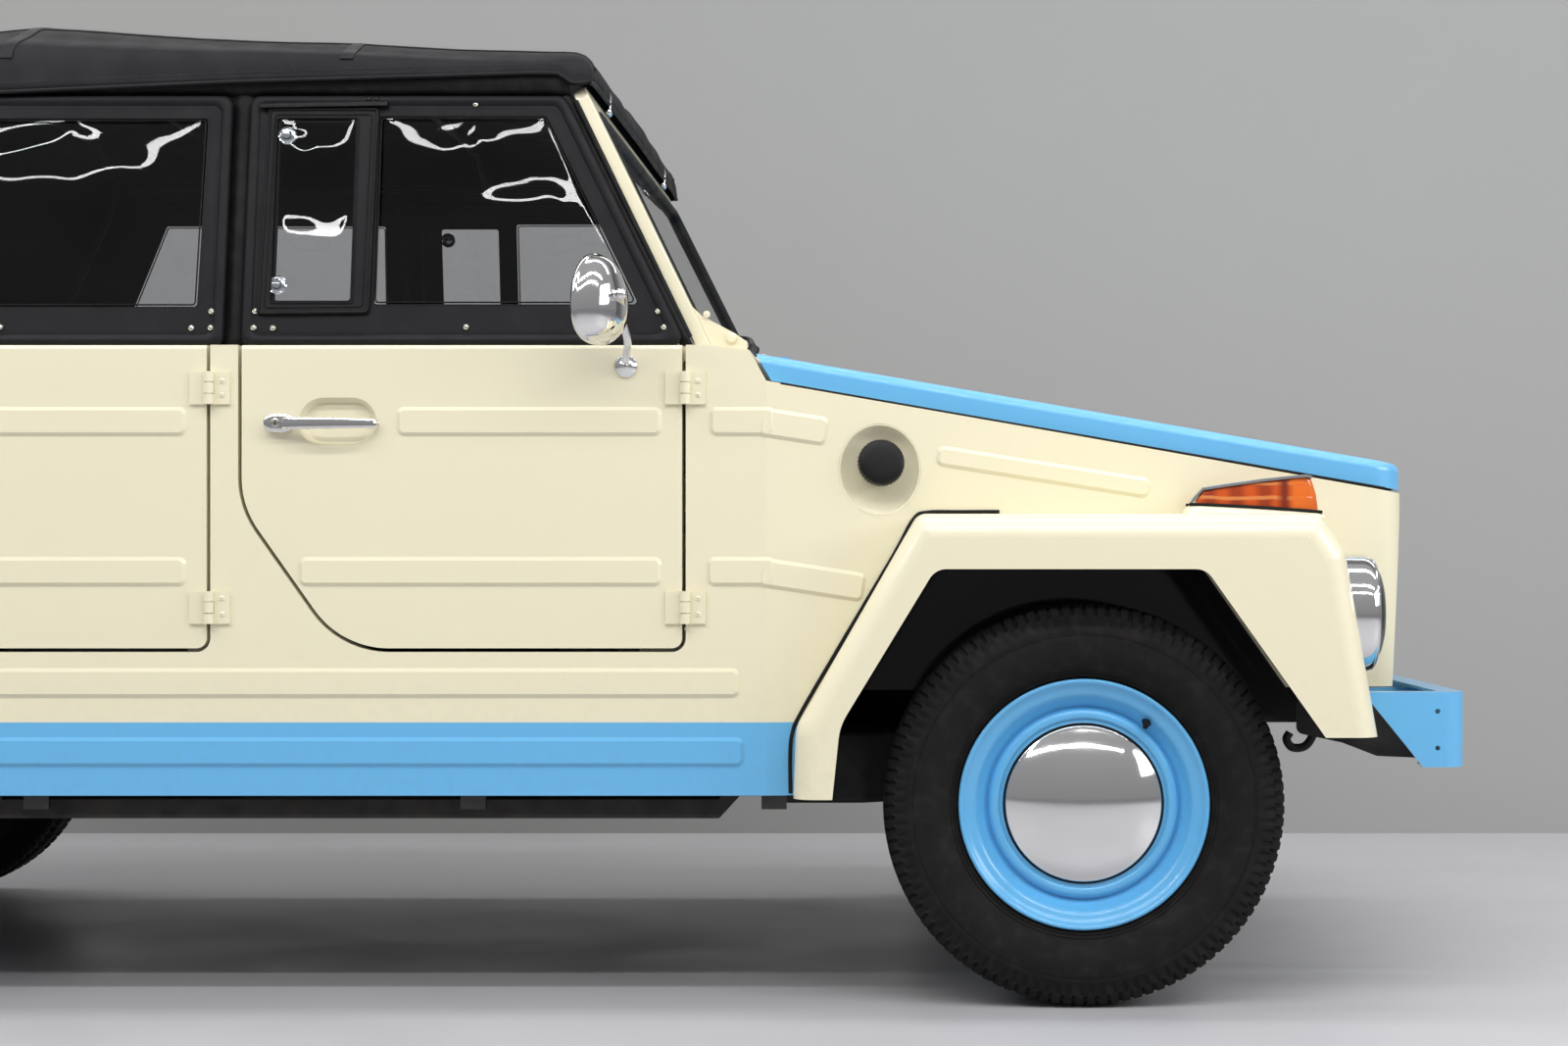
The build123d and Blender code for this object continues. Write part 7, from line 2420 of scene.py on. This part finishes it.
latch = Shape()
latch.lathe(
    [(0.02, 0.0), (0.0205, 0.003), (0.0175, 0.006), (0.015, 0.007), (0.0, 0.0072)],
    on_tail(0.0, 0.106, 0.0012), TAIL_OUT, 40,
)
latch.make("engine_lid_lock_plate", chrome, "engine_lid", "chrome", angle=40.0)
latch_grip = Shape()
latch_grip.add(
    [
        on_tail(a * 0.005, 0.106 + b * 0.015, out)
        for out, a_scale in ((0.006, 1.0), (0.02, 0.8)) for a in (-a_scale, a_scale) for b in (-1, 1)
    ],
    BOX_FACES,
)
soften(latch_grip.make("engine_lid_lock_grip", chrome, "engine_lid", "chrome"), 0.003, 3)
lid_ribs = Shape()
for side in (-1, 1):
    for k in range(7):
        middle_rise = 0.15 + 0.026 * k
        rows = []
        for i in range(13):
            a = lerp(0.205, 0.355, i / 12)
            end = math.sin(math.pi * i / 12) ** 0.35 if 0 < i < 12 else 0.0
            rows.append([
                on_tail(side * a, middle_rise + 0.0075, 0.0012),
                on_tail(side * a, middle_rise + 0.0045, 0.0012 + 0.0022 * end),
                on_tail(side * a, middle_rise - 0.0035, 0.0012 + 0.0058 * end),
                on_tail(side * a, middle_rise - 0.006, 0.0012 + 0.0056 * end),
                on_tail(side * a, middle_rise - 0.0068, 0.0012),
            ])
        lid_ribs.grid(rows)
lid_ribs.make("engine_lid_louvres", cream_paint, "engine_lid", "cream_paint", angle=40.0)

MUFFLER_X = -1.744
MUFFLER_Z = 0.3365
PIPE_WAY = (-0.116, 0, -0.034)
pipe_tips = Shape()
for y in (-0.15, 0.15):
    pipe_tips.lathe(
        [
            (0.0152, 0.0), (0.0168, 0.001), (0.0168, 0.05), (0.016, 0.0512), (0.014, 0.0508),
            (0.0136, 0.0485), (0.0, 0.0485),
        ],
        (-1.811, y, 0.3029), PIPE_WAY, 32,
    )
pipe_tips.make("tail_pipe_tips", dark_steel, "body", "dark_steel", angle=40.0)
# A flat black disc in each tip's closed end: painted shade for the sooty bore.
pipe_mouths = Shape()
for y in (-0.15, 0.15):
    pipe_mouths.lathe([(0.0132, 0.0), (0.0, 0.0)], (-1.85885, y, 0.28886), PIPE_WAY, 24)
pipe_mouths.make("tail_pipe_mouths", seal_rubber, "body", "black_plastic", angle=40.0)
can_bands = Shape()
for y in (-0.2, 0.2):
    ring_rows = []
    for k in range(49):
        t = math.tau * k / 48
        ring_rows.append([
            Vector((MUFFLER_X + r * math.cos(t), y + dy, MUFFLER_Z + r * math.sin(t)))
            for r, dy in ((0.0622, -0.011), (0.064, -0.01), (0.064, 0.01), (0.0622, 0.011))
        ])
    can_bands.grid(ring_rows)
can_bands.make("muffler_bands", dark_steel, "body", "dark_steel", angle=40.0)


# ---- Front underside: valance ends, tow hook and frame head ----
valance = Shape()
for side in (-1, 1):
    outline = rounded(
        [(1.64, 0.48), (1.64, 0.428), (1.715, 0.412), (1.772, 0.39), (1.852, 0.3865), (1.852, 0.48)],
        [0.004, 0.012, 0.02, 0.02, 0.006, 0.004], 4,
    )
    valance.slab(
        [(x, z) for x, z in outline], lambda a, b, y=side * 0.6: Vector((a, y, b)), (0, side, 0), 0.003,
    )
valance.make("front_valance_ends", under_black, "body", "underbody_black", angle=40.0)
tow = Shape()
tow.tube(smoothed([
    (1.706, -0.34, 0.434), (1.704, -0.34, 0.408), (1.69, -0.34, 0.388), (1.668, -0.34, 0.386),
    (1.658, -0.34, 0.4), (1.664, -0.34, 0.412),
], 8), 0.0075, 12)
tow.make("tow_hook", under_black, "body", "underbody_black", angle=60.0)
frame_head = Shape()
HEAD_LOW, HEAD_HIGH = 0.3, 0.424
plan = rounded(
    [(0.78, -0.47), (0.925, -0.47), (1.085, -0.37), (1.085, 0.37), (0.925, 0.47), (0.78, 0.47)],
    [0.02, 0.03, 0.03, 0.03, 0.03, 0.02], 4,
)
frame_head.slab(plan, lambda a, b: Vector((a, b, HEAD_LOW)), (0, 0, 1), HEAD_HIGH - HEAD_LOW)
soften(frame_head.make("frame_head", under_black, "body", "underbody_black", angle=30.0), 0.01, 3)


# ---- Rubber under the hood's edge ----
hood_seal = Shape()
for side in (-1, 1):
    line = []
    for k in range(48):
        x = lerp(0.8, 1.79, k / 47)
        line.append(Vector((x, side * (body_half(x) - 0.0022), 0.998 - (x - 0.785) * 0.16376 - 0.003)))
    hood_seal.tube(line, 0.0026, 8)
hood_seal.make("hood_seal", seal_rubber, "body", "black_plastic", angle=60.0)


# ---- Floor, backdrop, light and camera ----
GREY_WALL = srgb(163, 163, 162)
GREY_FLOOR = srgb(196, 195, 198)
SKY_LOW = srgb(196, 196, 198)
SKY_HIGH = srgb(236, 236, 238)
SKY_STRENGTH = 0.54


def flat_stage(name, corners, material):
    mesh = bpy.data.meshes.new(name)
    mesh.from_pydata(corners, [], [(0, 1, 2, 3)])
    thing = bpy.data.objects.new(name, mesh)
    bpy.context.scene.collection.objects.link(thing)
    mesh.materials.append(material)
    return thing


def studio_surface(name, colour, rough, marks):
    """A plain painted studio surface with faint trowel marks and scuffs."""
    finish = Finish(name, Specular_IOR_Level=0.35)
    tone = finish.noise(0.7, 5.0, finish.stretched((0.35, 1.0, 1.0)))
    finish.colour(finish.mix(tone, shaded(colour, 1 - marks), shaded(colour, 1 + marks)))
    finish.roughness(rough[0], rough[1], 3.0)
    return finish


floor_finish = studio_surface("studio_floor", GREY_FLOOR, (0.28, 0.42), 0.04)
floor_finish.bump(floor_finish.noise(30.0, 3.0), 0.03, 0.002)
FLOOR_HALF = 40
flat_stage(
    "studio_floor",
    [(FLOOR_HALF * x, FLOOR_HALF * y, 0) for x, y in ((-1, -1), (1, -1), (1, 1), (-1, 1))],
    floor_finish.material,
)
wall_finish = studio_surface("studio_wall", GREY_WALL, (0.7, 0.8), 0.01)
one_sided = wall_finish.add("ShaderNodeMixShader")
empty = wall_finish.add("ShaderNodeBsdfTransparent")
wall_facing = wall_finish.add("ShaderNodeNewGeometry")
wall_finish.link(wall_facing.outputs["Backfacing"], one_sided.inputs[0])
wall_finish.link(wall_finish.shader.outputs[0], one_sided.inputs[1])
wall_finish.link(empty.outputs[0], one_sided.inputs[2])
wall_finish.link(one_sided.outputs[0], wall_finish.output().inputs["Surface"])
WALL_Y = 1.95
WALL_HALF = 14
WALL_TOP = 7
wall = flat_stage(
    "studio_wall",
    [
        (-WALL_HALF, WALL_Y, 0), (WALL_HALF, WALL_Y, 0),
        (WALL_HALF, WALL_Y, WALL_TOP), (-WALL_HALF, WALL_Y, WALL_TOP),
    ],
    wall_finish.material,
)
wall.visible_shadow = False

world = bpy.data.worlds.new("studio")
bpy.context.scene.world = world
world.use_nodes = True
sky = world.node_tree
sky.nodes.clear()
sky_out = sky.nodes.new("ShaderNodeOutputWorld")
sky_shader = sky.nodes.new("ShaderNodeBackground")
sky_place = sky.nodes.new("ShaderNodeTexCoord")
sky_split = sky.nodes.new("ShaderNodeSeparateXYZ")
sky_ramp = sky.nodes.new("ShaderNodeValToRGB")
sky.links.new(sky_place.outputs["Generated"], sky_split.inputs[0])
sky.links.new(sky_split.outputs["Z"], sky_ramp.inputs[0])
stops = sky_ramp.color_ramp.elements
stops[0].position, stops[0].color = 0.0, SKY_LOW
stops[1].position, stops[1].color = 1.0, SKY_HIGH
sky_path = sky.nodes.new("ShaderNodeLightPath")
sky_mix = sky.nodes.new("ShaderNodeMix")
sky_mix.data_type = "RGBA"
sky_sockets = [s for s in sky_mix.inputs if s.enabled]
sky.links.new(sky_path.outputs["Is Camera Ray"], sky_sockets[0])
sky.links.new(sky_ramp.outputs[0], sky_sockets[1])
sky_sockets[2].default_value = SKY_LOW
sky.links.new([s for s in sky_mix.outputs if s.enabled][0], sky_shader.inputs["Color"])
sky_shader.inputs["Strength"].default_value = SKY_STRENGTH
sky.links.new(sky_shader.outputs[0], sky_out.inputs["Surface"])


def area_lamp(name, place, target, watts, length, width):
    """A soft rectangular lamp at place that faces target."""
    lamp = bpy.data.lights.new(name, "AREA")
    lamp.shape = "RECTANGLE"
    lamp.size = length
    lamp.size_y = width
    lamp.energy = watts
    thing = bpy.data.objects.new(name, lamp)
    thing.location = place
    thing.rotation_euler = (Vector(target) - Vector(place)).to_track_quat("-Z", "Y").to_euler()
    bpy.context.scene.collection.objects.link(thing)


STRIP_LENGTH = 9.0
CAR_MIDDLE = (0.0, 0.0, 0.7)
for lamp_name, lamp_y, lamp_z, lamp_watts, lamp_width in (
    ("lamp_over", -0.6, 3.6, 71, 0.32),
    ("lamp_near", -2.7, 3.6, 100, 0.16),
    ("lamp_front", -4.3, 3.7, 100, 0.12),
    ("lamp_far", 1.9, 3.6, 46, 0.32),
):
    area_lamp(lamp_name, (0.0, lamp_y, lamp_z), CAR_MIDDLE, lamp_watts, STRIP_LENGTH, lamp_width)
area_lamp("lamp_nose", (5.2, -2.2, 2.2), (1.6, 0.0, 0.6), 64, 2.5, 1.5)

CAMERA_PLACE = (1.071, -4.826, 0.698)
LENS_MM = 59.0
SENSOR_MM = 36.0
LENS_SHIFT = (-0.106, 0.029)
eye = bpy.data.cameras.new("camera")
eye.sensor_width = SENSOR_MM
eye.lens = LENS_MM
eye.shift_x, eye.shift_y = LENS_SHIFT
eye.clip_start = 0.05
eye.clip_end = 200.0
camera = bpy.data.objects.new("camera", eye)
camera.location = CAMERA_PLACE
camera.rotation_euler = (math.radians(90), 0, 0)
bpy.context.scene.collection.objects.link(camera)
bpy.context.scene.camera = camera
bpy.context.scene.view_settings.view_transform = "Standard"
